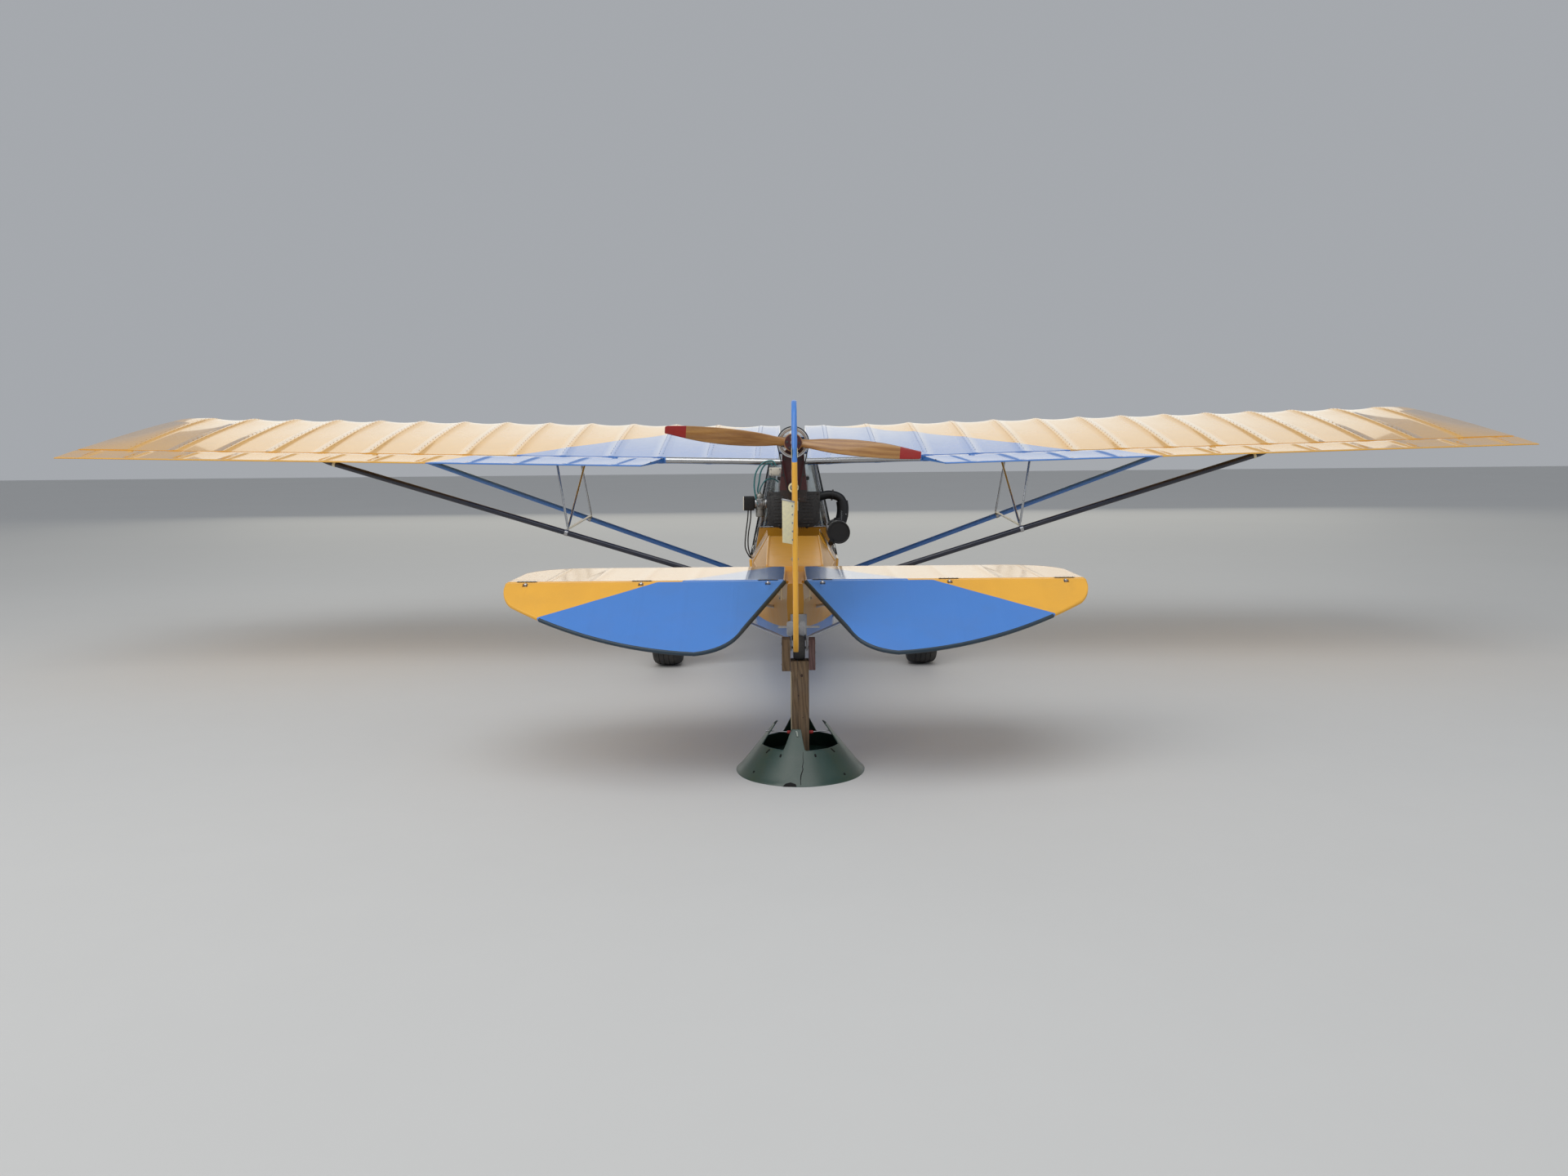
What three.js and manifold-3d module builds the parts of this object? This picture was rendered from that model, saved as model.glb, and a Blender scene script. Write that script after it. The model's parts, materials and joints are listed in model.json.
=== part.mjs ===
// A strut-braced high-wing ultralight aircraft with a pusher propeller, parked with its tail on a stand.
// Millimetres, +Z up, +Y toward the nose, +X to the right-hand side of the aircraft.
// Fore and aft places are stations measured forward from the elevator hinge line.
import * as THREE from 'three';
import { mergeVertices } from 'three/addons/utils/BufferGeometryUtils.js';
import Module from 'manifold-3d';

const wasm = await Module();
wasm.setup();

// Driving dimensions
const GAP = 0.3;
const NOSE_TIP = 5430;
const TAIL_END = -470;
const BOX_MIDDLE = (NOSE_TIP + TAIL_END) / 2;
const DIHEDRAL = 0.0228;

const WING = {
  root: 97, tipRear: 4800, tipRake: 0.155, leading: 3820, rear: 2475.3, rise: 0.146,
  lowerRear: 1356, noseHeight: 45, depth: 118, crest: 0.22, noseRun: 0.08, rearDepth: 44,
};
const FLAPERON = {
  axis: 2455, height: 1380, nose: 14, trailing: 2200, trailingHeight: 1341, edge: 3,
  innerNose: 862, innerTrailing: 985, outer: 4792,
};
const SPAR_RADIUS = 20;
const ROOT_TUBE = { radius: 24, above: 40, from: 2100, to: 3780 };

const CABIN = {
  wall: 18, sill: 735, sillHalf: 300, front: 4740, rear: 2400,
  topHalf: 168, lean: 0.212, deck: 30, open: 40, edge: 60,
};
const FRAME = { radius: 10, inset: 29, rear: 2712, middle: 3462, front: 3800, reach: 50 };
const BULKHEAD = [2688, 2694];
const PANEL = [4404, 4418];
const TANK = { half: 170, rear: 2440, front: 2670, low: 304, high: 640 };
const SEAT_HALF = 185;
const SEATS = { front: { station: 3600, floor: 311 }, rear: { station: 2860, floor: 305 } };
const DOOR = {
  rear: 3475, frontLow: 4262, frontHigh: 3792, thick: 12, low: 757, bar: 30, hinges: [0.2, 0.8],
};
const TAIL = { height: 857, half: 1331, root: 46, chord: 620, thick: 26, blade: 18, nose: 10, droop: 28 };
const BRACE = { pad: [690, 300], half: 20, feet: [[30, 120, 572], [40, 520, 662]], radius: 8 };
const TAIL_POST = 92;
const RUDDER = { axis: 26, low: 571, noseLow: 700, high: 1668, fin: 24, blade: 18, nose: 10, trailing: -455 };
const TAB = { low: 1072, high: 1250, front: -420, out: 60 };

const STRUT_RADIUS = 19;
const STRUTS = {
  attach: 3210,
  front: { station: 3420, root: [296, 500] },
  rear: { station: 2505, root: [292, 530] },
};
const JURY = { place: 1528, radius: 8 };

const DRIVE = { upper: 1505, lower: 1222, upperRadius: 100, lowerRadius: 40, shaft: 12, crank: 9 };
const PLATE = [2100, 2114];
const PROP = { station: 1982, radius: 804, hub: 58, half: 27, tilt: 5.5 };
// The slot across the engine bay that the blades turn in
const BLADE_SLOT = { from: 1938, to: 2026, low: 692, high: 1200 };
const ENGINE = { high: 1262, left: -190, right: 173, rear: 2250, front: 2640 };
const CASE = { half: 92, low: 1148, rear: 2262, front: 2566, mounts: [2330, 2530] };
const CYLINDER = {
  stations: [2345, 2490], radius: 58, low: 1004, finHalf: 88, finDepth: 64, fin: 5, pitch: 25,
};
const HEAD = { half: 74, depth: 58, low: 962, finLow: 941, fin: 6, pitch: 28 };
const COWL = { half: 173, low: 955, high: 1188, corner: 66, thick: 10 };
const FAN = { radius: 112, height: 1090 };
const INTAKE = { station: 2365, height: 1110, radius: 26 };
const EXHAUST = { station: 2470, height: 1140, radius: 34, branch: 22, pipe: 29, sleeve: 40 };

const MAIN = { place: 865, station: 2527, radius: 205, width: 205, rim: 105, axle: 10 };
const NOSEWHEEL = { station: 4880, radius: 150, width: 84, rim: 72, axle: 8, stemTop: 420, stemRadius: 14 };
const TAILWHEEL = { across: 15, station: -51, radius: 56, width: 54, axle: 6, ground: 510 };
const STAND = {
  across: 17, station: -51, board: 41.5, depth: 89,
  cheekLow: 465, cheekHigh: 610, leftCheek: 39, rightCheek: 30,
};
const BASE = { floor: 292, top: 122, height: 214, wall: 6, rim: 132, web: [40, 46] };
// The upright lobes of the base: middle and half width in degrees from the right-hand side
const LOBES = [[0, 30], [90, 24], [180, 30], [260, 15]];

const SIDES = [['left', -1], ['right', 1]];

// Materials
const paint = (color, roughness = 0.35, metalness = 0) =>
  new THREE.MeshStandardMaterial({ color, roughness, metalness });
const YELLOW = paint(0xe8b400);
const BLUE = paint(0x1f4fa8);
const NAVY = paint(0x10182e);
const SILVER = paint(0xb9bcc0, 0.3, 0.9);
const STEEL = paint(0x8c9096, 0.4, 0.9);
const BLACK = paint(0x17181a, 0.5);
const MAROON = paint(0x5c1420, 0.4);
const RUBBER = paint(0x1b1b1c, 0.85);
const CLEAR = paint(0xcfd9dc, 0.05);
const FABRIC = paint(0x2b2d33, 0.9);
const TIMBER = paint(0x9c6b3c, 0.5);
const PLANK = paint(0xb0804f, 0.8);
const GREEN = paint(0x2f7a3f, 0.45);
const CREAM = paint(0xe6ddc0, 0.45);

// Closed solids and booleans
const point = (x, y, z) => new THREE.Vector3(x, y, z);

function solid(geometry) {
  const bare = geometry.clone();
  bare.deleteAttribute('normal');
  bare.deleteAttribute('uv');
  const merged = mergeVertices(bare, 1e-3);
  const index = merged.index.array;
  const triangles = [];
  for (let i = 0; i < index.length; i += 3) {
    const [a, b, c] = [index[i], index[i + 1], index[i + 2]];
    if (a !== b && b !== c && c !== a) triangles.push(a, b, c);
  }
  return new wasm.Manifold(new wasm.Mesh({
    numProp: 3,
    vertProperties: new Float32Array(merged.attributes.position.array),
    triVerts: new Uint32Array(triangles),
  }));
}

function geometryOf(body) {
  const mesh = body.getMesh();
  const geometry = new THREE.BufferGeometry();
  geometry.setAttribute('position', new THREE.BufferAttribute(mesh.vertProperties, 3));
  geometry.setIndex(new THREE.BufferAttribute(mesh.triVerts, 1));
  geometry.computeVertexNormals();
  return geometry;
}

const joined = (first, ...rest) => rest.reduce((sum, body) => sum.add(body), first);

// The carrier, shifted a little toward the piece, is cut from the piece, which leaves the gap between them.
function seated(piece, carrier, dx, dy, dz) {
  return piece.subtract(solid(geometryOf(carrier).translate(dx, dy, dz)));
}

function turned(body, angle, axis, through) {
  const turn = new THREE.Matrix4().makeTranslation(through.x, through.y, through.z);
  turn.multiply(new THREE.Matrix4().makeRotationAxis(axis, angle));
  turn.multiply(new THREE.Matrix4().makeTranslation(-through.x, -through.y, -through.z));
  return solid(geometryOf(body).applyMatrix4(turn));
}

// Basic shapes
function box(xs, ys, zs) {
  const geometry = new THREE.BoxGeometry(xs[1] - xs[0], ys[1] - ys[0], zs[1] - zs[0]);
  return solid(geometry.translate((xs[0] + xs[1]) / 2, (ys[0] + ys[1]) / 2, (zs[0] + zs[1]) / 2));
}

function tube(from, to, radius, sides = 12, radiusTo = radius) {
  const along = to.clone().sub(from);
  const geometry = new THREE.CylinderGeometry(radiusTo, radius, along.length(), sides);
  const direction = along.clone().normalize();
  geometry.applyQuaternion(new THREE.Quaternion().setFromUnitVectors(point(0, 1, 0), direction));
  return solid(geometry.translate(...from.clone().add(to).multiplyScalar(0.5).toArray()));
}

// A loft through rings of the same number of points, closed at both ends with a fan.
function loft(rings) {
  const count = rings[0].length;
  const middle = (ring) => ring.reduce((sum, p) => sum.add(p), point(0, 0, 0)).divideScalar(count);
  const points = [...rings.flat(), middle(rings[0]), middle(rings[rings.length - 1])];
  const last = (rings.length - 1) * count;
  const index = [];
  for (let r = 0; r < rings.length - 1; r++) {
    for (let i = 0; i < count; i++) {
      const [a, b] = [r * count + i, r * count + (i + 1) % count];
      index.push(a, b, b + count, a, b + count, a + count);
    }
  }
  for (let i = 0; i < count; i++) {
    const next = (i + 1) % count;
    index.push(points.length - 2, next, i, points.length - 1, last + i, last + next);
  }
  return closed(points, index);
}

// A solid from points and triangles, turned so that its faces point outward
function closed(points, index) {
  const volume = index.reduce((sum, _, i) => (i % 3 ? sum
    : sum + points[index[i]].dot(points[index[i + 1]].clone().cross(points[index[i + 2]]))), 0);
  if (volume < 0) index.reverse();
  const geometry = new THREE.BufferGeometry().setFromPoints(points);
  geometry.setIndex(index);
  return solid(geometry);
}

// A curved sheet between an outer and an inner grid of points
function sheetBody(outer, inner) {
  const [rows, count] = [outer.length, outer[0].length];
  const at = (row, column, layer) => (layer * rows + row) * count + column;
  const index = [];
  const quad = (a, b, c, d) => index.push(a, b, c, a, c, d);
  for (let r = 0; r < rows; r++) {
    for (let c = 0; c < count; c++) {
      const [up, next] = [r + 1 < rows, c + 1 < count];
      if (up && next) {
        quad(at(r, c, 0), at(r, c + 1, 0), at(r + 1, c + 1, 0), at(r + 1, c, 0));
        quad(at(r, c, 1), at(r + 1, c, 1), at(r + 1, c + 1, 1), at(r, c + 1, 1));
      }
      if (next && r === 0) quad(at(r, c, 0), at(r, c, 1), at(r, c + 1, 1), at(r, c + 1, 0));
      if (next && !up) quad(at(r, c, 0), at(r, c + 1, 0), at(r, c + 1, 1), at(r, c, 1));
      if (up && c === 0) quad(at(r, c, 0), at(r + 1, c, 0), at(r + 1, c, 1), at(r, c, 1));
      if (up && !next) quad(at(r, c, 0), at(r, c, 1), at(r + 1, c, 1), at(r + 1, c, 0));
    }
  }
  return closed([...outer.flat(), ...inner.flat()], index);
}

// A flat outline in the given plane, pulled to a thickness centred on that plane.
const PLANES = {
  yz: (u, v, w) => point(w, u, v),
  xz: (u, v, w) => point(u, w, v),
  xy: (u, v, w) => point(u, v, w),
};
function slab(outline, plane, from, to) {
  const place = PLANES[plane];
  const shape = new THREE.Shape(outline);
  const flat = solid(new THREE.ExtrudeGeometry(shape, { depth: 1, bevelEnabled: false, steps: 1 }));
  const geometry = geometryOf(flat);
  const spots = geometry.attributes.position;
  for (let i = 0; i < spots.count; i++) {
    const w = from + (to - from) * spots.getZ(i);
    const p = place(spots.getX(i), spots.getY(i), w);
    spots.setXYZ(i, p.x, p.y, p.z);
  }
  const index = Array.from(geometry.index.array);
  const flipped = (plane === 'xz') !== (to < from);
  geometry.setIndex(flipped ? index.reverse() : index);
  return solid(geometry);
}

const flat = (pairs) => pairs.map(([u, v]) => new THREE.Vector2(u, v));
// Half an outline and its mirror image
const mirrored = (half) => flat([...half, ...half.slice().reverse().map(([x, z]) => [-x, z])]);
const between = (a, b) => [Math.min(a, b), Math.max(a, b)];

// A round body on an axis along X, from a profile of [radius, across] pairs.
function roundAlongX(profile, centre, sides = 32) {
  const outline = profile.map(([r, across]) => new THREE.Vector2(r, across));
  const geometry = new THREE.LatheGeometry(outline, sides);
  geometry.rotateZ(-Math.PI / 2);
  return solid(geometry.translate(...centre.toArray()));
}

// Wing
function wingSection(run, side, across) {
  const length = WING.leading - WING.rear;
  const along = WING.leading - run * length;
  const lower = WING.lowerRear + WING.rise * (along - WING.rear) + DIHEDRAL * across;
  return { along, lower, x: side * across };
}

function upperDepth(run) {
  if (run < WING.crest) {
    const q = (WING.crest - run) / WING.crest;
    return WING.noseHeight + (WING.depth - WING.noseHeight) * Math.sqrt(1 - q * q);
  }
  const q = (run - WING.crest) / (1 - WING.crest);
  return WING.depth - (WING.depth - WING.rearDepth) * q ** 1.5;
}

function lowerDepth(run) {
  if (run >= WING.noseRun) return 0;
  const q = (WING.noseRun - run) / WING.noseRun;
  return WING.noseHeight * (1 - Math.sqrt(1 - q * q));
}

const UPPER_RUNS = [1, 0.82, 0.64, 0.48, 0.34, 0.22, 0.13, 0.06, 0.02, 0];
const LOWER_RUNS = [0.01, 0.03, 0.08, 0.4, 0.7, 1];
function wingRing(side, acrossAt) {
  const spot = (run, depth) => {
    const along = WING.leading - run * (WING.leading - WING.rear);
    const { lower, x } = wingSection(run, side, acrossAt(along));
    return point(x, along, lower + depth);
  };
  return [...UPPER_RUNS.map((run) => spot(run, upperDepth(run))),
    ...LOWER_RUNS.map((run) => spot(run, lowerDepth(run)))];
}

const wingTip = (along) => WING.tipRear - WING.tipRake * (along - WING.rear);
const wingBody = (side) => loft([wingRing(side, () => WING.root), wingRing(side, wingTip)]);
const wingRun = (along) => (WING.leading - along) / (WING.leading - WING.rear);
const wingUnder = (along, across) => wingSection(wingRun(along), 1, across).lower;

// A hinge: a lug on the fixed piece around a pin that stays in a slot of the moving piece.
const HINGE = { lug: 8, slot: 24, pin: 4, boss: 10 };
function hingeLug(centre, across, forward, reach) {
  const [half, slotHalf] = [HINGE.lug / 2, HINGE.slot / 2];
  const side = across.clone().multiplyScalar(half);
  const pin = tube(centre.clone().addScaledVector(across, -slotHalf),
    centre.clone().addScaledVector(across, slotHalf), HINGE.pin + GAP, 10);
  const eye = tube(centre.clone().sub(side), centre.clone().add(side), HINGE.boss, 10);
  const up = across.clone().cross(forward).normalize().multiplyScalar(HINGE.boss * 0.7);
  const ring = (at) => [side.clone().add(up), side.clone().sub(up), side.clone().negate().sub(up),
    side.clone().negate().add(up)].map((p) => p.add(at));
  const arm = loft([ring(centre.clone()), ring(centre.clone().addScaledVector(forward, reach))]);
  return joined(eye, arm).subtract(pin);
}

function hingeSlot(moving, centre, across, forward, clear) {
  const half = HINGE.slot / 2;
  const cut = tube(centre.clone().addScaledVector(across, -half),
    centre.clone().addScaledVector(across, half), clear, 10);
  const pin = tube(centre.clone().addScaledVector(across, -half - 2),
    centre.clone().addScaledVector(across, half + 2), HINGE.pin, 10);
  return moving.subtract(cut).add(pin);
}

const FLAPERON_HINGES = [1180, 2780, 4420];
function flaperonAxisPoint(side, across) {
  return point(side * across, FLAPERON.axis, FLAPERON.height + DIHEDRAL * across);
}

function flaperonBody(side) {
  const ring = (nose, trailing) => {
    const points = [];
    const back = FLAPERON.axis - FLAPERON.trailing;
    const drop = FLAPERON.trailingHeight - FLAPERON.height;
    for (let i = 0; i <= 8; i++) {
      const angle = Math.PI * (i / 8) - Math.PI / 2;
      const lift = FLAPERON.nose * Math.sin(angle);
      points.push(point(side * nose, FLAPERON.axis + FLAPERON.nose * Math.cos(angle),
        FLAPERON.height + DIHEDRAL * nose + lift));
    }
    const low = FLAPERON.height + DIHEDRAL * trailing + drop;
    points.push(point(side * trailing, FLAPERON.axis - back, low + FLAPERON.edge));
    points.push(point(side * trailing, FLAPERON.axis - back, low - FLAPERON.edge));
    return points;
  };
  const inner = ring(FLAPERON.innerNose, FLAPERON.innerTrailing);
  const plain = loft([inner, ring(FLAPERON.outer, FLAPERON.outer - 8)]);
  const across = point(side, 0, DIHEDRAL).normalize();
  return FLAPERON_HINGES.reduce((body, place) =>
    hingeSlot(body, flaperonAxisPoint(side, place), across, point(0, 1, 0), FLAPERON.nose + 8), plain);
}

function wing(side) {
  const across = point(side, 0, DIHEDRAL).normalize();
  const reach = WING.rear - FLAPERON.axis + 6;
  return FLAPERON_HINGES.reduce((body, place) =>
    body.add(hingeLug(flaperonAxisPoint(side, place), across, point(0, 1, 0), reach)), wingBody(side));
}

const wings = Object.fromEntries(SIDES.map(([, side]) => [side, wing(side)]));

// Root tube over the cabin with both rear spar stubs and the front cross tube
const rootHeight = (along) => wingUnder(along, 0) + ROOT_TUBE.above;
function rootStructure() {
  const middle = (along) => point(0, along, rootHeight(along));
  let body = tube(middle(ROOT_TUBE.from), middle(ROOT_TUBE.to), ROOT_TUBE.radius, 16);
  for (const [, side] of SIDES) {
    const end = FLAPERON.innerNose - 14;
    body = body.add(tube(flaperonAxisPoint(side, 0), flaperonAxisPoint(side, end), SPAR_RADIUS, 16));
    for (const along of [2800, 3560]) {
      body = body.add(tube(middle(along), middle(along).setX(side * (WING.root - GAP)), 14, 12));
    }
  }
  return body.subtract(box([-80, 80], [2000, PLATE[1] + GAP], [1200, 1500]));
}

// Struts under each wing
function strutEnds(strut, side) {
  const top = point(side * STRUTS.attach, strut.station, wingUnder(strut.station, STRUTS.attach) + 12);
  return [point(side * (strut.root[0] - 12), strut.station, strut.root[1]), top];
}
function strutBody(strut, side) {
  const [low, high] = strutEnds(strut, side);
  return seated(tube(low, high, STRUT_RADIUS, 12), wings[side], 0, 0, -GAP);
}

const strutPoint = (strut, side, place) => {
  const [low, high] = strutEnds(strut, side);
  return low.clone().lerp(high, (side * place - low.x) / (high.x - low.x));
};

function jurySet(side) {
  const front = strutPoint(STRUTS.front, side, JURY.place);
  const rear = strutPoint(STRUTS.rear, side, JURY.place);
  const under = (station, across) => point(side * across, station, wingUnder(station, across) + 6);
  const lift = point(0, 0, STRUT_RADIUS + JURY.radius + 2);
  const [frontFoot, rearFoot] = [front.clone().add(lift), rear.clone().add(lift)];
  const legs = [
    [rearFoot, frontFoot],
    [rearFoot, under(STRUTS.rear.station + 60, JURY.place + 75)],
    [rearFoot, under(STRUTS.front.station - 220, JURY.place - 40)],
    [frontFoot, under(STRUTS.front.station, JURY.place + 90)],
  ].map(([from, to]) => tube(from, to, JURY.radius, 10));
  const raised = (p, rise) => p.clone().add(point(0, 0, rise));
  const feet = [frontFoot, rearFoot].map((p) => tube(raised(p, -JURY.radius - 4), raised(p, 12), 15, 12));
  const web = joined(...legs, ...feet);
  return [strutBody(STRUTS.front, side), strutBody(STRUTS.rear, side), wings[side]]
    .reduce((body, carrier, i) => seated(body, carrier, 0, 0, i < 2 ? GAP : -GAP), web);
}

// Cabin: lower shell, open above the sill
const CABIN_SECTIONS = [
  // station, belly height, sill height, belly half width, sill half width
  [2400, 296, 735, 275, 300],
  [3420, 290, 735, 280, 302],
  [4200, 312, 748, 262, 282],
  [4740, 372, 776, 205, 228],
];
function cabinRing([station, belly, sill, bellyHalf, sillHalf], inset, lift) {
  const { edge } = CABIN;
  const half = [
    [bellyHalf - edge - inset * 0.4, belly + inset],
    [bellyHalf - inset, belly + edge + inset * 0.4],
    [sillHalf - inset, sill + lift],
  ];
  return [...half.map(([x, z]) => point(x, station, z)),
    ...half.slice().reverse().map(([x, z]) => point(-x, station, z))];
}
const cabinOuter = loft(CABIN_SECTIONS.map((row) => cabinRing(row, 0, 0)));
function cabinTub() {
  const inner = CABIN_SECTIONS.map((row, i) => {
    const last = i === CABIN_SECTIONS.length - 1;
    const shift = i === 0 ? CABIN.wall : last ? -CABIN.wall : 0;
    return cabinRing([row[0] + shift, ...row.slice(1)], CABIN.wall, last ? -CABIN.deck : CABIN.open);
  });
  return cabinOuter.subtract(loft(inner));
}
const tub = cabinTub();

function noseCone() {
  const rows = [
    // station, middle height, half width, half height
    [CABIN.front + GAP, 574, 216, 204],
    [4950, 556, 190, 184],
    [5150, 536, 150, 150],
    [5310, 520, 98, 100],
    [5400, 512, 46, 48],
    [NOSE_TIP, 510, 10, 10],
  ];
  const { station: stem, stemTop, stemRadius } = NOSEWHEEL;
  const bore = tube(point(0, stem, 300), point(0, stem, stemTop + GAP), stemRadius + GAP, 20);
  const cone = loft(rows.map(([station, middle, halfWide, halfHigh], i) => {
    const ring = [];
    for (let k = 0; k < 16; k++) {
      const angle = (k / 16) * Math.PI * 2;
      const power = i < 2 ? 0.62 : 0.85;
      const shape = (v) => Math.sign(v) * Math.abs(v) ** power;
      const [across, rise] = [halfWide * shape(Math.cos(angle)), halfHigh * shape(Math.sin(angle))];
      ring.push(point(across, station, middle + rise));
    }
    return ring;
  }));
  return cone.subtract(bore);
}

// Clear panels above the sill lean inward to the wing root.
const panelHalf = (height) => CABIN.sillHalf - (height - CABIN.sill) * CABIN.lean;
function leaningPanel(side, corners, thick, inset = 0) {
  const outer = corners.map(([y, z]) => point(side * (panelHalf(z) - inset), y, z));
  const inner = corners.map(([y, z]) => point(side * (panelHalf(z) - inset - thick), y, z));
  return loft([outer, inner]);
}

// The corners of a convex outline moved inward by a distance.
function shrunk(corners, distance) {
  const count = corners.length;
  const sides = corners.map(([y, z], i) => {
    const [nextY, nextZ] = corners[(i + 1) % count];
    const length = Math.hypot(nextY - y, nextZ - z);
    const [dy, dz] = [(nextY - y) / length, (nextZ - z) / length];
    return { y: y - dz * distance, z: z + dy * distance, dy, dz };
  });
  return sides.map((b, i) => {
    const a = sides[(i + count - 1) % count];
    const t = ((b.y - a.y) * b.dz - (b.z - a.z) * b.dy) / (a.dy * b.dz - a.dz * b.dy);
    return [a.y + a.dy * t, a.z + a.dz * t];
  });
}

// The door hinges run along its top edge and are carried by the roof tube of the cabin frame.
function doorAxis(side) {
  const spot = (along) => {
    const height = panelTop(along) - 41;
    return point(side * (panelHalf(height) - DOOR.thick / 2), along, height);
  };
  const [rear, front] = [spot(DOOR.rear), spot(DOOR.frontHigh)];
  const across = front.clone().sub(rear).normalize();
  return { across, centres: DOOR.hinges.map((share) => rear.clone().lerp(front, share)) };
}

function doorFrame(side) {
  const hole = leaningPanel(side, shrunk(DOOR_OUTLINE, DOOR.bar), DOOR.thick + 20, -10);
  const frame = leaningPanel(side, DOOR_OUTLINE, DOOR.thick).subtract(hole);
  const { across, centres } = doorAxis(side);
  return centres.reduce((body, centre) =>
    hingeSlot(body, centre, across, point(side, 0, 0), HINGE.boss * 1.4), frame);
}
const doorPane = (side) => leaningPanel(side, shrunk(DOOR_OUTLINE, DOOR.bar + GAP), 3, 6);

const panelTop = (station) => wingUnder(station, CABIN.topHalf) - 8;
const REAR_WINDOW = [
  [2720, CABIN.sill + 3 * GAP], [3455, CABIN.sill + 3 * GAP], [3455, panelTop(3455)], [2720, panelTop(2720)],
];
const DOOR_OUTLINE = [
  [DOOR.rear, DOOR.low], [DOOR.frontLow, DOOR.low + 12],
  [DOOR.frontHigh, panelTop(DOOR.frontHigh) - 34], [DOOR.rear, panelTop(DOOR.rear) - 34],
];

const sillHeight = (along) => {
  const [[back, , low], [front, , high]] = CABIN_SECTIONS.slice(2);
  return low + (high - low) * (along - back) / (front - back);
};

function windshield() {
  const levels = [
    // height (0 on the sill), station at the middle, station at the side, half width
    [0, 4728, 4304, 268],
    [1000, 4480, 4150, 226],
    [1260, 4150, 3980, 172],
    [1500, 3872, 3838, 122],
  ];
  const curve = (inset) => levels.map(([height, middle, sideStation, half]) => {
    const ring = [];
    for (let k = 0; k <= 8; k++) {
      const t = k / 4 - 1;
      const along = sideStation + (middle - inset * 1.4 - sideStation) * Math.sqrt(1 - t * t * 0.999);
      ring.push(point((half - inset) * t, along, height || sillHeight(along) + GAP));
    }
    return ring;
  });
  return sheetBody(curve(0), curve(7));
}

// Frame tubes just inside the panels, under the wing roots
function cabinFrame() {
  const { radius, inset } = FRAME;
  const spot = (side, along, height) => point(side * (panelHalf(height) - inset), along, height);
  const roof = (along) => wingUnder(along, CABIN.topHalf) - 6;
  const bars = [];
  for (const [, side] of SIDES) {
    bars.push([spot(side, FRAME.rear, roof(FRAME.rear)), spot(side, FRAME.front, roof(FRAME.front))]);
    for (const along of [FRAME.rear, FRAME.middle]) {
      bars.push([spot(side, along, CABIN.sill - 6), spot(side, along, roof(along))]);
    }
  }
  for (const along of [FRAME.rear, FRAME.middle, FRAME.front]) {
    bars.push([spot(-1, along, roof(along) - 8), spot(1, along, roof(along) - 8)]);
  }
  const lugs = SIDES.flatMap(([, side]) => {
    const { across, centres } = doorAxis(side);
    return centres.map((centre) => hingeLug(centre, across, point(-side * 0.6, 0, 0.8), FRAME.reach));
  });
  const whole = joined(...bars.map(([from, to]) => tube(from, to, radius, 10)), ...lugs);
  return [wings[-1], wings[1]].reduce((body, carrier) => seated(body, carrier, 0, 0, -GAP),
    seated(whole, tub, 0, 0, GAP));
}

const betweenWalls = (body) => seated(seated(seated(body, tub, GAP, 0, 0), tub, -GAP, 0, 0), tub, 0, 0, GAP);

function rearBulkhead() {
  const top = wingUnder(BULKHEAD[0], 0) - 14;
  const half = [[188, 300], [268, 372], [290, 700], [268, 745], [panelHalf(top) - 3, top]];
  return betweenWalls(slab(mirrored(half), 'xz', ...BULKHEAD));
}

function instrumentPanel() {
  const half = [[250, 640], [252, 735], [204, 778], [150, 890], [120, 908]];
  return betweenWalls(slab(mirrored(half), 'xz', ...PANEL));
}

// A seat in side view: pan and leaning back, its base on the cabin floor
function seatBody({ station, floor }) {
  const outline = [[0, 0], [430, 0], [445, 130], [110, 96], [-70, 640], [-140, 620], [-60, 300]];
  const placed = outline.map(([along, height]) => [station + along, floor + height]);
  const plain = slab(flat(placed), 'yz', -SEAT_HALF, SEAT_HALF);
  return seated(plain, tub, 0, 0, GAP);
}

function controlStick() {
  const shaft = tube(point(0, 4120, 318), point(0, 4080, 610), 9, 12);
  const grip = tube(point(0, 4082, 600), point(0, 4072, 700), 15, 12);
  return seated(shaft.add(grip), tub, 0, 0, GAP);
}

function fuelTank() {
  return seated(box([-TANK.half, TANK.half], [TANK.rear, TANK.front], [TANK.low, TANK.high]), tub, 0, 0, GAP);
}

// Tail
function tailHalf(side) {
  const shape = new THREE.Shape();
  shape.moveTo(TAIL.root, 16);
  shape.lineTo(TAIL.root, TAIL.chord);
  shape.lineTo(TAIL.half * 0.81, TAIL.chord);
  shape.quadraticCurveTo(TAIL.half, TAIL.chord - 30, TAIL.half, 270);
  shape.lineTo(TAIL.half, 16);
  return planform(shape, side, TAIL.thick);
}

function planform(shape, side, thick) {
  const outline = shape.getPoints(4).map((p) => new THREE.Vector2(side * p.x, p.y));
  return slab(outline, 'xy', TAIL.height - thick / 2, TAIL.height + thick / 2);
}

const ELEVATOR_HINGES = [125, 705, 1235];
const axisX = (side) => point(side, 0, 0);
function stabiliser(side) {
  const forward = point(0, 1, 0);
  return ELEVATOR_HINGES.reduce((body, place) =>
    body.add(hingeLug(point(side * place, 0, TAIL.height), axisX(side), forward, 24)),
  seated(tailHalf(side), aftBody, side * GAP, 0, 0));
}

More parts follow.
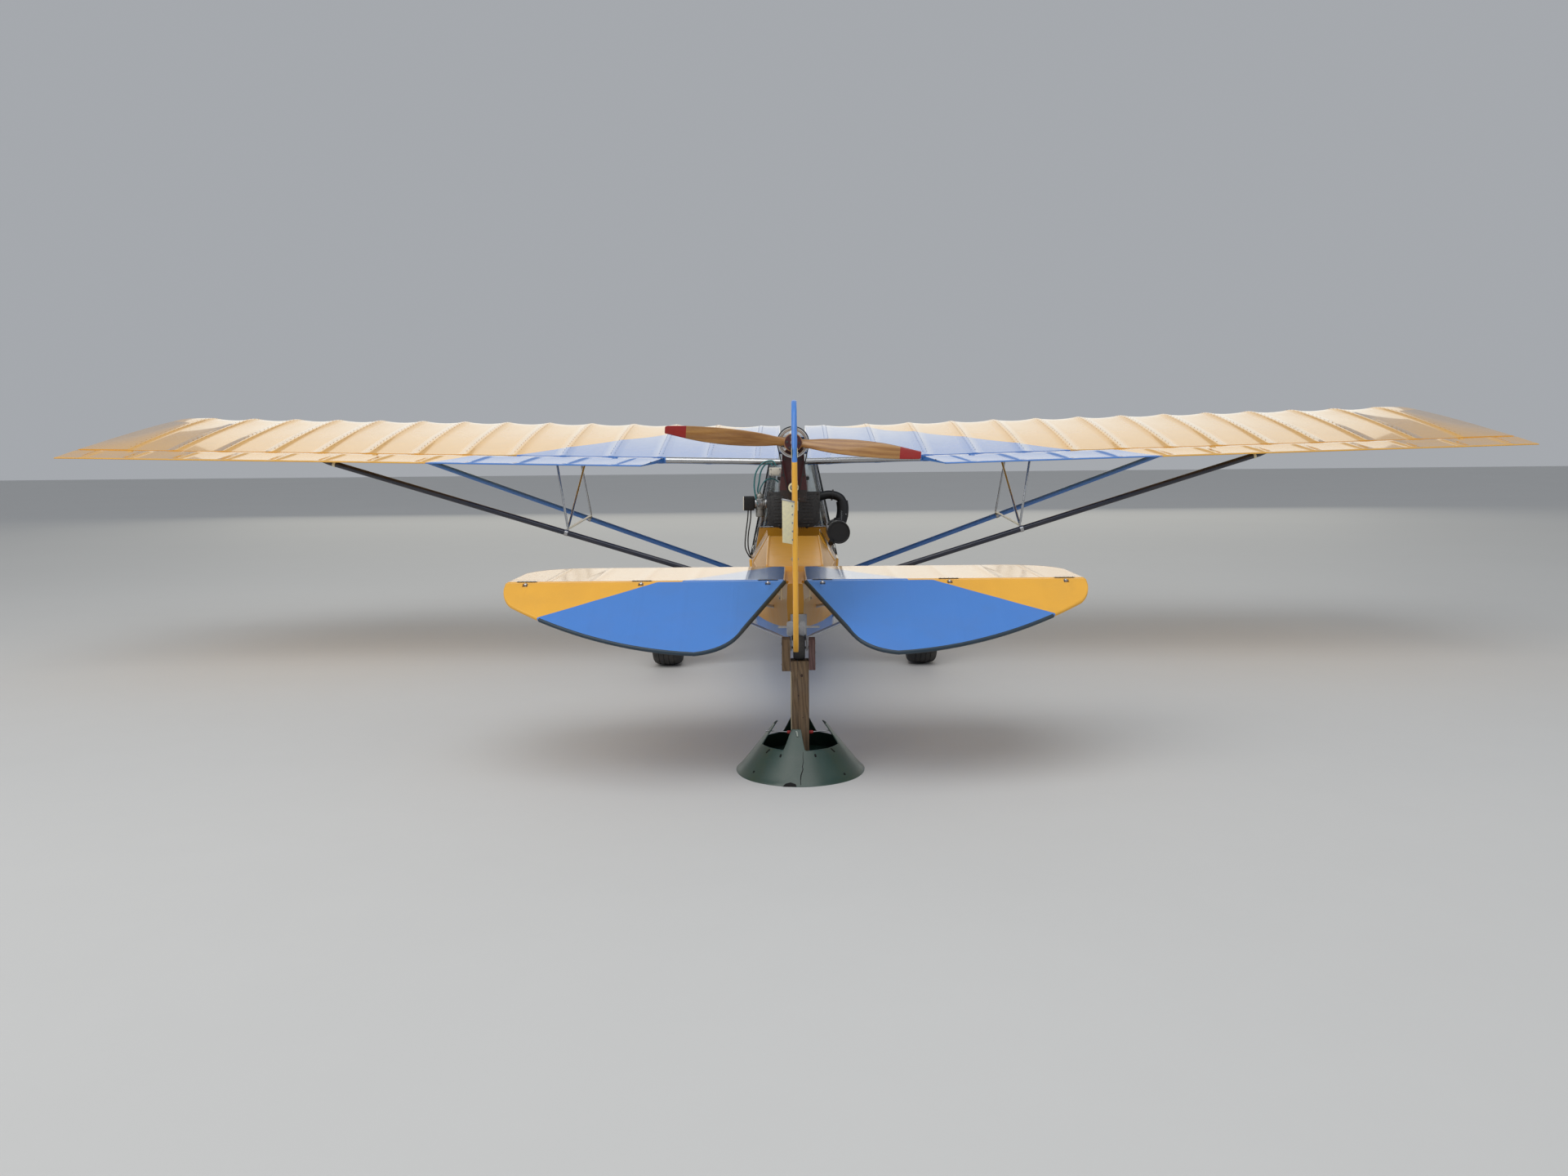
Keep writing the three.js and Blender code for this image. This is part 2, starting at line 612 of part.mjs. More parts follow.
function elevator(side) {
  const shape = new THREE.Shape();
  const inner = TAIL.root + 4;
  shape.moveTo(inner, 0);
  shape.lineTo(250, -400);
  shape.quadraticCurveTo(305, -505, 430, -525);
  shape.quadraticCurveTo(850, -490, 1272, -172);
  shape.quadraticCurveTo(1330, -110, 1330, 0);
  const blade = planform(shape, side, TAIL.blade);
  const nose = tube(point(side * inner, 0, TAIL.height), point(side * 1330, 0, TAIL.height), TAIL.nose, 12);
  const slot = (body, place) =>
    hingeSlot(body, point(side * place, 0, TAIL.height), axisX(side), point(0, 1, 0), 20);
  const whole = ELEVATOR_HINGES.reduce(slot, joined(blade, nose));
  const droop = THREE.MathUtils.degToRad(TAIL.droop);
  return turned(whole, droop, point(1, 0, 0), point(0, 0, TAIL.height));
}

// Two braces from the lower tail meet at a pad under the stabiliser.
function tailBrace(side) {
  const under = TAIL.height - TAIL.thick / 2;
  const pad = point(side * BRACE.pad[0], BRACE.pad[1], under - 12);
  const braces = BRACE.feet.map(([x, along, height]) =>
    tube(point(side * x, along, height), pad, BRACE.radius, 10));
  const { half } = BRACE;
  const plate = box([pad.x - half, pad.x + half], [pad.y - half, pad.y + half], [pad.z - 4, under - GAP]);
  return seated(joined(plate, ...braces), aftBody, side * GAP, 0, -GAP);
}

const RUDDER_HINGES = [960, 1290, 1560];
const UP = point(0, 0, 1);
function finBody() {
  const shape = new THREE.Shape();
  const rear = RUDDER.axis + 20;
  shape.moveTo(rear, 836);
  shape.lineTo(720, 836);
  shape.quadraticCurveTo(420, 1180, 240, 1560);
  shape.quadraticCurveTo(190, 1650, rear, 1660);
  const whole = slab(shape.getPoints(4), 'yz', -RUDDER.fin / 2, RUDDER.fin / 2);
  const body = seated(whole, aftBody, 0, 0, GAP);
  return RUDDER_HINGES.reduce((sum, place) =>
    sum.add(hingeLug(point(0, RUDDER.axis, place), UP, point(0, 1, 0), 26)), body);
}

function rudderBody() {
  const shape = new THREE.Shape();
  shape.moveTo(RUDDER.axis, RUDDER.noseLow);
  shape.quadraticCurveTo(RUDDER.axis - 136, RUDDER.noseLow, RUDDER.axis - 210, RUDDER.low);
  shape.quadraticCurveTo(RUDDER.trailing, RUDDER.low + 20, RUDDER.trailing, 860);
  shape.lineTo(RUDDER.trailing + 40, 1400);
  shape.quadraticCurveTo(RUDDER.trailing + 90, RUDDER.high, RUDDER.axis - 210, RUDDER.high);
  shape.quadraticCurveTo(RUDDER.axis - 40, RUDDER.high, RUDDER.axis, RUDDER.high - 70);
  const blade = slab(shape.getPoints(4), 'yz', -RUDDER.blade / 2, RUDDER.blade / 2);
  const onAxis = (height) => point(0, RUDDER.axis, height);
  const nose = tube(onAxis(RUDDER.noseLow), onAxis(RUDDER.high - 70), RUDDER.nose, 12);
  const whole = RUDDER_HINGES.reduce((body, place) =>
    hingeSlot(body, onAxis(place), UP, point(0, 1, 0), 20), joined(blade, nose));
  const tab = loft([TAB.low, TAB.high].map((height) => [
    point(-4, TAB.front - 8, height), point(-4, TAB.front, height),
    point(-TAB.out, TAIL_END + 5, height), point(-TAB.out, TAIL_END, height),
  ]));
  return whole.add(tab);
}

// Fuselage behind the cabin. Its deck steps down under the stabiliser.
const DECK = TAIL.height - TAIL.thick / 2 - GAP;
const AFT_SECTIONS = [
  // station, top height, shoulder height, low height, top half, shoulder half, low half
  [1900, 925, 760, 352, 158, 252, 232],
  [1000, 886, 770, 470, 152, 178, 150],
  [650, 866, 768, 513, 148, 153, 104],
  [630, DECK, 766, 515, 146, 151, 102],
  [300, DECK, 760, 556, 58, 76, 58],
  [TAIL_POST, DECK, 760, 575, 36, 40, 32],
];
function aftRing([station, top, shoulder, low, topHalf, shoulderHalf, lowHalf]) {
  const half = [[lowHalf, low], [shoulderHalf, shoulder], [topHalf, top]];
  return [...half.map(([x, z]) => point(x, station, z)),
    ...half.slice().reverse().map(([x, z]) => point(-x, station, z))];
}
const aftBody = loft(AFT_SECTIONS.map(aftRing));

function engineBay() {
  const rear = [1900 + GAP, 925, 760, 352, 158, 252, 232];
  const front = [CABIN.rear - GAP, 940, 750, 298, 172, 284, 262];
  const inset = ([station, top, shoulder, low, a, b, c], shift) =>
    aftRing([station + shift, top + 60, shoulder, low + 22, a - 16 - 10, b - 22, c - 22]);
  const trough = loft([aftRing(rear), aftRing(front)]).subtract(loft([inset(rear, 16), inset(front, 20)]));
  const { from, to, low, high } = BLADE_SLOT;
  return trough.subtract(box([-CABIN.sillHalf, CABIN.sillHalf], [from, to], [low, high]));
}
const bay = engineBay();

// Power unit
const roundPlate = (halfWide, low, high, corner) => {
  const shape = new THREE.Shape();
  shape.moveTo(halfWide, high - corner);
  shape.lineTo(halfWide - corner, high);
  shape.lineTo(corner - halfWide, high);
  shape.lineTo(-halfWide, high - corner);
  shape.lineTo(-halfWide, low + corner);
  shape.quadraticCurveTo(-halfWide, low, -halfWide + corner, low);
  shape.lineTo(halfWide - corner, low);
  shape.quadraticCurveTo(halfWide, low, halfWide, low + corner);
  return shape.getPoints(5);
};

// One cylinder hangs down from the case, with level fins and fins under its head.
function cylinder(station) {
  const { radius, low, finHalf, finDepth, fin, pitch } = CYLINDER;
  const barrel = tube(point(0, station, CASE.low + 4), point(0, station, low), radius, 20);
  const headDepth = [station - HEAD.depth, station + HEAD.depth];
  const head = box([-HEAD.half, HEAD.half], headDepth, [HEAD.low, low + 4]);
  const parts = [barrel, head];
  for (let z = low + 20; z < CASE.low - fin; z += pitch) {
    parts.push(box([-finHalf, finHalf], [station - finDepth, station + finDepth], [z, z + fin]));
  }
  for (let x = -2 * HEAD.pitch; x <= 2 * HEAD.pitch; x += HEAD.pitch) {
    parts.push(box([x - HEAD.fin / 2, x + HEAD.fin / 2], headDepth, [HEAD.finLow, HEAD.low + 1]));
  }
  return joined(...parts);
}

function engineBlock() {
  const { half, low, rear, front, mounts } = CASE;
  const crankcase = box([-half, half], [rear, front], [low, ENGINE.high]);
  const cover = tube(point(0, ENGINE.rear, DRIVE.lower - 20), point(0, rear + 1, DRIVE.lower - 20), 62, 24);
  const cowl = slab(roundPlate(COWL.half, COWL.low, COWL.high, COWL.corner), 'xz', rear, rear + COWL.thick);
  const fan = tube(point(0, front - 4, FAN.height), point(0, ENGINE.front, FAN.height), FAN.radius, 24);
  const port = point(0, INTAKE.station, INTAKE.height);
  const intake = tube(port, port.clone().setX(ENGINE.left), INTAKE.radius, 16);
  const flange = point(ENGINE.right - 23, EXHAUST.station, EXHAUST.height);
  const outlet = tube(flange, flange.clone().setX(ENGINE.right), EXHAUST.radius, 16);
  const meeting = flange.clone().setX(ENGINE.right - 10);
  const branches = CYLINDER.stations.map((station) =>
    tube(point(40, station, EXHAUST.height - 20), meeting, EXHAUST.branch, 14));
  const posts = mounts.map((along) =>
    box([-60, 60], [along - 18, along + 18], [ENGINE.high - 5, rootHeight(along) - 10]));
  const cylinders = CYLINDER.stations.map(cylinder);
  const whole = joined(crankcase, cover, cowl, fan, intake, outlet, ...branches, ...cylinders, ...posts);
  return seated(whole, rootBody, 0, 0, -GAP);
}
const rootBody = rootStructure();
const engine = engineBlock();

function drivePlate() {
  const plate = slab(mirrored([[80, 1128], [88, 1210], [73, 1380], [62, 1520], [30, 1552]]), 'xz', ...PLATE);
  const foot = box([-30, 30], [PLATE[1] - 1, ENGINE.rear - GAP], [1130, 1210]);
  const shaft = (height, end, radius) =>
    tube(point(0, PLATE[0] + 1, height), point(0, end, height), radius, 20);
  const axle = shaft(DRIVE.upper, PROP.station - 40, DRIVE.shaft);
  const crank = shaft(DRIVE.lower, PULLEY_Y[0] - 2, DRIVE.crank);
  return joined(plate, foot, axle, crank);
}

function ringAlongY(outer, inner, from, to, height, sides = 28) {
  const body = tube(point(0, from, height), point(0, to, height), outer, sides);
  return body.subtract(tube(point(0, from - 5, height), point(0, to + 5, height), inner, 20));
}

const PULLEY_Y = [2042, 2084];
const PULLEY = { holes: 5, holeRadius: 17, holePlace: 67, boss: 44 };
function upperPulley() {
  const { holes, holeRadius, holePlace, boss } = PULLEY;
  let wheel = ringAlongY(DRIVE.upperRadius - 4, DRIVE.shaft + GAP, ...PULLEY_Y, DRIVE.upper);
  for (let k = 0; k < holes; k++) {
    const angle = (k / holes) * Math.PI * 2;
    const [x, z] = [holePlace * Math.cos(angle), DRIVE.upper + holePlace * Math.sin(angle)];
    wheel = wheel.subtract(tube(point(x, PULLEY_Y[0] - 5, z), point(x, PULLEY_Y[1] + 5, z), holeRadius, 16));
  }
  const bossRear = PROP.station + PROP.half + GAP;
  return wheel.add(ringAlongY(boss, DRIVE.shaft + GAP, bossRear, PULLEY_Y[0] + 1, DRIVE.upper));
}
const lowerPulley = () => ringAlongY(DRIVE.lowerRadius - 4, DRIVE.crank + GAP, ...PULLEY_Y, DRIVE.lower, 24);

function beltBody() {
  const hull = (grow, from, to) => {
    const ring = (y) => {
      const points = [];
      const [high, low] = [DRIVE.upperRadius + grow, DRIVE.lowerRadius + grow];
      const lean = Math.asin((high - low) / (DRIVE.upper - DRIVE.lower));
      for (let i = 0; i <= 16; i++) {
        const a = -lean + (i / 16) * (Math.PI + 2 * lean);
        points.push(point(high * Math.cos(a), y, DRIVE.upper + high * Math.sin(a)));
      }
      for (let i = 0; i <= 12; i++) {
        const a = Math.PI + lean + (i / 12) * (Math.PI - 2 * lean);
        points.push(point(low * Math.cos(a), y, DRIVE.lower + low * Math.sin(a)));
      }
      return points;
    };
    return loft([ring(from), ring(to)]);
  };
  return hull(3, PULLEY_Y[0] + 5, PULLEY_Y[1] - 5).subtract(hull(-3, PULLEY_Y[0], PULLEY_Y[1]));
}

function propeller() {
  const blades = SIDES.map(([, side]) => {
    const rows = [
      // distance from the hub, chord, thickness, pitch in degrees, sweep toward the leading edge
      [20, 58, 34, 34, 0], [110, 64, 28, 31, 0], [230, 96, 22, 26, 0], [400, 108, 16, 19, 0],
      [560, 98, 12, 14, 2], [690, 76, 9, 12, 7], [PROP.radius, 48, 7, 10, 10],
    ];
    return loft(rows.map(([out, chord, thick, pitch, sweep]) => {
      const ring = [];
      for (let k = 0; k < 12; k++) {
        const angle = (k / 12) * Math.PI * 2;
        const [u, v] = [chord / 2 * Math.cos(angle) - sweep, thick / 2 * Math.sin(angle)];
        const turn = THREE.MathUtils.degToRad(90 - pitch) * side;
        ring.push(point(side * out, PROP.station + v * Math.sin(turn) * side + u * Math.cos(turn),
          DRIVE.upper + u * Math.sin(turn) - v * Math.cos(turn) * side));
      }
      return ring;
    }));
  });
  const disc = (half, radius, sides) => tube(point(0, PROP.station - half, DRIVE.upper),
    point(0, PROP.station + half, DRIVE.upper), radius, sides);
  const level = joined(disc(PROP.half, PROP.hub, 28), ...blades).subtract(disc(45, DRIVE.shaft + GAP, 20));
  const tilt = THREE.MathUtils.degToRad(PROP.tilt);
  return turned(level, tilt, point(0, 1, 0), point(0, PROP.station, DRIVE.upper));
}

function muffler() {
  const can = tube(point(292, 2170, 925), point(292, 2500, 925), 73, 20);
  const route = new THREE.CatmullRomCurve3([point(ENGINE.right - 12, 2470, 1140), point(240, 2470, 1158),
    point(318, 2460, 1130), point(336, 2440, 1050), point(300, 2420, 985)]);
  const { pipe: radius } = EXHAUST;
  const outline = new THREE.Shape(new THREE.EllipseCurve(0, 0, radius, radius).getPoints(12).slice(0, 12));
  const bend = { steps: 10, extrudePath: route, bevelEnabled: false };
  const pipe = solid(new THREE.ExtrudeGeometry(outline, bend));
  const outlet = tube(point(252, 2200, 880), point(238, 2150, 856), 16, 12);
  const sleeve = tube(point(325, 2448, 1112), point(316, 2430, 985), EXHAUST.sleeve, 16);
  return seated(joined(can, pipe, sleeve, outlet), engine, GAP, 0, 0);
}

function carburettor() {
  const barrel = box([-250, ENGINE.left - GAP], [2330, 2400], [1020, 1184]);
  const filter = box([-332, -246], [2320, 2410], [1062, 1157]);
  return joined(barrel, filter);
}

// Undercarriage
function wheelTyre({ place, station, radius, width, rim }, sides) {
  const [half, bead] = [width / 2, rim + GAP];
  const profile = [[bead, -half * 0.62], [radius * 0.8, -half * 0.95], [radius * 0.92, -half * 0.86],
    [radius * 0.985, -half * 0.5], [radius, 0], [radius * 0.985, half * 0.5], [radius * 0.92, half * 0.86],
    [radius * 0.8, half * 0.95], [bead, half * 0.62], [bead, -half * 0.62]];
  return roundAlongX(profile, point(place, station, radius), sides);
}

function wheelHub({ place, station, radius, width, rim, axle }, sides) {
  const half = width / 2;
  const bore = axle + GAP;
  const profile = [[bore, -half * 0.7], [bore + 16, -half * 0.7], [rim - 14, -half * 0.3], [rim, -half * 0.6],
    [rim, half * 0.6], [rim - 14, half * 0.3], [bore + 16, half * 0.7], [bore, half * 0.7],
    [bore, -half * 0.7]];
  return roundAlongX(profile, point(place, station, radius), sides);
}

function gearLeg(side) {
  const { place, station, radius, width, axle } = MAIN;
  const inner = side * (place - width * 0.5 - 28);
  const knee = point(inner, station, radius + 6);
  const root = point(side * 262, station, 350);
  const brace = tube(point(side * 262, station + 480, 345), knee, 14, 12);
  const leg = tube(root, knee, 22, 14);
  const blockHeight = [radius - 24, radius + 30];
  const block = box(between(inner, inner + side * 24), [station - 24, station + 24], blockHeight);
  const outer = side * (place + width * 0.36);
  const stub = tube(point(inner, station, radius), point(outer, station, radius), axle, 20);
  return seated(joined(leg, brace, block, stub), tub, side * GAP, 0, -GAP);
}

function noseFork() {
  const { station, radius, width, axle, stemTop, stemRadius } = NOSEWHEEL;
  const gap = width / 2 + 8;
  const crown = radius * 2 + 12;
  const blades = SIDES.map(([, side]) =>
    box(between(side * gap, side * (gap + 8)), [station - 16, station + 16], [radius - 22, crown + 10]));
  const top = box([-gap - 8, gap + 8], [station - 20, station + 20], [crown, crown + 14]);
  const stem = tube(point(0, station, crown + 10), point(0, station, stemTop), stemRadius, 20);
  const pin = tube(point(-gap - 4, station, radius), point(gap + 4, station, radius), axle, 20);
  return joined(top, ...blades, stem, pin);
}

const TAIL_AXLE = TAILWHEEL.ground + TAILWHEEL.radius;
function tailFork() {
  const { across, station, width, axle } = TAILWHEEL;
  const gap = width / 2 + 6;
  const plates = SIDES.map(([, side]) => box(between(across + side * gap, across + side * (gap + 5)),
    [station - 16, TAIL_POST - GAP], [TAIL_AXLE - 14, TAIL_AXLE + 34]));
  const webDepth = [TAIL_POST - 12, TAIL_POST - GAP];
  const web = box([across - gap - 5, across + gap + 5], webDepth, [TAIL_AXLE + 10, 700]);
  const onAxle = (reach) => point(across + reach, station, TAIL_AXLE);
  const pin = tube(onAxle(-gap - 3), onAxle(gap + 3), axle, 16);
  return joined(web, ...plates, pin);
}

function tailWheel() {
  const { across, radius, width, axle, station } = TAILWHEEL;
  const half = width / 2;
  const bore = axle + GAP;
  const profile = [[bore, -half], [radius - 12, -half], [radius, -half * 0.6], [radius, half * 0.6],
    [radius - 12, half], [bore, half], [bore, -half]];
  return roundAlongX(profile, point(across, station, TAIL_AXLE), 20);
}

// Tail stand
function standPost() {
  const half = STAND.board;
  const x = STAND.across;
  const deep = STAND.depth / 2;
  const depth = [STAND.station - deep, STAND.station + deep];
  const post = box([x - half, x + half], depth, [0, TAILWHEEL.ground - GAP]);
  const heights = [STAND.cheekLow, STAND.cheekHigh];
  return joined(post, box([x - half - STAND.leftCheek, x - half], depth, heights),
    box([x + half, x + half + STAND.rightCheek], depth, heights));
}

function cone(floor, top, low, high) {
  const geometry = new THREE.CylinderGeometry(top, floor, high - low, 40);
  geometry.rotateX(Math.PI / 2);
  return solid(geometry.translate(STAND.across, STAND.station, (low + high) / 2));
}

function standBase() {
  const { floor, top, height, wall, rim, web } = BASE;
  const shell = cone(floor, top, 0, height).subtract(cone(floor - wall, top - wall, -1, height + 1));
  const [lowWeb, highWeb] = web.map((z) => floor - ((floor - top) * z) / height - wall / 2);
  const [half, deep] = [STAND.board + GAP, STAND.depth / 2 + GAP];
  const hole = box([STAND.across - half, STAND.across + half],
    [STAND.station - deep, STAND.station + deep], [0, height]);
  const holder = cone(lowWeb, highWeb, ...web).subtract(hole);
  const cuts = LOBES.map(([middle, half], i) => {
    const [nextMiddle, nextHalf] = LOBES[(i + 1) % LOBES.length];
    const from = middle + half;
    const to = nextMiddle - nextHalf + (nextMiddle < middle ? 360 : 0);
    const steps = Math.max(2, Math.ceil((to - from) / 15));
    const spots = [[STAND.across, STAND.station]];
    for (let k = 0; k <= steps; k++) {
      const angle = THREE.MathUtils.degToRad(from + ((to - from) * k) / steps);
      spots.push([STAND.across + 400 * Math.cos(angle), STAND.station + 400 * Math.sin(angle)]);
    }
    return slab(flat(spots), 'xy', rim, height + 20);
  });
  return cuts.reduce((body, cut) => body.subtract(cut), shell).add(holder);
}

// Assembly
const aircraft = new THREE.Group();
aircraft.position.y = -BOX_MIDDLE;

function add(name, body, material) {
  const mesh = new THREE.Mesh(geometryOf(body), material);
  mesh.name = name;
  aircraft.add(mesh);
}

add('cabin_tub', tub, BLUE);
add('nose_cone', noseCone(), BLUE);
add('windshield', windshield(), CLEAR);
add('root_structure', rootBody, SILVER);
add('aft_fuselage', aftBody, YELLOW);
add('engine_bay', bay, YELLOW);
add('fin', finBody(), YELLOW);
add('rudder', rudderBody(), YELLOW);
add('cabin_frame', cabinFrame(), SILVER);
add('rear_bulkhead', rearBulkhead(), YELLOW);
add('instrument_panel', instrumentPanel(), BLACK);
add('front_seat', seatBody(SEATS.front), FABRIC);
add('rear_seat', seatBody(SEATS.rear), FABRIC);
add('control_stick', controlStick(), BLACK);
add('fuel_tank', fuelTank(), CREAM);
add('engine_block', engine, BLACK);
add('drive_plate', drivePlate(), MAROON);
add('upper_pulley', upperPulley(), SILVER);
add('lower_pulley', lowerPulley(), CREAM);
add('drive_belt', beltBody(), RUBBER);
add('propeller', propeller(), TIMBER);
add('muffler', muffler(), STEEL);
add('carburettor', carburettor(), STEEL);
add('nose_fork', noseFork(), STEEL);
add('nose_tyre', wheelTyre({ place: 0, ...NOSEWHEEL }, 24), RUBBER);
add('nose_hub', wheelHub({ place: 0, ...NOSEWHEEL }, 24), SILVER);
add('tail_fork', tailFork(), SILVER);
add('tail_wheel', tailWheel(), RUBBER);
add('stand_post', standPost(), PLANK);
add('stand_base', standBase(), GREEN);

for (const [label, side] of SIDES) {
  add(`wing_${label}`, wings[side], YELLOW);
  add(`flaperon_${label}`, flaperonBody(side), YELLOW);
  add(`front_strut_${label}`, seated(strutBody(STRUTS.front, side), tub, side * GAP, 0, 0), BLUE);
  add(`rear_strut_${label}`, seated(strutBody(STRUTS.rear, side), tub, side * GAP, 0, 0), NAVY);
  add(`jury_struts_${label}`, jurySet(side), SILVER);
  add(`side_window_${label}`, leaningPanel(side, REAR_WINDOW, 8), CLEAR);
  add(`door_${label}`, doorFrame(side), BLACK);
  add(`door_pane_${label}`, doorPane(side), CLEAR);
  add(`tail_brace_${label}`, tailBrace(side), NAVY);
  add(`stabiliser_${label}`, stabiliser(side), YELLOW);
  add(`elevator_${label}`, elevator(side), YELLOW);
  add(`gear_leg_${label}`, gearLeg(side), NAVY);
  add(`main_tyre_${label}`, wheelTyre({ ...MAIN, place: side * MAIN.place }, 28), RUBBER);
  add(`main_hub_${label}`, wheelHub({ ...MAIN, place: side * MAIN.place }, 28), SILVER);
}

export default aircraft;
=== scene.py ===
"""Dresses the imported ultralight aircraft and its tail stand, in metres, in the frame of the CAD model."""

from __future__ import annotations

import json
import logging
from collections.abc import Callable, Iterable, Sequence
from dataclasses import dataclass
from enum import Enum
from math import asin, atan2, copysign, cos, exp, pi, radians, sin, sqrt, tau

import bmesh
import bpy
from mathutils import Matrix, Vector


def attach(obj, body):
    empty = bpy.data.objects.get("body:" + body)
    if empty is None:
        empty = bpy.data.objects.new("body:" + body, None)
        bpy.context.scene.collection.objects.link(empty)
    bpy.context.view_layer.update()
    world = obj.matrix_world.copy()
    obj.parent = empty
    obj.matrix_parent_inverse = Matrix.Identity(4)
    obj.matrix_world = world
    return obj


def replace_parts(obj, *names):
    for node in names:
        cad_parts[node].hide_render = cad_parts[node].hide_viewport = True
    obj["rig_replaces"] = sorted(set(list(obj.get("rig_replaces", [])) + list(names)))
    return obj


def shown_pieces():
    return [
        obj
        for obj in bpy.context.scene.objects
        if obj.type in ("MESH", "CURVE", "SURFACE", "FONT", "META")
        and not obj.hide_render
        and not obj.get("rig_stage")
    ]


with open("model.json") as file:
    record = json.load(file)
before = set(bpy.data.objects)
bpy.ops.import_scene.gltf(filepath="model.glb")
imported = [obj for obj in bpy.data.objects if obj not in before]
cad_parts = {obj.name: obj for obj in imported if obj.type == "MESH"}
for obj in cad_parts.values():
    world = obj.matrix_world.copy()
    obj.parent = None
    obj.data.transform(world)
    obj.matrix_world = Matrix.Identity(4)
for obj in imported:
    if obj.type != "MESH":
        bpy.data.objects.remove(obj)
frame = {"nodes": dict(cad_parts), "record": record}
LOG = logging.getLogger("aircraft")

BMesh = bmesh.types.BMesh
Socket = bpy.types.NodeSocket
Tree = bpy.types.NodeTree
Node = bpy.types.Node
Pair = tuple[float, float]
Triple = tuple[float, float, float]
Colour = Triple
Row = Sequence[Vector]

TURN = tau
MM = 0.001
TINY = 1e-9
# Points nearer than this are one point, in metres
SAME_SPOT = 1e-6
# The elevator hinge's place in the CAD frame, from which all stations count forward, in metres
HINGE_LINE = -2.480
# The wings' rise toward their tips and toward their leading edges, and their lower rear edge, in millimetres
DIHEDRAL = 0.0228
INCIDENCE = 0.146
WING_REAR = 2475.3
WING_LOW = 1356.0
ACROSS = Vector((1.0, 0.0, 0.0)).freeze()
AHEAD = Vector((0.0, 1.0, 0.0)).freeze()
AFT = Vector((0.0, -1.0, 0.0)).freeze()
UP = Vector((0.0, 0.0, 1.0)).freeze()
# The flaperons' hinge line, their hinges and the wing's ribs, in millimetres
FLAPERON_AXIS = 2455.0
FLAPERON_HEIGHT = 1380.0
FLAPERON_HINGES = (1180.0, 2780.0, 4420.0)
FIRST_RIB = 240.0
RIB_PITCH = 325.5
# How sharply one colour ends at a border, in shares of the mix for each metre
BORDER_STEEPNESS = 600.0
# Half of a hinge pin's length, half of the cut for a hinge in the cloth, and the step beside a tape or a cut
PIN_HALF = 13.0
CUT_HALF = 12.0
CUT_STEP = 0.4
TAPE_STEP = 0.8
# How far the place of a row may be off and still count as on its line
NEAR = 0.1
# Stands an outline drawn in XY upright, with its second axis up and its depth running forward
STANDING = Matrix(((1, 0, 0, 0), (0, 0, 1, 0), (0, 1, 0, 0), (0, 0, 0, 1)))


class Side(Enum):
    """The two sides of the aircraft."""

    LEFT = -1
    RIGHT = 1

    @property
    def word(self) -> str:
        """The side's word in a piece name."""
        return self.name.lower()


def at(across: float, station: float, height: float) -> Vector:
    """Gives a place in the CAD frame from millimetres.

    Args:
        across: distance to the right of the middle.
        station: distance forward of the elevator hinge.
        height: height above the ground.

    Returns:
        The place in metres.
    """
    return Vector((across * MM, station * MM + HINGE_LINE, height * MM))


def under_wing(station: float, across: float) -> float:
    """Gives the height of the wing's lower surface, in millimetres."""
    return WING_LOW + INCIDENCE * (station - WING_REAR) + DIHEDRAL * across


def frame_on(origin: Vector, axis: Vector, up: str = "Y") -> Matrix:
    """Gives the matrix that stands a part's Z axis along a direction.

    Args:
        origin: where the part's origin goes.
        axis: the direction of its Z axis.
        up: which of its axes turns upward.

    Returns:
        The placing matrix.
    """
    return Matrix.Translation(origin) @ axis.to_track_quat("Z", up).to_matrix().to_4x4()


# Parts made with mesh operators


def rounded(part: BMesh, width: float, segments: int = 2, angle: float = 30.0) -> BMesh:
    """Bevels the edges that are sharper than an angle.

    Args:
        part: the mesh to change.
        width: width of the bevel in metres.
        segments: number of strips in it.
        angle: the least angle between faces, in degrees.

    Returns:
        The same mesh.
    """
    limit = radians(angle)
    sharp = [edge for edge in part.edges if edge.is_manifold and edge.calc_face_angle(0.0) > limit]
    bmesh.ops.bevel(
        part, geom=sharp, offset=width, offset_type="OFFSET", segments=segments, profile=0.5,
        affect="EDGES", clamp_overlap=True, material=-1,
    )
    return part


def block(low: Vector, high: Vector, bevel: float = 0.0, segments: int = 2) -> BMesh:
    """Makes a box between two corners with rounded edges.

    Args:
        low: lowest corner.
        high: highest corner.
        bevel: width of the edge rounding in metres.
        segments: strips in the rounding.

    Returns:
        The new mesh.
    """
    part = bmesh.new()
    bmesh.ops.create_cube(part, size=1.0)
    bmesh.ops.scale(part, vec=high - low, verts=part.verts[:])
    bmesh.ops.translate(part, vec=(low + high) / 2, verts=part.verts[:])
    return rounded(part, bevel, segments) if bevel else part


def turned(profile: Sequence[Pair], steps: int = 32) -> BMesh:
    """Spins a profile of radius and height round the Z axis.

    Args:
        profile: pairs of radius and height in metres; one that starts off the axis is closed to a ring.
        steps: number of steps in the full turn.

    Returns:
        The new mesh.
    """
    part = bmesh.new()
    points = [part.verts.new((radius, 0.0, height)) for radius, height in profile]
    edges = [part.edges.new(pair) for pair in zip(points, points[1:])]
    if profile[0][0] > 0:
        edges.append(part.edges.new((points[-1], points[0])))
    bmesh.ops.spin(
        part, geom=[*points, *edges], cent=(0, 0, 0), axis=(0, 0, 1), dvec=(0, 0, 0),
        angle=TURN, steps=steps, use_merge=True, use_duplicate=False,
    )
    bmesh.ops.remove_doubles(part, verts=part.verts[:], dist=SAME_SPOT)
    bmesh.ops.recalc_face_normals(part, faces=part.faces[:])
    return part


def peg(radius: float, high: float) -> list[Pair]:
    """Gives the profile of a plain cylinder."""
    return [(0, 0), (radius, 0), (radius, high), (0, high)]


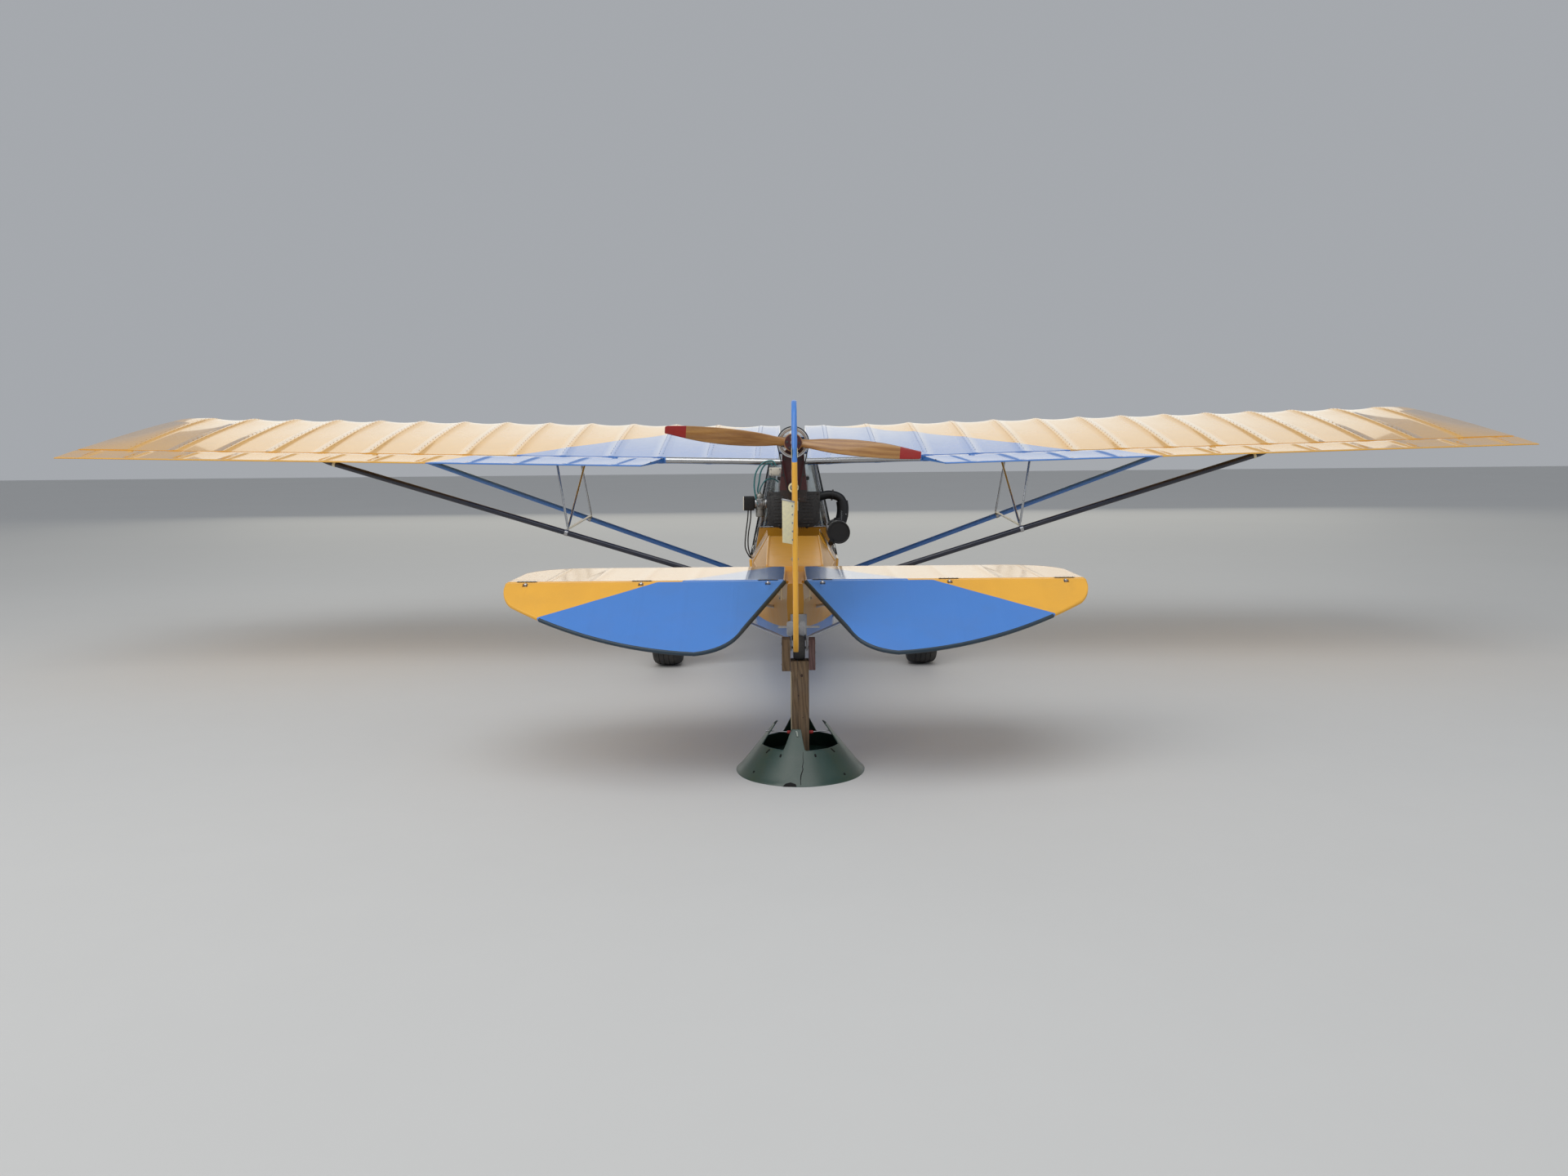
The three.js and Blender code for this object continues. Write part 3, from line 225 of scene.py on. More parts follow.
def hoop(inner: float, outer: float, high: float) -> list[Pair]:
    """Gives the profile of a plain ring."""
    return [(inner, 0), (outer, 0), (outer, high), (inner, high)]


def around(count: int, radius: float = 1.0) -> list[Pair]:
    """Gives points evenly spaced round a circle."""
    return [
        (radius * cos(TURN * index / count), radius * sin(TURN * index / count)) for index in range(count)
    ]


def skin(
    place: Callable[[int, int], Vector], across: int, along: int, wrap: bool = False, caps: bool = False
) -> BMesh:
    """Shapes a grid into a surface, a tube or a closed body.

    Args:
        place: gives the place of a column and row of the grid.
        across: number of faces across.
        along: number of faces along.
        wrap: whether the last column lies on the first.
        caps: whether open ends are filled.

    Returns:
        The new mesh.
    """
    part = bmesh.new()
    bmesh.ops.create_grid(part, x_segments=across, y_segments=along, size=1.0)
    for vert in part.verts:
        column = round((vert.co.x + 1) / 2 * across)
        row = round((vert.co.y + 1) / 2 * along)
        vert.co = place(column % across if wrap else column, row)
    if wrap:
        bmesh.ops.remove_doubles(part, verts=part.verts[:], dist=SAME_SPOT)
    if caps:
        edges = [edge for edge in part.edges if edge.is_boundary]
        bmesh.ops.holes_fill(part, edges=edges, sides=0)
    bmesh.ops.recalc_face_normals(part, faces=part.faces[:])
    return part


def lofted(rows: Sequence[Row], caps: bool = True) -> BMesh:
    """Joins closed rows of points into a body.

    Args:
        rows: rings of the same number of points.
        caps: whether both ends are filled.

    Returns:
        The new mesh.
    """
    return skin(lambda column, row: rows[row][column], len(rows[0]), len(rows) - 1, wrap=True, caps=caps)


def looped(rows: Sequence[Row]) -> BMesh:
    """Joins closed rows of points into a ring-shaped body.

    Args:
        rows: rings of the same number of points.

    Returns:
        The new mesh.
    """
    part = lofted([*rows, rows[0]], caps=False)
    bmesh.ops.remove_doubles(part, verts=part.verts[:], dist=SAME_SPOT)
    bmesh.ops.recalc_face_normals(part, faces=part.faces[:])
    return part


def smooth_path(points: Sequence[Vector], steps: int = 6) -> list[Vector]:
    """Runs a smooth curve through points.

    Args:
        points: the places that it passes.
        steps: number of steps between two of them.

    Returns:
        The points of the curve.
    """
    ends = [points[0] * 2 - points[1], *points, points[-1] * 2 - points[-2]]
    path = []
    for a, b, c, d in zip(ends, ends[1:], ends[2:], ends[3:]):
        for step in range(steps):
            t = step / steps
            path.append(
                (
                    b * 2 + (c - a) * t + (a * 2 - b * 5 + c * 4 - d) * t * t + (b * 3 - a - c * 3 + d) * t**3
                ) / 2
            )
    path.append(points[-1].copy())
    return path


def tube(
    path: Sequence[Vector], radius: float, sides: int = 12, radii: Sequence[float] | None = None
) -> BMesh:
    """Sweeps a round section along a path.

    Args:
        path: the points of its centre line.
        radius: its radius in metres.
        sides: number of faces round it.
        radii: radius at each point instead, where it changes.

    Returns:
        The new mesh.
    """
    sizes = radii or [radius] * len(path)
    rows = []
    normal = None
    for index, centre in enumerate(path):
        tangent = (path[min(index + 1, len(path) - 1)] - path[max(index - 1, 0)]).normalized()
        if normal is None:
            normal = tangent.orthogonal().normalized()
        normal = (normal - tangent * normal.dot(tangent)).normalized()
        other = tangent.cross(normal)
        rows.append([centre + (normal * a + other * b) * sizes[index] for a, b in around(sides)])
    return lofted(rows)


def plate(outline: Iterable[Pair], depth: float, bevel: float = 0.0) -> BMesh:
    """Pulls a flat outline in XY up to a thickness.

    Args:
        outline: the corners in metres.
        depth: thickness along Z.
        bevel: width of the edge rounding.

    Returns:
        The new mesh.
    """
    part = bmesh.new()
    face = part.faces.new([part.verts.new((x, y, 0.0)) for x, y in outline])
    grown = bmesh.ops.extrude_face_region(part, geom=[face], use_keep_orig=True)
    risen = [item for item in grown["geom"] if isinstance(item, bmesh.types.BMVert)]
    bmesh.ops.translate(part, vec=(0, 0, depth), verts=risen)
    bmesh.ops.recalc_face_normals(part, faces=part.faces[:])
    return rounded(part, bevel) if bevel else part


def round_outline(half_wide: float, half_high: float, corner: float, steps: int = 5) -> list[Pair]:
    """Gives the outline of a rectangle with round corners.

    Args:
        half_wide: half its width.
        half_high: half its height.
        corner: radius of its corners.
        steps: number of steps in a corner.

    Returns:
        The corners in order.
    """
    outline = []
    for quarter in range(4):
        middle = TURN * (quarter / 4 + 1 / 8)
        centre = (
            copysign(half_wide - corner, cos(middle)),
            copysign(half_high - corner, sin(middle)),
        )
        for step in range(steps + 1):
            angle = TURN / 4 * (quarter + step / steps)
            outline.append((centre[0] + corner * cos(angle), centre[1] + corner * sin(angle)))
    return outline


def bolt(origin: Vector, axis: Vector, size: float) -> BMesh:
    """Makes a hexagon bolt head on a washer.

    Args:
        origin: the place on the surface.
        axis: the direction that it stands out.
        size: radius of its head in metres.

    Returns:
        The new mesh.
    """
    part = turned(peg(size * 1.5, size * 0.25), steps=14)
    bmesh.ops.create_cone(
        part, cap_ends=True, segments=6, radius1=size, radius2=size * 0.94, depth=size * 0.9,
        matrix=Matrix.Translation((0, 0, size * 0.7)),
    )
    bmesh.ops.transform(part, matrix=frame_on(origin, axis), verts=part.verts[:])
    return part


def eye(radius: float, bevel: float) -> BMesh:
    """Makes the round eye of a hinge lug, bored for its pin."""
    bore, half = 0.0043, 0.004
    return rounded(turned([(bore, -half), (radius, -half), (radius, half), (bore, half)], 20), bevel)


class Shape:
    """A mesh that grows part by part in the CAD frame."""

    def __init__(self) -> None:
        """Starts empty."""
        self.mesh = bmesh.new()

    def add(self, part: BMesh, place: Matrix | None = None, finish: int = 0) -> Shape:
        """Takes a part in.

        Args:
            part: the part, which is used up.
            place: where it goes, or nothing where it is in place.
            finish: which of the piece's finishes it has.

        Returns:
            This shape.
        """
        if place is not None:
            bmesh.ops.transform(part, matrix=place, verts=part.verts[:])
            if place.determinant() < 0:
                bmesh.ops.reverse_faces(part, faces=part.faces[:])
        for face in part.faces:
            face.material_index = finish
        holder = bpy.data.meshes.new("part")
        part.to_mesh(holder)
        part.free()
        self.mesh.from_mesh(holder)
        bpy.data.meshes.remove(holder)
        return self

    def turn(
        self, profile: Sequence[Pair], origin: Vector, axis: Vector, steps: int = 32, finish: int = 0
    ) -> Shape:
        """Adds a turned part.

        Args:
            profile: its pairs of radius and height in metres.
            origin: where its foot stands.
            axis: the direction that it stands along.
            steps: number of steps in the full turn.
            finish: which of the piece's finishes it has.

        Returns:
            This shape.
        """
        return self.add(turned(profile, steps), frame_on(origin, axis), finish)

    def box(self, low: Vector, high: Vector, bevel: float = 0.0, finish: int = 0, segments: int = 2) -> Shape:
        """Adds a box.

        Args:
            low: lowest corner.
            high: highest corner.
            bevel: width of the edge rounding in metres.
            finish: which of the piece's finishes it has.
            segments: strips in the rounding.

        Returns:
            This shape.
        """
        return self.add(block(low, high, bevel, segments), finish=finish)

    def bolt(self, origin: Vector, axis: Vector, size: float, finish: int = 0) -> Shape:
        """Adds a bolt head on its washer.

        Args:
            origin: the place on the surface.
            axis: the direction that it stands out.
            size: radius of its head in metres.
            finish: which of the piece's finishes it has.

        Returns:
            This shape.
        """
        return self.add(bolt(origin, axis, size), finish=finish)

    def piece(
        self, name: str, finishes: Sequence[Finish], slot: str, replaces: Sequence[str] = (),
        angle: float = 34.0, body: str = "airframe",
    ) -> bpy.types.Object:
        """Makes the finished piece that rides on a body.

        Args:
            name: name of the piece.
            finishes: its finishes in the order of its parts.
            slot: the record's material slot; not used.
            replaces: the CAD nodes that it stands for.
            angle: edges sharper than this, in degrees, stay sharp in the shading.
            body: the CAD body that carries it.

        Returns:
            The piece.
        """
        mesh = bpy.data.meshes.new(name)
        self.mesh.to_mesh(mesh)
        self.mesh.free()
        for finish in finishes:
            mesh.materials.append(finish.material())
        mesh.polygons.foreach_set("use_smooth", [True] * len(mesh.polygons))
        mesh.set_sharp_from_angle(angle=radians(angle))
        piece = bpy.data.objects.new(name, mesh)
        bpy.context.scene.collection.objects.link(piece)
        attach(piece, body)
        if replaces:
            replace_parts(piece, *replaces)
        LOG.info("%s: %d faces on %s", name, len(mesh.polygons), body)
        return piece


def merged_copy(node: str, bevel: float = 0.0, segments: int = 2, angle: float = 34.0) -> BMesh:
    """Copies a CAD node's mesh, merged, with its flat faces made whole and its edges rounded.

    Args:
        node: name of the CAD node.
        bevel: width of the edge rounding in metres.
        segments: strips in the rounding.
        angle: the least angle that is rounded, in degrees.

    Returns:
        The new mesh.
    """
    part = bmesh.new()
    part.from_mesh(frame["nodes"][node].data)
    bmesh.ops.remove_doubles(part, verts=part.verts[:], dist=2e-5)
    bmesh.ops.dissolve_limit(part, angle_limit=radians(1.0), verts=part.verts[:], edges=part.edges[:])
    if bevel:
        rounded(part, bevel, segments, angle)
    return part


# Finishes


class Graph:
    """Adds and joins the nodes of one shader tree."""

    def __init__(self, tree: Tree) -> None:
        """Holds the tree that it works on."""
        self.tree = tree

    def add(self, kind: str, inputs: dict | None = None, **settings: object) -> Node:
        """Adds a node.

        Args:
            kind: the node's type.
            inputs: values or sockets by input name or number.
            settings: properties of the node.

        Returns:
            The node.
        """
        node = self.tree.nodes.new(kind)
        for key, value in settings.items():
            setattr(node, key, value)
        for key, value in (inputs or {}).items():
            if isinstance(value, Socket):
                self.tree.links.new(value, node.inputs[key])
            else:
                node.inputs[key].default_value = value
        return node

    def maths(self, operation: str, first: object, second: object = 0.0, clamp: bool = False) -> Socket:
        """Adds one sum.

        Args:
            operation: name of the operation.
            first: first value or socket.
            second: second value or socket.
            clamp: whether the result stays from 0 to 1.

        Returns:
            The result's socket.
        """
        return self.add(
            "ShaderNodeMath", {0: first, 1: second}, operation=operation, use_clamp=clamp
        ).outputs[0]

    def spot(self) -> Socket:
        """Gives the place in the piece's own coordinates."""
        return self.add("ShaderNodeTexCoord").outputs["Object"]

    def noise(self, place: Socket, size: object, detail: float) -> Socket:
        """Adds noise of a size and a detail and gives its values."""
        return self.add(
            "ShaderNodeTexNoise", {"Vector": place, "Scale": size, "Detail": detail}
        ).outputs["Fac"]

    def mixed(self, share: Socket, first: Socket, second: Socket) -> Socket:
        """Mixes two colours by a share."""
        return self.add("ShaderNodeMix", {0: share, 6: first, 7: second}, data_type="RGBA").outputs[2]

    def weighed(self, first: Socket, part: float, second: Socket, rest: float, clamp: bool = False) -> Socket:
        """Adds two values up, each times its weight."""
        return self.maths(
            "ADD", self.maths("MULTIPLY", first, part), self.maths("MULTIPLY", second, rest), clamp
        )

    def vector(self, operation: str, first: object, second: object = (0.0, 0.0, 0.0)) -> Node:
        """Adds one vector sum.

        Args:
            operation: name of the operation.
            first: first vector or socket.
            second: second vector or socket.

        Returns:
            The node.
        """
        return self.add("ShaderNodeVectorMath", {0: first, 1: second}, operation=operation)


class Effect(Enum):
    """The node groups that several finishes share."""

    TWO_TONE = "two_tone"
    UNEVEN = "uneven_colour"
    FINE = "fine_surface"
    WEAVE = "woven_threads"
    GRAIN = "wood_grain"
    WEAR = "edge_wear"
    GRIME = "settled_grime"

    def group(self) -> Tree:
        """Gives the effect's node group, which is built at its first use."""
        return bpy.data.node_groups.get(self.value) or EFFECT_MAKERS[self](self.value)


def new_group(name: str, inputs: Iterable[tuple[str, str]], outputs: Iterable[tuple[str, str]]) -> tuple:
    """Starts a node group.

    Args:
        name: name of the group.
        inputs: names and kinds of its inputs.
        outputs: names and kinds of its outputs.

    Returns:
        The graph, the input sockets by name and the output node.
    """
    tree = bpy.data.node_groups.new(name, "ShaderNodeTree")
    for direction, sockets in (("INPUT", inputs), ("OUTPUT", outputs)):
        for label, kind in sockets:
            tree.interface.new_socket(label, in_out=direction, socket_type=f"NodeSocket{kind}")
    graph = Graph(tree)
    taken = graph.add("NodeGroupInput").outputs
    return graph, taken, graph.add("NodeGroupOutput")


def give(graph: Graph, node: Node, **values: Socket) -> Tree:
    """Joins results to a group's outputs.

    Args:
        graph: the group's graph.
        node: its output node.
        values: sockets by output name.

    Returns:
        The finished group.
    """
    for label, socket in values.items():
        graph.tree.links.new(socket, node.inputs[label])
    return graph.tree


def two_tone(name: str) -> Tree:
    """Builds the straight border between two colours, the same on both sides of the aircraft."""
    graph, taken, out = new_group(
        name,
        [("First", "Color"), ("Second", "Color"), ("Across", "Vector"), ("Offset", "Float")],
        [("Colour", "Color"), ("Mask", "Float")],
    )
    spot = graph.spot()
    parts = graph.add("ShaderNodeSeparateXYZ", {0: spot}).outputs
    width = graph.maths("ABSOLUTE", parts[0])
    folded = graph.add("ShaderNodeCombineXYZ", {0: width, 1: parts[1], 2: parts[2]}).outputs[0]
    reach = graph.vector("DOT_PRODUCT", folded, taken["Across"]).outputs["Value"]
    past = graph.maths("SUBTRACT", reach, taken["Offset"])
    mask = graph.maths("MULTIPLY", past, BORDER_STEEPNESS, clamp=True)
    mixed = graph.mixed(mask, taken["First"], taken["Second"])
    return give(graph, out, Colour=mixed, Mask=mask)


def uneven_colour(name: str) -> Tree:
    """Builds slow changes of brightness and tint over a surface."""
    graph, taken, out = new_group(
        name, [("Colour", "Color"), ("Spread", "Float"), ("Size", "Float")], [("Colour", "Color")]
    )
    spot = graph.spot()
    broad = graph.noise(spot, taken["Size"], 5.0)
    close = graph.maths("MULTIPLY", taken["Size"], 9.0)
    small = graph.noise(spot, close, 3.0)
    both = graph.weighed(broad, 0.7, small, 0.3)
    swing = graph.maths("MULTIPLY", graph.maths("SUBTRACT", both, 0.5), taken["Spread"])
    value = graph.maths("ADD", graph.maths("MULTIPLY", swing, 2.4), 1.0)
    hue = graph.maths("ADD", graph.maths("MULTIPLY", swing, 0.06), 0.5)
    tinted = graph.add("ShaderNodeHueSaturation", {"Hue": hue, "Value": value, "Color": taken["Colour"]})
    return give(graph, out, Colour=tinted.outputs[0])


def fine_surface(name: str) -> Tree:
    """Builds a fine unevenness with its changes of gloss, stretched along the chosen axes."""
    graph, taken, out = new_group(
        name,
        [("Size", "Float"), ("Stretch", "Vector"), ("Rough", "Float"), ("Swing", "Float")],
        [("Height", "Float"), ("Rough", "Float")],
    )
    spot = graph.spot()
    drawn = graph.vector("MULTIPLY", spot, taken["Stretch"]).outputs[0]
    fine = graph.noise(drawn, taken["Size"], 4.0)
    slow = graph.maths("DIVIDE", taken["Size"], 24.0)
    broad = graph.noise(drawn, slow, 3.0)
    both = graph.weighed(fine, 0.5, broad, 0.5)
    swing = graph.maths("MULTIPLY", graph.maths("SUBTRACT", both, 0.5), taken["Swing"])
    rough = graph.maths("ADD", taken["Rough"], graph.maths("MULTIPLY", swing, 2.0), clamp=True)
    return give(graph, out, Height=fine, Rough=rough)


def woven_threads(name: str) -> Tree:
    """Builds the crossing threads of a cloth."""
    graph, taken, out = new_group(name, [("Threads", "Float")], [("Height", "Float")])
    spot = graph.spot()
    scaled = graph.vector("SCALE", spot)
    graph.tree.links.new(taken["Threads"], scaled.inputs["Scale"])
    waves = graph.vector("SINE", scaled.outputs[0]).outputs[0]
    parts = graph.add("ShaderNodeSeparateXYZ", {0: graph.vector("ABSOLUTE", waves).outputs[0]}).outputs
    pair = graph.maths("MULTIPLY", graph.maths("ADD", parts[0], parts[2]), graph.maths("ADD", parts[1], 0.4))
    return give(graph, out, Height=pair)


def wood_grain(name: str) -> Tree:
    """Builds grain lines with knots of darker wood along the stretched axis."""
    graph, taken, out = new_group(
        name,
        [("Light", "Color"), ("Dark", "Color"), ("Stretch", "Vector"), ("Lines", "Float")],
        [("Colour", "Color"), ("Height", "Float")],
    )
    spot = graph.spot()
    drawn = graph.vector("MULTIPLY", spot, taken["Stretch"]).outputs[0]
    bent = graph.add("ShaderNodeTexNoise", {"Vector": drawn, "Scale": 9.0, "Detail": 4.0}).outputs["Color"]
    moved = graph.vector(
        "ADD", drawn, graph.vector("MULTIPLY", bent, (0.16, 0.16, 0.16)).outputs[0]
    ).outputs[0]
    rings = graph.add(
        "ShaderNodeTexWave",
        {"Vector": moved, "Scale": taken["Lines"], "Distortion": 3.0, "Detail": 3.0, "Detail Scale": 2.0},
        wave_type="BANDS", bands_direction="DIAGONAL",
    ).outputs["Fac"]
    pores = graph.noise(moved, 160.0, 2.0)
    tone = graph.weighed(rings, 0.6, pores, 0.45, True)
    mixed = graph.mixed(tone, taken["Light"], taken["Dark"])
    return give(graph, out, Colour=mixed, Height=tone)


def edge_wear(name: str) -> Tree:
    """Builds the rubbed outer edges, broken up by noise."""
    graph, taken, out = new_group(
        name, [("Colour", "Color"), ("Worn", "Color"), ("Amount", "Float")],
        [("Colour", "Color"), ("Mask", "Float")]
    )
    spot = graph.spot()
    edge = graph.add("ShaderNodeNewGeometry").outputs["Pointiness"]
    sharp = graph.maths("MULTIPLY", graph.maths("SUBTRACT", edge, 0.53), 14.0, clamp=True)
    chips = graph.noise(spot, 90.0, 5.0)
    broken = graph.maths("MULTIPLY", graph.maths("SUBTRACT", chips, 0.42), 5.0, clamp=True)
    mask = graph.maths("MULTIPLY", graph.maths("MULTIPLY", sharp, broken), taken["Amount"])
    mixed = graph.mixed(mask, taken["Colour"], taken["Worn"])
    return give(graph, out, Colour=mixed, Mask=mask)


def settled_grime(name: str) -> Tree:
    """Builds dust and stains that gather in patches."""
    graph, taken, out = new_group(
        name, [("Colour", "Color"), ("Grime", "Color"), ("Amount", "Float")],
        [("Colour", "Color"), ("Mask", "Float")]
    )
    spot = graph.spot()
    patch = graph.noise(spot, 7.0, 6.0)
    speck = graph.noise(spot, 120.0, 2.0)
    both = graph.weighed(patch, 0.75, speck, 0.25)
    risen = graph.maths("MULTIPLY", graph.maths("SUBTRACT", both, 0.46), 5.0, clamp=True)
    mask = graph.maths("MULTIPLY", risen, taken["Amount"])
    mixed = graph.mixed(mask, taken["Colour"], taken["Grime"])
    return give(graph, out, Colour=mixed, Mask=mask)


EFFECT_MAKERS: dict[Effect, Callable[[str], Tree]] = {
    Effect.TWO_TONE: two_tone,
    Effect.UNEVEN: uneven_colour,
    Effect.FINE: fine_surface,
    Effect.WEAVE: woven_threads,
    Effect.GRAIN: wood_grain,
    Effect.WEAR: edge_wear,
    Effect.GRIME: settled_grime,
}


@dataclass(frozen=True)
class Border:
    """A straight colour border: past the offset along its direction the second colour begins."""

    colour: Colour
    across: Triple
    offset: float


@dataclass(frozen=True)
class Finish:
    """One surface finish: its colours, its gloss, its fine relief and how it has aged."""

    name: str
    colour: Colour
    rough: float = 0.4
    metallic: float = 0.0
    coat: float = 0.0
    coat_rough: float = 0.08
    spread: float = 0.12
    patch: float = 3.0
    swing: float = 0.1
    relief: float = 0.00008
    fine: float = 420.0
    stretch: Triple = (1.0, 1.0, 1.0)
    threads: float = 0.0
    borders: tuple[Border, ...] = ()
    grain: Colour | None = None
    lines: float = 24.0
    wear: float = 0.0
    worn: Colour = (0.45, 0.44, 0.42)
    grime: float = 0.08
    dirt: Colour = (0.16, 0.13, 0.1)
    clear: float = 0.0
    sheen: float = 0.0

    def material(self) -> bpy.types.Material:
        """Gives the finish's material, which is built at its first use."""
        name = f"{self.name}_finish"
        found = bpy.data.materials.get(name)
        if found:
            return found
        material = bpy.data.materials.new(name)
        material.use_nodes = True
        material.node_tree.nodes.clear()
        graph = Graph(material.node_tree)
        shader = self._shader(graph)
        out = graph.add("ShaderNodeOutputMaterial")
        graph.tree.links.new(shader.outputs[0], out.inputs["Surface"])
        return material

    def _shader(self, graph: Graph) -> Node:
        """Builds the shader of the finish.

        Args:
            graph: the material's graph.

        Returns:
            The shader node.
        """

        def effect(kind: Effect, inputs: dict) -> Node:
            """Places a shared effect."""
            return graph.add("ShaderNodeGroup", inputs, node_tree=kind.group())

        colour: object = (*self.colour, 1.0)
        for border in self.borders:
            sides = {
                "First": colour, "Second": (*border.colour, 1.0), "Across": border.across,
                "Offset": border.offset
            }
            colour = effect(Effect.TWO_TONE, sides).outputs["Colour"]
        fine = effect(
            Effect.FINE,
            {"Size": self.fine, "Stretch": self.stretch, "Rough": self.rough, "Swing": self.swing}
        )
        height = fine.outputs["Height"]
        if self.grain:
            wood = effect(
                Effect.GRAIN,
                {"Light": colour, "Dark": (*self.grain, 1.0), "Stretch": self.stretch, "Lines": self.lines},
            )
            colour, height = wood.outputs["Colour"], wood.outputs["Height"]
        if self.threads:
            height = effect(Effect.WEAVE, {"Threads": self.threads}).outputs["Height"]
        colour = effect(
            Effect.UNEVEN, {"Colour": colour, "Spread": self.spread, "Size": self.patch}
        ).outputs[0]
        if self.wear:
            colour = effect(
                Effect.WEAR, {"Colour": colour, "Worn": (*self.worn, 1.0), "Amount": self.wear}
            ).outputs["Colour"]
        if self.grime:
            colour = effect(
                Effect.GRIME, {"Colour": colour, "Grime": (*self.dirt, 1.0), "Amount": self.grime}
            ).outputs["Colour"]
        bump = graph.add("ShaderNodeBump", {"Strength": 1.0, "Distance": self.relief, "Height": height})
        return graph.add(
            "ShaderNodeBsdfPrincipled",
            {
                "Base Color": colour,
                "Roughness": fine.outputs["Rough"],
                "Metallic": self.metallic,
                "Coat Weight": self.coat,
                "Coat Roughness": self.coat_rough,
                "Transmission Weight": self.clear,
                "Sheen Weight": self.sheen,
                "Normal": bump.outputs[0],
            },
        )


YELLOW: Colour = (0.86, 0.435, 0.040)
# Yellow cloth darkened for the wing's shadow on the aft deck and the shade in the bay and on the rear
# bulkhead: painted shade
SHADED_YELLOW: Colour = (0.62, 0.29, 0.022)
BLUE: Colour = (0.06, 0.222, 0.64)
CREAM: Colour = (0.88, 0.80, 0.50)


def fabric(name: str, colour: Colour, *borders: Border, **changes: float) -> Finish:
    """Gives the finish of painted, doped cloth.

    Args:
        name: name of its material.
        colour: its first colour.
        borders: where its other colours begin.
        changes: values that differ from the usual ones.

    Returns:
        The finish.
    """
    usual = {"rough": 0.24, "coat": 1.0, "coat_rough": 0.05, "spread": 0.07, "patch": 1.6, "swing": 0.08}
    usual |= {"relief": 0.00002, "threads": 1300.0, "grime": 0.06}
    return Finish(name, colour, borders=borders, **(usual | changes))


WING_CLOTH = fabric("wing_cloth", BLUE, Border(YELLOW, (1.0, 1.356, 0.0), 1.843))
FLAPERON_CLOTH = fabric("flaperon_cloth", BLUE, Border(YELLOW, (1.0, 0.95, 0.0), 2.11))
STABILISER_CLOTH = fabric(
    "stabiliser_cloth", BLUE, Border(YELLOW, (1.0, 0.695, 0.0), -1.192), coat_rough=0.14
)
ELEVATOR_CLOTH = fabric(
    "elevator_cloth", BLUE, Border(YELLOW, (1.0, 2.16, 0.0), -4.732), coat=0.08, rough=0.5
)
FIN_CLOTH = fabric("fin_cloth", YELLOW, Border(BLUE, (0.0, -0.25, 1.0), 2.133), coat=0.25, rough=0.42)
# Upper part in painted shade: the wing's shadow on the deck
AFT_CLOTH = fabric(
    "aft_cloth", BLUE, Border(SHADED_YELLOW, (0.0, 0.1105, 1.0), 0.366), coat=0.22, coat_rough=0.2, rough=0.4
)
# Upper part in painted shade inside the bay
BAY_CLOTH = fabric("bay_cloth", BLUE, Border(SHADED_YELLOW, (0.0, 0.0, 1.0), 0.432), coat=0.4, coat_rough=0.12)
TUB_CLOTH = fabric("tub_cloth", BLUE, Border(YELLOW, (0.0, -0.08, 1.0), 0.436))
# The bulkhead cloth's yellow in painted shade
YELLOW_CLOTH = fabric("yellow_cloth", SHADED_YELLOW)
BLUE_PAINT = Finish("blue_paint", BLUE, rough=0.3, coat=0.5, wear=0.4, grime=0.1)
NAVY_PAINT = Finish("navy_paint", (0.006, 0.009, 0.026), rough=0.3, coat=0.45, wear=0.35, grime=0.1)
MAROON_PAINT = Finish(
    "maroon_paint", (0.062, 0.008, 0.010), rough=0.4, coat=0.25, wear=0.4, worn=(0.14, 0.045, 0.04),
    grime=0.35,
    dirt=(0.03, 0.02, 0.02), relief=0.0002, fine=180.0,
    # Below 1.205 m the paint turns nearly black
    borders=(Border((0.014, 0.012, 0.012), (0.0, 0.0, -1.0), -1.205),),
)
CREAM_PAINT = Finish("cream_paint", CREAM, rough=0.35, coat=0.3, wear=0.3, grime=0.08)
ALUMINIUM = Finish(
    "bare_aluminium", (0.52, 0.53, 0.54), rough=0.26, metallic=1.0, spread=0.08, stretch=(0.1, 1.0, 1.0),
    swing=0.14,
    fine=600.0, relief=0.00003, grime=0.14, dirt=(0.2, 0.19, 0.18),
)
STEEL = Finish(
    "plated_steel", (0.46, 0.46, 0.47), rough=0.32, metallic=1.0, swing=0.18, spread=0.12, fine=300.0,
    relief=0.00004,
    grime=0.2, dirt=(0.12, 0.08, 0.05),
)
CAST_BLACK = Finish(
    "cast_black", (0.014, 0.014, 0.015), rough=0.5, swing=0.16, spread=0.3, fine=520.0, relief=0.0005,
    wear=0.5,
    worn=(0.16, 0.15, 0.14), grime=0.3, dirt=(0.05, 0.042, 0.035),
)
CAST_GREY = Finish(
    "cast_grey", (0.24, 0.24, 0.235), rough=0.46, metallic=0.7, swing=0.2, spread=0.3, fine=420.0,
    relief=0.0004,
    wear=0.4, grime=0.5, dirt=(0.05, 0.042, 0.035),
)
EXHAUST_BLACK = Finish(
    "exhaust_black", (0.004, 0.0045, 0.006), rough=0.55, swing=0.2, spread=0.3, fine=160.0, relief=0.0003,
    wear=0.35, worn=(0.08, 0.07, 0.06), grime=0.1, dirt=(0.03, 0.026, 0.024),
)
TYRE_RUBBER = Finish(
    "tyre_rubber", (0.022, 0.022, 0.023), rough=0.78, swing=0.14, spread=0.2, fine=700.0, relief=0.0003,
    grime=0.4,
    dirt=(0.13, 0.115, 0.095),
)
BLACK_RUBBER = Finish("black_rubber", (0.006, 0.006, 0.007), rough=0.6, fine=600.0, relief=0.0001, grime=0.08)
BLACK_PLASTIC = Finish("black_plastic", (0.02, 0.02, 0.021), rough=0.42, fine=900.0, relief=0.0001, wear=0.3)
CREAM_PLASTIC = Finish("cream_plastic", (0.74, 0.70, 0.60), rough=0.45, fine=500.0, relief=0.0001, grime=0.18)
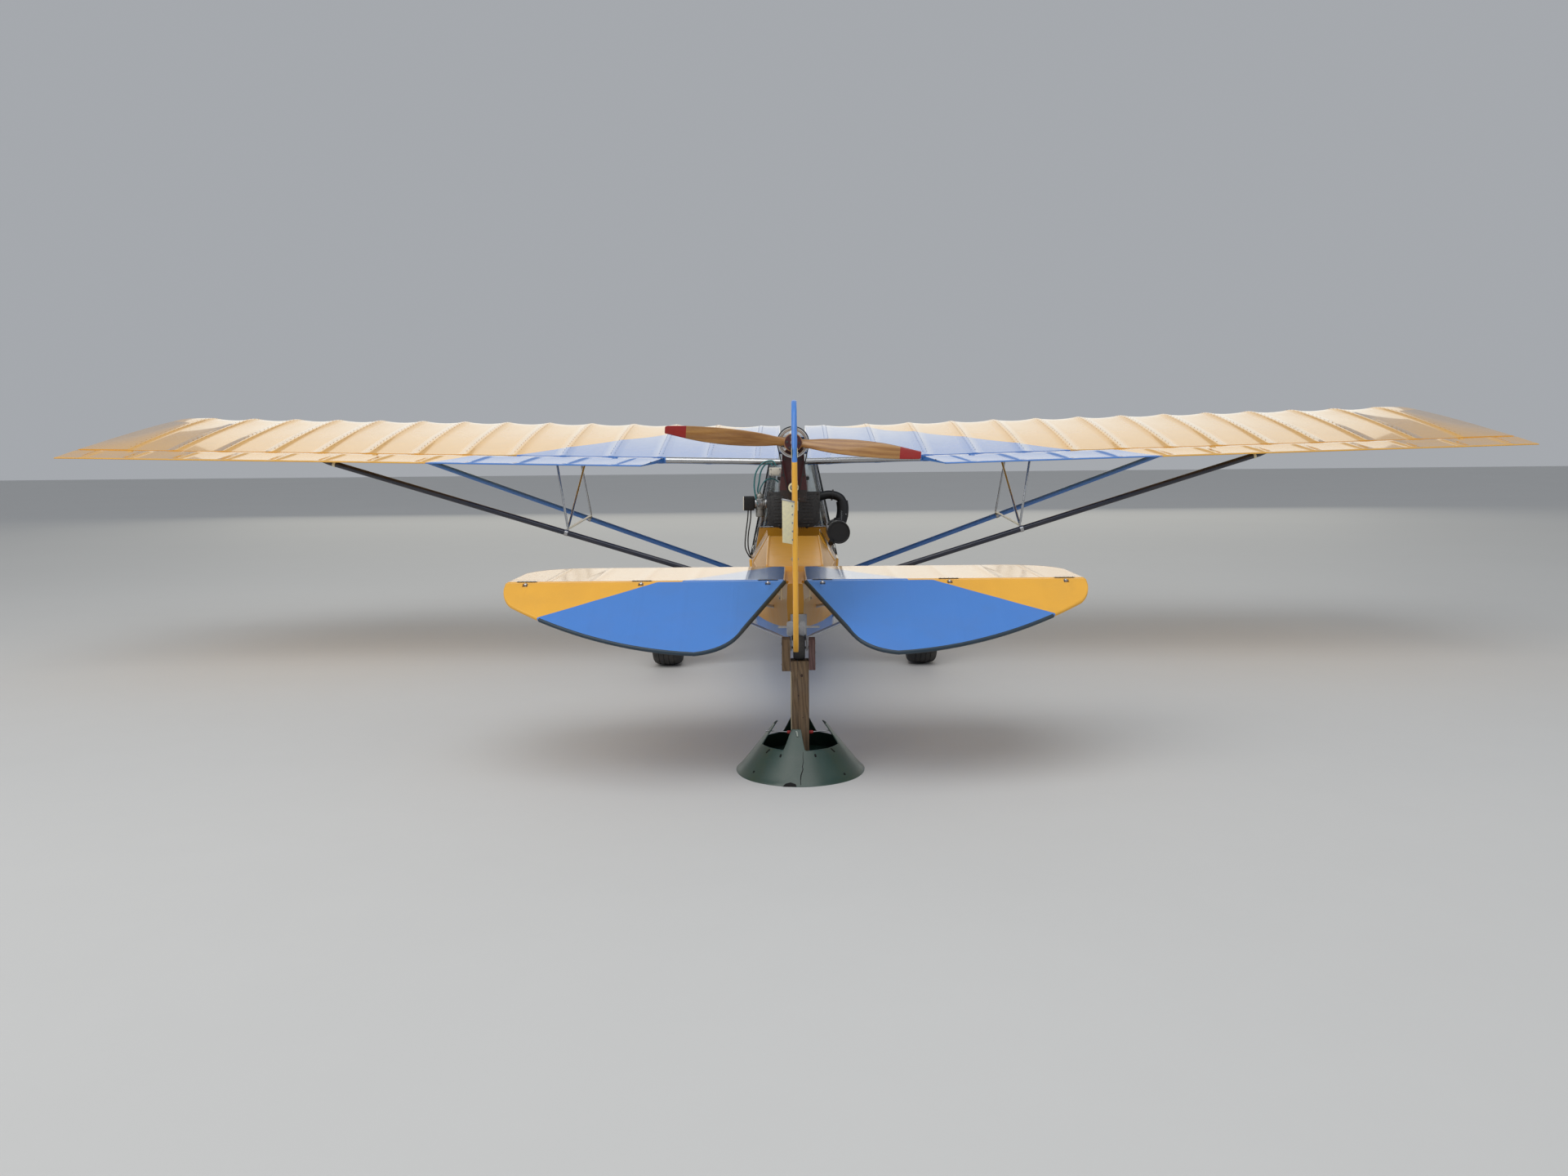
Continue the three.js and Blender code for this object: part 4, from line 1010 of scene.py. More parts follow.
RED_PLASTIC = Finish("red_plastic", (0.42, 0.02, 0.018), rough=0.4, fine=500.0, relief=0.0001)
TEAL_HOSE = Finish(
    "teal_hose", (0.03, 0.19, 0.20), rough=0.28, coat=0.3, fine=300.0, relief=0.00005, grime=0.1
)
CLEAR_SHEET = Finish(
    "clear_sheet", (0.86, 0.90, 0.91), rough=0.06, clear=1.0, spread=0.05, swing=0.08, fine=40.0,
    relief=0.00002,
    grime=0.0,
)
SEAT_CLOTH = Finish(
    "seat_cloth", (0.025, 0.032, 0.06), rough=0.86, spread=0.16, patch=6.0, threads=2600.0, relief=0.0004,
    sheen=0.25,
    grime=0.1, dirt=(0.1, 0.09, 0.08),
)
POLISHED = Finish(
    "polished_aluminium", (0.80, 0.80, 0.79), rough=0.16, metallic=1.0, spread=0.06, swing=0.1, fine=300.0,
    relief=0.00002, grime=0.12, dirt=(0.1, 0.09, 0.08),
)
MOTTLED = Finish(
    "mottled_alloy", (0.36, 0.35, 0.32), rough=0.42, metallic=0.6, swing=0.2, spread=0.4, patch=30.0,
    fine=300.0,
    relief=0.0004, grime=0.8, dirt=(0.03, 0.028, 0.024),
)
RED_PAINT = Finish("red_paint", (0.34, 0.010, 0.009), rough=0.34, coat=0.25, wear=0.3, grime=0.1)
WHITE_PAINT = Finish("white_paint", (0.72, 0.72, 0.70), rough=0.34, coat=0.3, wear=0.5, grime=0.3)
# Near-black: the dial faces' own black, and painted shade standing in for the slots, holes, crack and notch
# of the stand's base
DIAL_BLACK_AND_HOLE_SHADE = Finish("dark_gap", (0.002, 0.002, 0.002), rough=0.9, relief=0.0001, grime=0.0)
PALE_WOOD = Finish(
    "pale_wood", (0.52, 0.45, 0.31), grain=(0.36, 0.29, 0.18), rough=0.75, stretch=(5.0, 5.0, 0.5), lines=7.0,
    relief=0.0004, grime=0.2,
)
PALE_CORD = Finish("pale_cord", (0.45, 0.50, 0.44), rough=0.7, threads=3000.0, relief=0.0003, grime=0.2)
PLUM_WOOD = Finish(
    "plum_wood", (0.20, 0.11, 0.10), grain=(0.08, 0.04, 0.04), rough=0.75, spread=0.2, patch=6.0,
    stretch=(5.0, 5.0, 0.5), lines=7.0, relief=0.0006, grime=0.3,
)
KNOT_WOOD = Finish(
    "knot_wood", (0.055, 0.025, 0.012), grain=(0.02, 0.01, 0.006), rough=0.7, spread=0.3, patch=60.0,
    stretch=(5.0, 5.0, 5.0), lines=30.0, relief=0.0004, grime=0.1,
)
SILVER_PAINT = Finish(
    "silver_paint", (0.62, 0.64, 0.66), rough=0.3, metallic=0.5, coat=0.3, spread=0.06, grime=0.12, wear=0.3,
    dirt=(0.2, 0.19, 0.18),
)
# Near-black navy for the strip round the elevators' trailing edge: painted shade of the rounded edge
EDGE_SHADE_STRIP = fabric("navy_tape", (0.010, 0.032, 0.055), coat=0.15, rough=0.5)
STITCH_CORD = fabric("stitch_cord", (0.045, 0.15, 0.40), Border((0.62, 0.31, 0.02), (1.0, 1.356, 0.0), 1.843))
WEBBING = Finish(
    "belt_webbing", (0.03, 0.03, 0.033), rough=0.8, threads=3200.0, relief=0.0003, sheen=0.2, grime=0.1
)
BLADE_WOOD = Finish(
    "blade_wood", (0.50, 0.27, 0.09), grain=(0.27, 0.115, 0.03), rough=0.28, coat=0.45, spread=0.14,
    patch=5.0,
    stretch=(0.35, 9.0, 5.0), lines=2.6, relief=0.00006, grime=0.03,
)
PLANK_WOOD = Finish(
    "plank_wood", (0.225, 0.145, 0.078), grain=(0.09, 0.056, 0.030), rough=0.8, spread=0.22, patch=6.0,
    stretch=(5.0, 5.0, 0.5), lines=7.0, relief=0.0007, grime=0.3,
)
GREEN_PLASTIC = Finish(
    "green_plastic", (0.020, 0.052, 0.037), rough=0.4, coat=0.35, coat_rough=0.3, spread=0.16, patch=8.0,
    swing=0.18,
    fine=140.0, relief=0.0003, wear=0.4, worn=(0.12, 0.2, 0.155), grime=0.3, dirt=(0.06, 0.072, 0.062),
)

# The CAD nodes that keep their form: finish, edge rounding in millimetres, slot
KEPT_FORMS: dict[str, tuple[Finish, float, str]] = {
    "cabin_tub": (TUB_CLOTH, 6.0, "blue_fabric"),
    "nose_cone": (TUB_CLOTH, 4.0, "blue_fabric"),
    "windshield": (CLEAR_SHEET, 0.0, "clear_sheet"),
    "root_structure": (ALUMINIUM, 0.6, "bare_aluminium"),
    "engine_bay": (BAY_CLOTH, 4.0, "yellow_fabric"),
    "cabin_frame": (ALUMINIUM, 0.5, "bare_aluminium"),
    "side_window": (CLEAR_SHEET, 0.0, "clear_sheet"),
    "door": (BLACK_PLASTIC, 1.2, "black_plastic"),
    "door_pane": (CLEAR_SHEET, 0.0, "clear_sheet"),
}


def form_of(node: str) -> str:
    """Gives a node's name without its side."""
    return node.removesuffix("_left").removesuffix("_right")


def dress_kept_forms() -> None:
    """Gives every CAD node that no other piece stands for its rounded edges and its finish."""
    taken = {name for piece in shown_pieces() for name in piece.get("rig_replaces", [])}
    bodies = frame["record"]["behaviour"]["bodies"]
    for body, nodes in bodies.items():
        for node in nodes:
            if node in taken:
                continue
            finish, bevel, slot = KEPT_FORMS[form_of(node)]
            Shape().add(merged_copy(node, bevel * MM)).piece(
                f"{node}_skin", [finish], slot, [node], body=body
            )


@dataclass
class Wing:
    """One wing's cloth, sagging between its ribs, with raised rib tapes and a row of stitches on each."""

    side: Side
    root: float = 97.0
    tip_rear: float = 4800.0
    tip_rake: float = 0.155
    leading: float = 3820.0
    rear: float = WING_REAR
    nose_height: float = 45.0
    depth: float = 118.0
    crest: float = 0.22
    nose_run: float = 0.08
    rear_depth: float = 44.0
    first_rib: float = FIRST_RIB
    pitch: float = RIB_PITCH
    rib_count: int = 14
    sag: float = 16.0
    least_slack: float = 0.14
    slack_middle: float = 0.22
    slack_reach: float = 0.34
    tape: float = 19.0
    tape_lift: float = 1.1
    stitch: Triple = (0.0026, 0.0072, 0.0014)
    stitch_pitch: float = 62.0
    stitch_gap: float = 29.0
    upper_steps: int = 30
    lower_steps: int = 14
    bay_steps: int = 6

    def ribs(self) -> list[float]:
        """Gives the ribs' distances from the middle."""
        return [self.first_rib + self.pitch * index for index in range(self.rib_count)]

    def upper(self, run: float) -> float:
        """Gives the height of the upper skin over the lower line at a share of the chord."""
        if run < self.crest:
            share = (self.crest - run) / self.crest
            return self.nose_height + (self.depth - self.nose_height) * sqrt(1 - share * share)
        share = (run - self.crest) / (1 - self.crest)
        return self.depth - (self.depth - self.rear_depth) * share**1.5

    def lower(self, run: float) -> float:
        """Gives the height of the lower skin over the lower line at a share of the chord."""
        if run >= self.nose_run:
            return 0.0
        share = (self.nose_run - run) / self.nose_run
        return self.nose_height * (1 - sqrt(1 - share * share))

    def tip(self, along: float) -> float:
        """Gives the tip's distance from the middle at a station."""
        return self.tip_rear - self.tip_rake * (along - self.rear)

    def profile(self) -> list[Triple]:
        """Gives share of chord, height and share of sag round the section, from the rear top."""
        rows = []
        for step in range(self.upper_steps + 1):
            run = (1 + cos(pi * step / self.upper_steps)) / 2
            swell = exp(-(((run - self.slack_middle) / self.slack_reach) ** 2))
            loose = self.least_slack + (1 - self.least_slack) * swell
            rows.append((run, self.upper(run), -loose * (0.4 if run < 0.02 else 1.0)))
        for step in range(1, self.lower_steps + 1):
            run = (1 - cos(pi * step / self.lower_steps)) / 2
            rows.append((run, self.lower(run), 0.1 + 0.3 * sin(pi * run)))
        return rows

    def spans(self) -> list[Triple]:
        """Gives the distance from the middle, the share of sag and the lift of the tape along the span."""
        ribs = [self.root, *self.ribs()]
        rows = [(self.root, 0.0, self.tape_lift)]
        for inner, outer in zip(ribs, ribs[1:]):
            width = outer - inner
            slack = (width / self.pitch) ** 2
            spots = [inner + self.tape, inner + self.tape + 1]
            step = (width - 2 * self.tape - 2) / self.bay_steps
            spots += [inner + self.tape + 1 + step * index for index in range(1, self.bay_steps)]
            spots += [outer - self.tape - 1, outer - self.tape, outer]
            for place in spots:
                share = (place - inner) / width
                off_tape = min(place - inner, outer - place) > self.tape + 0.5
                rows.append((place, 4 * share * (1 - share) * slack, 0.0 if off_tape else self.tape_lift))
        return rows

    def spot(self, across: float, row: Triple, sag: float = 0.0, lift: float = 0.0) -> Vector:
        """Gives a place on the skin.

        Args:
            across: distance from the middle.
            row: share of chord, height and share of sag.
            sag: share of the bay's sag there.
            lift: height of the tape there.

        Returns:
            The place in metres.
        """
        run, height, loose = row
        along = self.leading - run * (self.leading - self.rear)
        last = self.ribs()[-1]
        if across > last:
            across = last + (across - last) * (self.tip(along) - last) / (self.tip_rear - last)
        low = under_wing(along, across)
        rise = height + loose * sag * self.sag + copysign(lift, -loose)
        return at(self.side.value * across, along, low + rise)

    def build(self) -> None:
        """Makes the skin and the stitches."""
        word = self.side.word
        profile = self.profile()
        rows = [[self.spot(place, row, sag, lift) for row in profile] for place, sag, lift in self.spans()]
        edge = self.tip_rear
        for back, share in ((20.0, 1.0), (9.0, 0.92), (3.0, 0.74), (0.0, 0.42)):
            middle = self.nose_height * 0.6
            rows.append(
                [
                    self.spot(edge - back, (run, middle + (high - middle) * share, 0.0)) for run, high,
                    _ in profile
                ]
            )
        shape = Shape().add(lofted(rows))
        shape.piece(f"wing_cloth_{word}", [WING_CLOTH], "yellow_fabric", [f"wing_{word}"], angle=48.0)
        self._stitches().piece(f"rib_stitches_{word}", [STITCH_CORD], "yellow_fabric")
        self._hinges().piece(f"wing_hinges_{word}", [ALUMINIUM], "bare_aluminium")

    def _stitches(self) -> Shape:
        """Makes the knots that lace the cloth to each rib."""
        shape = Shape()
        chord = self.leading - self.rear
        count = int(chord * 0.93 / self.stitch_pitch)
        for rib in self.ribs():
            for index in range(2 * count):
                run = 0.05 + 0.93 * (index // 2) / count
                aside = rib + (index % 2 - 0.5) * self.stitch_gap
                for height, upper in ((self.upper(run), 1), (self.lower(run), -1)):
                    place = self.spot(aside, (run, height, -upper * 0.1), 0.0, self.tape_lift + 0.4)
                    knot = bmesh.new()
                    bmesh.ops.create_uvsphere(knot, u_segments=6, v_segments=4, radius=1.0)
                    size = Matrix.Diagonal((*self.stitch, 1.0))
                    shape.add(knot, Matrix.Translation(place) @ size)
        return shape

    def _hinges(self) -> Shape:
        """Makes the hinge lugs with their bolts between the wing and its flaperon."""
        shape = Shape()
        for across in FLAPERON_HINGES:
            height = FLAPERON_HEIGHT + DIHEDRAL * across
            place = self.side.value * across
            shape.add(eye(0.0104, 0.0008), frame_on(at(place, FLAPERON_AXIS, height), ACROSS))
            for front in (2464.0, 2472.0):
                shape.box(at(place - 4, front - 3, height - 7), at(place + 4, front + 3, height + 7), 0.001)
        return shape


@dataclass
class Engine:
    """The open two-cylinder engine, hanging cylinders down behind the cabin."""

    crank: float = 1222.0
    case_half: float = 92.0
    case_low: float = 1148.0
    case_rear: float = 2262.0
    case_front: float = 2566.0
    high: float = 1262.0
    cylinders: tuple[float, ...] = (2345.0, 2490.0)
    barrel: float = 56.0
    fin_half: float = 88.0
    fin_depth: float = 64.0
    fin_pitch: float = 12.5
    low: float = 1004.0
    left: float = -190.0

    def build(self) -> None:
        """Makes the engine and what is bolted to it."""
        shape = Shape()
        self._case(shape)
        for station in self.cylinders:
            self._cylinder(shape, station)
        self._cowl(shape)
        self._fan(shape)
        self._ports(shape)
        shape.piece(
            "engine_open", [CAST_BLACK, CAST_GREY, STEEL, BLACK_RUBBER, CREAM_PLASTIC], "engine_black",
            ["engine_block"],
        )

    def _case(self, shape: Shape) -> None:
        """Adds the crankcase, its split line, ribs, covers and mounts."""
        half, rear, front = self.case_half, self.case_rear, self.case_front
        shape.box(at(-half, rear, self.case_low), at(half, front, self.high), 0.012, 1, segments=3)
        shape.box(at(-half - 5, rear + 8, self.crank - 5), at(half + 5, front - 8, self.crank + 5), 0.003, 1)
        for station in range(int(rear) + 30, int(front) - 10, 42):
            for sign in (-1, 1):
                shape.box(
                    at(sign * half - 5, station - 3, 1160), at(sign * half + 5, station + 3, 1254), 0.002, 1
                )
                spot = at(sign * (half + 3), station + 21, self.crank + 5)
                shape.bolt(spot, UP, 0.006, 2)
        shape.turn(
            [(0, 0), (0.062, 0), (0.062, 0.006), (0.05, 0.012), (0.03, 0.0125), (0, 0.0125)],
            at(0, rear + 0.5, self.crank - 20), AFT, 40, 1
        )
        for x, z in around(8, 54):
            shape.bolt(at(x, rear - 6, self.crank - 20 + z), AFT, 0.0045, 2)
        for station in (2330.0, 2530.0):
            top = under_wing(station, 0) + 40 - 26
            shape.box(at(-60, station - 18, self.high - 5), at(60, station + 18, top), 0.004)
            for sign in (-1, 1):
                shape.turn(
                    [(0, 0), (0.024, 0), (0.027, 0.006), (0.027, 0.018), (0.024, 0.024), (0, 0.024)],
                    at(sign * 78, station, self.high - 1), UP, 24, 3
                )
                shape.bolt(at(sign * 78, station, self.high + 23), UP, 0.008, 2)
                shape.box(at(sign * 58, station - 14, 1284), at(sign * 98, station + 14, 1290), 0.001, 2)

    def _cylinder(self, shape: Shape, station: float) -> None:
        """Adds one finned cylinder with its head, plugs and studs."""
        shape.turn(peg(self.barrel * MM, 0.150), at(0, station, self.low - 2), UP, 32, 1)
        outline = round_outline(self.fin_half * MM, self.fin_depth * MM, 0.026)
        height = self.low + 14
        while height < self.case_low - 4:
            fin = plate(outline, 0.0032, 0.0008)
            shape.add(fin, Matrix.Translation(at(0, station, height)))
            height += self.fin_pitch
        shape.box(at(-74, station - 58, 966), at(74, station + 58, self.low + 6), 0.008, segments=3)
        for index in range(-5, 6):
            shape.box(at(index * 13 - 1.6, station - 56, 942), at(index * 13 + 1.6, station + 56, 968), 0.001)
        for x, y in ((-60, -46), (60, -46), (-60, 46), (60, 46)):
            shape.turn(peg(0.005, 0.166), at(x, station + y, 984), UP, 12, 2)
            shape.bolt(at(x, station + y, 966), -UP, 0.008, 2)
        for sign in (-1, 1):
            lean = Vector((sign * 0.72, 0, -0.7)).normalized()
            foot = at(sign * 62, station, 976)
            profile = [(0, 0), (0.013, 0), (0.013, 0.007), (0.008, 0.009), (0.008, 0.02), (0, 0.02)]
            shape.turn(profile, foot, lean, 18, 4)
            cap = [(0, 0), (0.0095, 0), (0.0105, 0.012), (0.0095, 0.026), (0.006, 0.03), (0, 0.03)]
            shape.turn(cap, foot + lean * 0.014, lean, 18, 3)
            lead = smooth_path(
                [foot + lean * 0.036, at(sign * 108, station, 968), at(sign * 122, station + 26, 1010),
                 at(sign * 104, station + 40, 1120), at(sign * 92, station + 50, 1172)]
            )
            shape.add(tube(lead, 0.0036, 10), finish=3)

    def _cowl(self, shape: Shape) -> None:
        """Adds the cooling cowl behind the cylinders with its rounded lower corners."""
        outline = [(0.173, 1.188), (-0.173, 1.188)]
        for sign, start in ((-1, 0.5), (1, 0.75)):
            for step in range(9):
                angle = TURN * (start + step / 32)
                outline.append((sign * 0.107 + 0.066 * cos(angle), 1.021 + 0.066 * sin(angle)))
        rear = Matrix.Translation(at(0, self.case_rear, 0))
        shape.add(plate(outline, 0.010, 0.003), rear @ STANDING)
        inner = [(x * 0.86, 1.07 + (z - 1.07) * 0.8) for x, z in outline]
        shape.add(plate(inner, 0.006, 0.0025), Matrix.Translation(at(0, self.case_rear - 4, 0)) @ STANDING)
        for x, z in ((-158, 1172), (158, 1172), (-160, 1050), (160, 1050), (-96, 968), (96, 968), (0, 964)):
            shape.bolt(at(x, self.case_rear, z), AFT, 0.0048)
        for z in range(985, 1140, 22):
            for sign in (-1, 1):
                low = min(sign * 128, sign * 62)
                shape.box(at(low, self.case_rear - 7, z), at(low + 66, self.case_rear - 3, z + 6), 0.0015)

    def _fan(self, shape: Shape) -> None:
        """Adds the fan drum, its guard rings and the hand starter in front."""
        profile = [(0.04, 0), (0.108, 0), (0.112, 0.006), (0.112, 0.062), (0.106, 0.070), (0.04, 0.070)]
        origin = at(0, self.case_front, 1090)
        shape.turn(profile, origin, AHEAD, 48)
        circle = around(36)
        for radius in (52, 64, 76, 88, 99):
            ring = [
                origin + Vector((a * radius * MM, 0.070, b * radius * MM)) for a, b in [*circle, circle[0]]
            ]
            shape.add(tube(ring, 0.0022, 6), finish=2)
        shape.turn(
            [(0, 0), (0.047, 0), (0.047, 0.002), (0.04, 0.0035), (0, 0.0035)],
            origin + Vector((0, 0.0705, 0)), AHEAD, 32, 1
        )
        for a, b in around(6, 0.104):
            shape.bolt(origin + Vector((a, 0.069, b)), AHEAD, 0.0035, 2)

    def _ports(self, shape: Shape) -> None:
        """Adds the intake stub and the exhaust branches with their flanges."""
        intake = [at(-50, 2365, 1110), at(-120, 2365, 1110), at(self.left, 2365, 1110)]
        shape.add(tube(intake, 0.026, 24), finish=1)
        for x, radius in ((-96, 36), (-150, 30), (-178, 32)):
            band = turned(hoop(radius * MM - 0.008, radius * MM, 0.008),
                          28)
            shape.add(rounded(band, 0.001), frame_on(at(x, 2365, 1110), -ACROSS), finish=2)
        for station in self.cylinders:
            path = smooth_path([
                at(50, station, 1120), at(104, station, 1120), at(136, (station + 2470) / 2, 1132),
                at(163, 2470, 1140),
            ])
            shape.add(tube(path, 0.022, 20))
            shape.box(at(88, station - 34, 1090), at(95, station + 34, 1150), 0.004, 2)
            for y, z in ((-27, 1098), (27, 1142)):
                shape.bolt(at(95, station + y, z), ACROSS, 0.006, 2)
        shape.turn(
            [(0, 0), (0.03, 0), (0.03, 0.012), (0.027, 0.018), (0.027, 0.023), (0, 0.023)],
            at(150, 2470, 1140), ACROSS, 28, 0
        )


@dataclass
class ClothPanel:
    """A flat tail surface of cloth over a tube frame, thinner between its ribs, with tapes along them."""

    name: str
    node: str
    body: str
    finish: Finish
    outline: Sequence[Pair]
    place: Callable[[float, float, float], Vector]
    thick: float
    ribs: tuple[float, ...]
    hinges: tuple[float, ...] = ()
    hinge_line: float = 0.0
    slot_depth: float = 20.0
    sag: float = 3.2
    tape: float = 14.0
    tape_lift: float = 0.7
    inner_steps: int = 12
    # Finish of the dark strip round the trailing edge, which is painted shade, and the span where it ends
    border: Finish | None = None
    border_limit: float = 0.0

    def edges(self, span: float) -> Pair:
        """Gives the rear and front edge at a place along the span."""
        spots = []
        loop = list(self.outline)
        for (s, t), (next_s, next_t) in zip(loop, [*loop[1:], loop[0]]):
            if min(s, next_s) - 1e-6 <= span <= max(s, next_s) + 1e-6:
                if abs(next_s - s) < 1e-6:
                    spots += [t, next_t]
                else:
                    spots.append(t + (next_t - t) * (span - s) / (next_s - s))
        front = max(spots)
        for hinge in self.hinges:
            if abs(span - hinge) <= CUT_HALF and self.slot_depth:
                front = min(front, self.hinge_line - self.slot_depth)
        return min(spots), front

    def spans(self) -> list[float]:
        """Gives the places along the span where the cloth has a row of points."""
        low = min(s for s, _ in self.outline)
        high = max(s for s, _ in self.outline)
        edge = self.thick / 2
        places = {low, high}
        places |= {low + edge * share for share in (0.08, 0.3, 0.65, 1.0)}
        places |= {high - edge * share for share in (0.08, 0.3, 0.65, 1.0)}
        places |= {s for s, _ in self.outline}
        for rib in self.ribs:
            places |= {
                rib - self.tape - TAPE_STEP, rib - self.tape, rib, rib + self.tape,
                rib + self.tape + TAPE_STEP
            }
        if self.slot_depth:
            for hinge in self.hinges:
                places |= {
                    hinge + sign * reach for sign in (-1, 1) for reach in (CUT_HALF, CUT_HALF + CUT_STEP)
                }
        ordered = sorted(place for place in places if low <= place <= high)
        filled = [ordered[0]]
        for place in ordered[1:]:
            gap = place - filled[-1]
            if gap < 0.2:
                continue
            count = int(gap // 42)
            filled += [filled[-1] + gap * step / (count + 1) for step in range(1, count + 1)]
            filled.append(place)
        return filled

    def slack(self, span: float) -> float:
        """Gives how far the cloth has sunk at a place along the span, from 0 on a rib to 1."""
        low = min(s for s, _ in self.outline)
        high = max(s for s, _ in self.outline)
        lines = sorted({low, high, *self.ribs})
        for inner, outer in zip(lines, lines[1:]):
            if inner <= span <= outer:
                share = (span - inner) / (outer - inner)
                return 4 * share * (1 - share)
        return 0.0

    def height(self, span: float, inside: float) -> float:
        """Gives half the thickness at a place.

        Args:
            span: place along the span.
            inside: distance from the nearer edge.

        Returns:
            Half the thickness.
        """
        low = min(s for s, _ in self.outline)
        high = max(s for s, _ in self.outline)
        edge = self.thick / 2
        near = min(inside, span - low, high - span)
        if near < edge:
            share = (edge - max(near, 0.0)) / edge
            return edge * sqrt(max(0.0, 1 - share * share))
        sunk = self.sag * self.slack(span) * (1 - exp(-((inside - edge) / 60)))
        on_tape = any(abs(span - rib) <= self.tape + NEAR for rib in self.ribs)
        return edge - sunk + (self.tape_lift if on_tape else 0.0) - 0.3 * (1 - exp(-((near - edge) / 9)))

    def build(self) -> bpy.types.Object:
        """Makes the panel.

        Returns:
            The piece.
        """
        edge = self.thick / 2
        near = [0.0, 0.08 * edge, 0.3 * edge, 0.65 * edge, edge, edge + 14, edge + 15]
        rows = []
        for span in self.spans():
            rear, front = self.edges(span)
            width = max(front - rear, 0.4)
            inset = [distance if distance < width / 2 else width / 2 for distance in near]
            middle = [
                inset[-1] + (width - 2 * inset[-1]) * step / self.inner_steps
                for step in range(1, self.inner_steps)
            ]
            places = [*inset, *middle, *[width - value for value in reversed(inset)]]
            upper = [(rear + value, self.height(span, min(value, width - value))) for value in places]
            lower = [(along, -rise) for along, rise in reversed(upper[1:-1])]
            rows.append([self.place(span, along, rise) for along, rise in [*upper, *lower]])
        shape = Shape().add(lofted(rows))
        finishes = [self.finish]
        # The dark strip round the trailing edge is painted shade
        if self.border:
            finishes.append(self.border)
            shape.add(self._trailing_tape(), finish=1)
        return shape.piece(self.name, finishes, "yellow_fabric", [self.node], 42.0, self.body)

    def _trailing_tape(self) -> BMesh:
        """Makes the dark strip round the rear edge of the inner colour, painted shade of the rounded edge."""
        spans = [span for span in self.spans() if span <= self.border_limit]
        path = [self.place(span, self.edges(span)[0] + 7.0, 0.0) for span in spans]
        full = (self.thick / 2 + 0.9) * MM
        sizes = [full if span < 250.0 else full - 0.6 * MM for span in spans]
        return tube(path, full, 12, sizes)


def curve_points(
    start: Pair, bend: Pair, end: Pair, steps: int = 10
) -> list[Pair]:
    """Gives the points of a curve with one bend, without its start.

    Args:
        start: where it starts.
        bend: the corner that it rounds.
        end: where it ends.
        steps: number of steps.

    Returns:
        The points.
    """
    points = []
    for step in range(1, steps + 1):
        t = step / steps
        parts = zip(start, bend, end)
        points.append(tuple((1 - t) ** 2 * a + 2 * t * (1 - t) * b + t * t * c for a, b, c in parts))
    return points


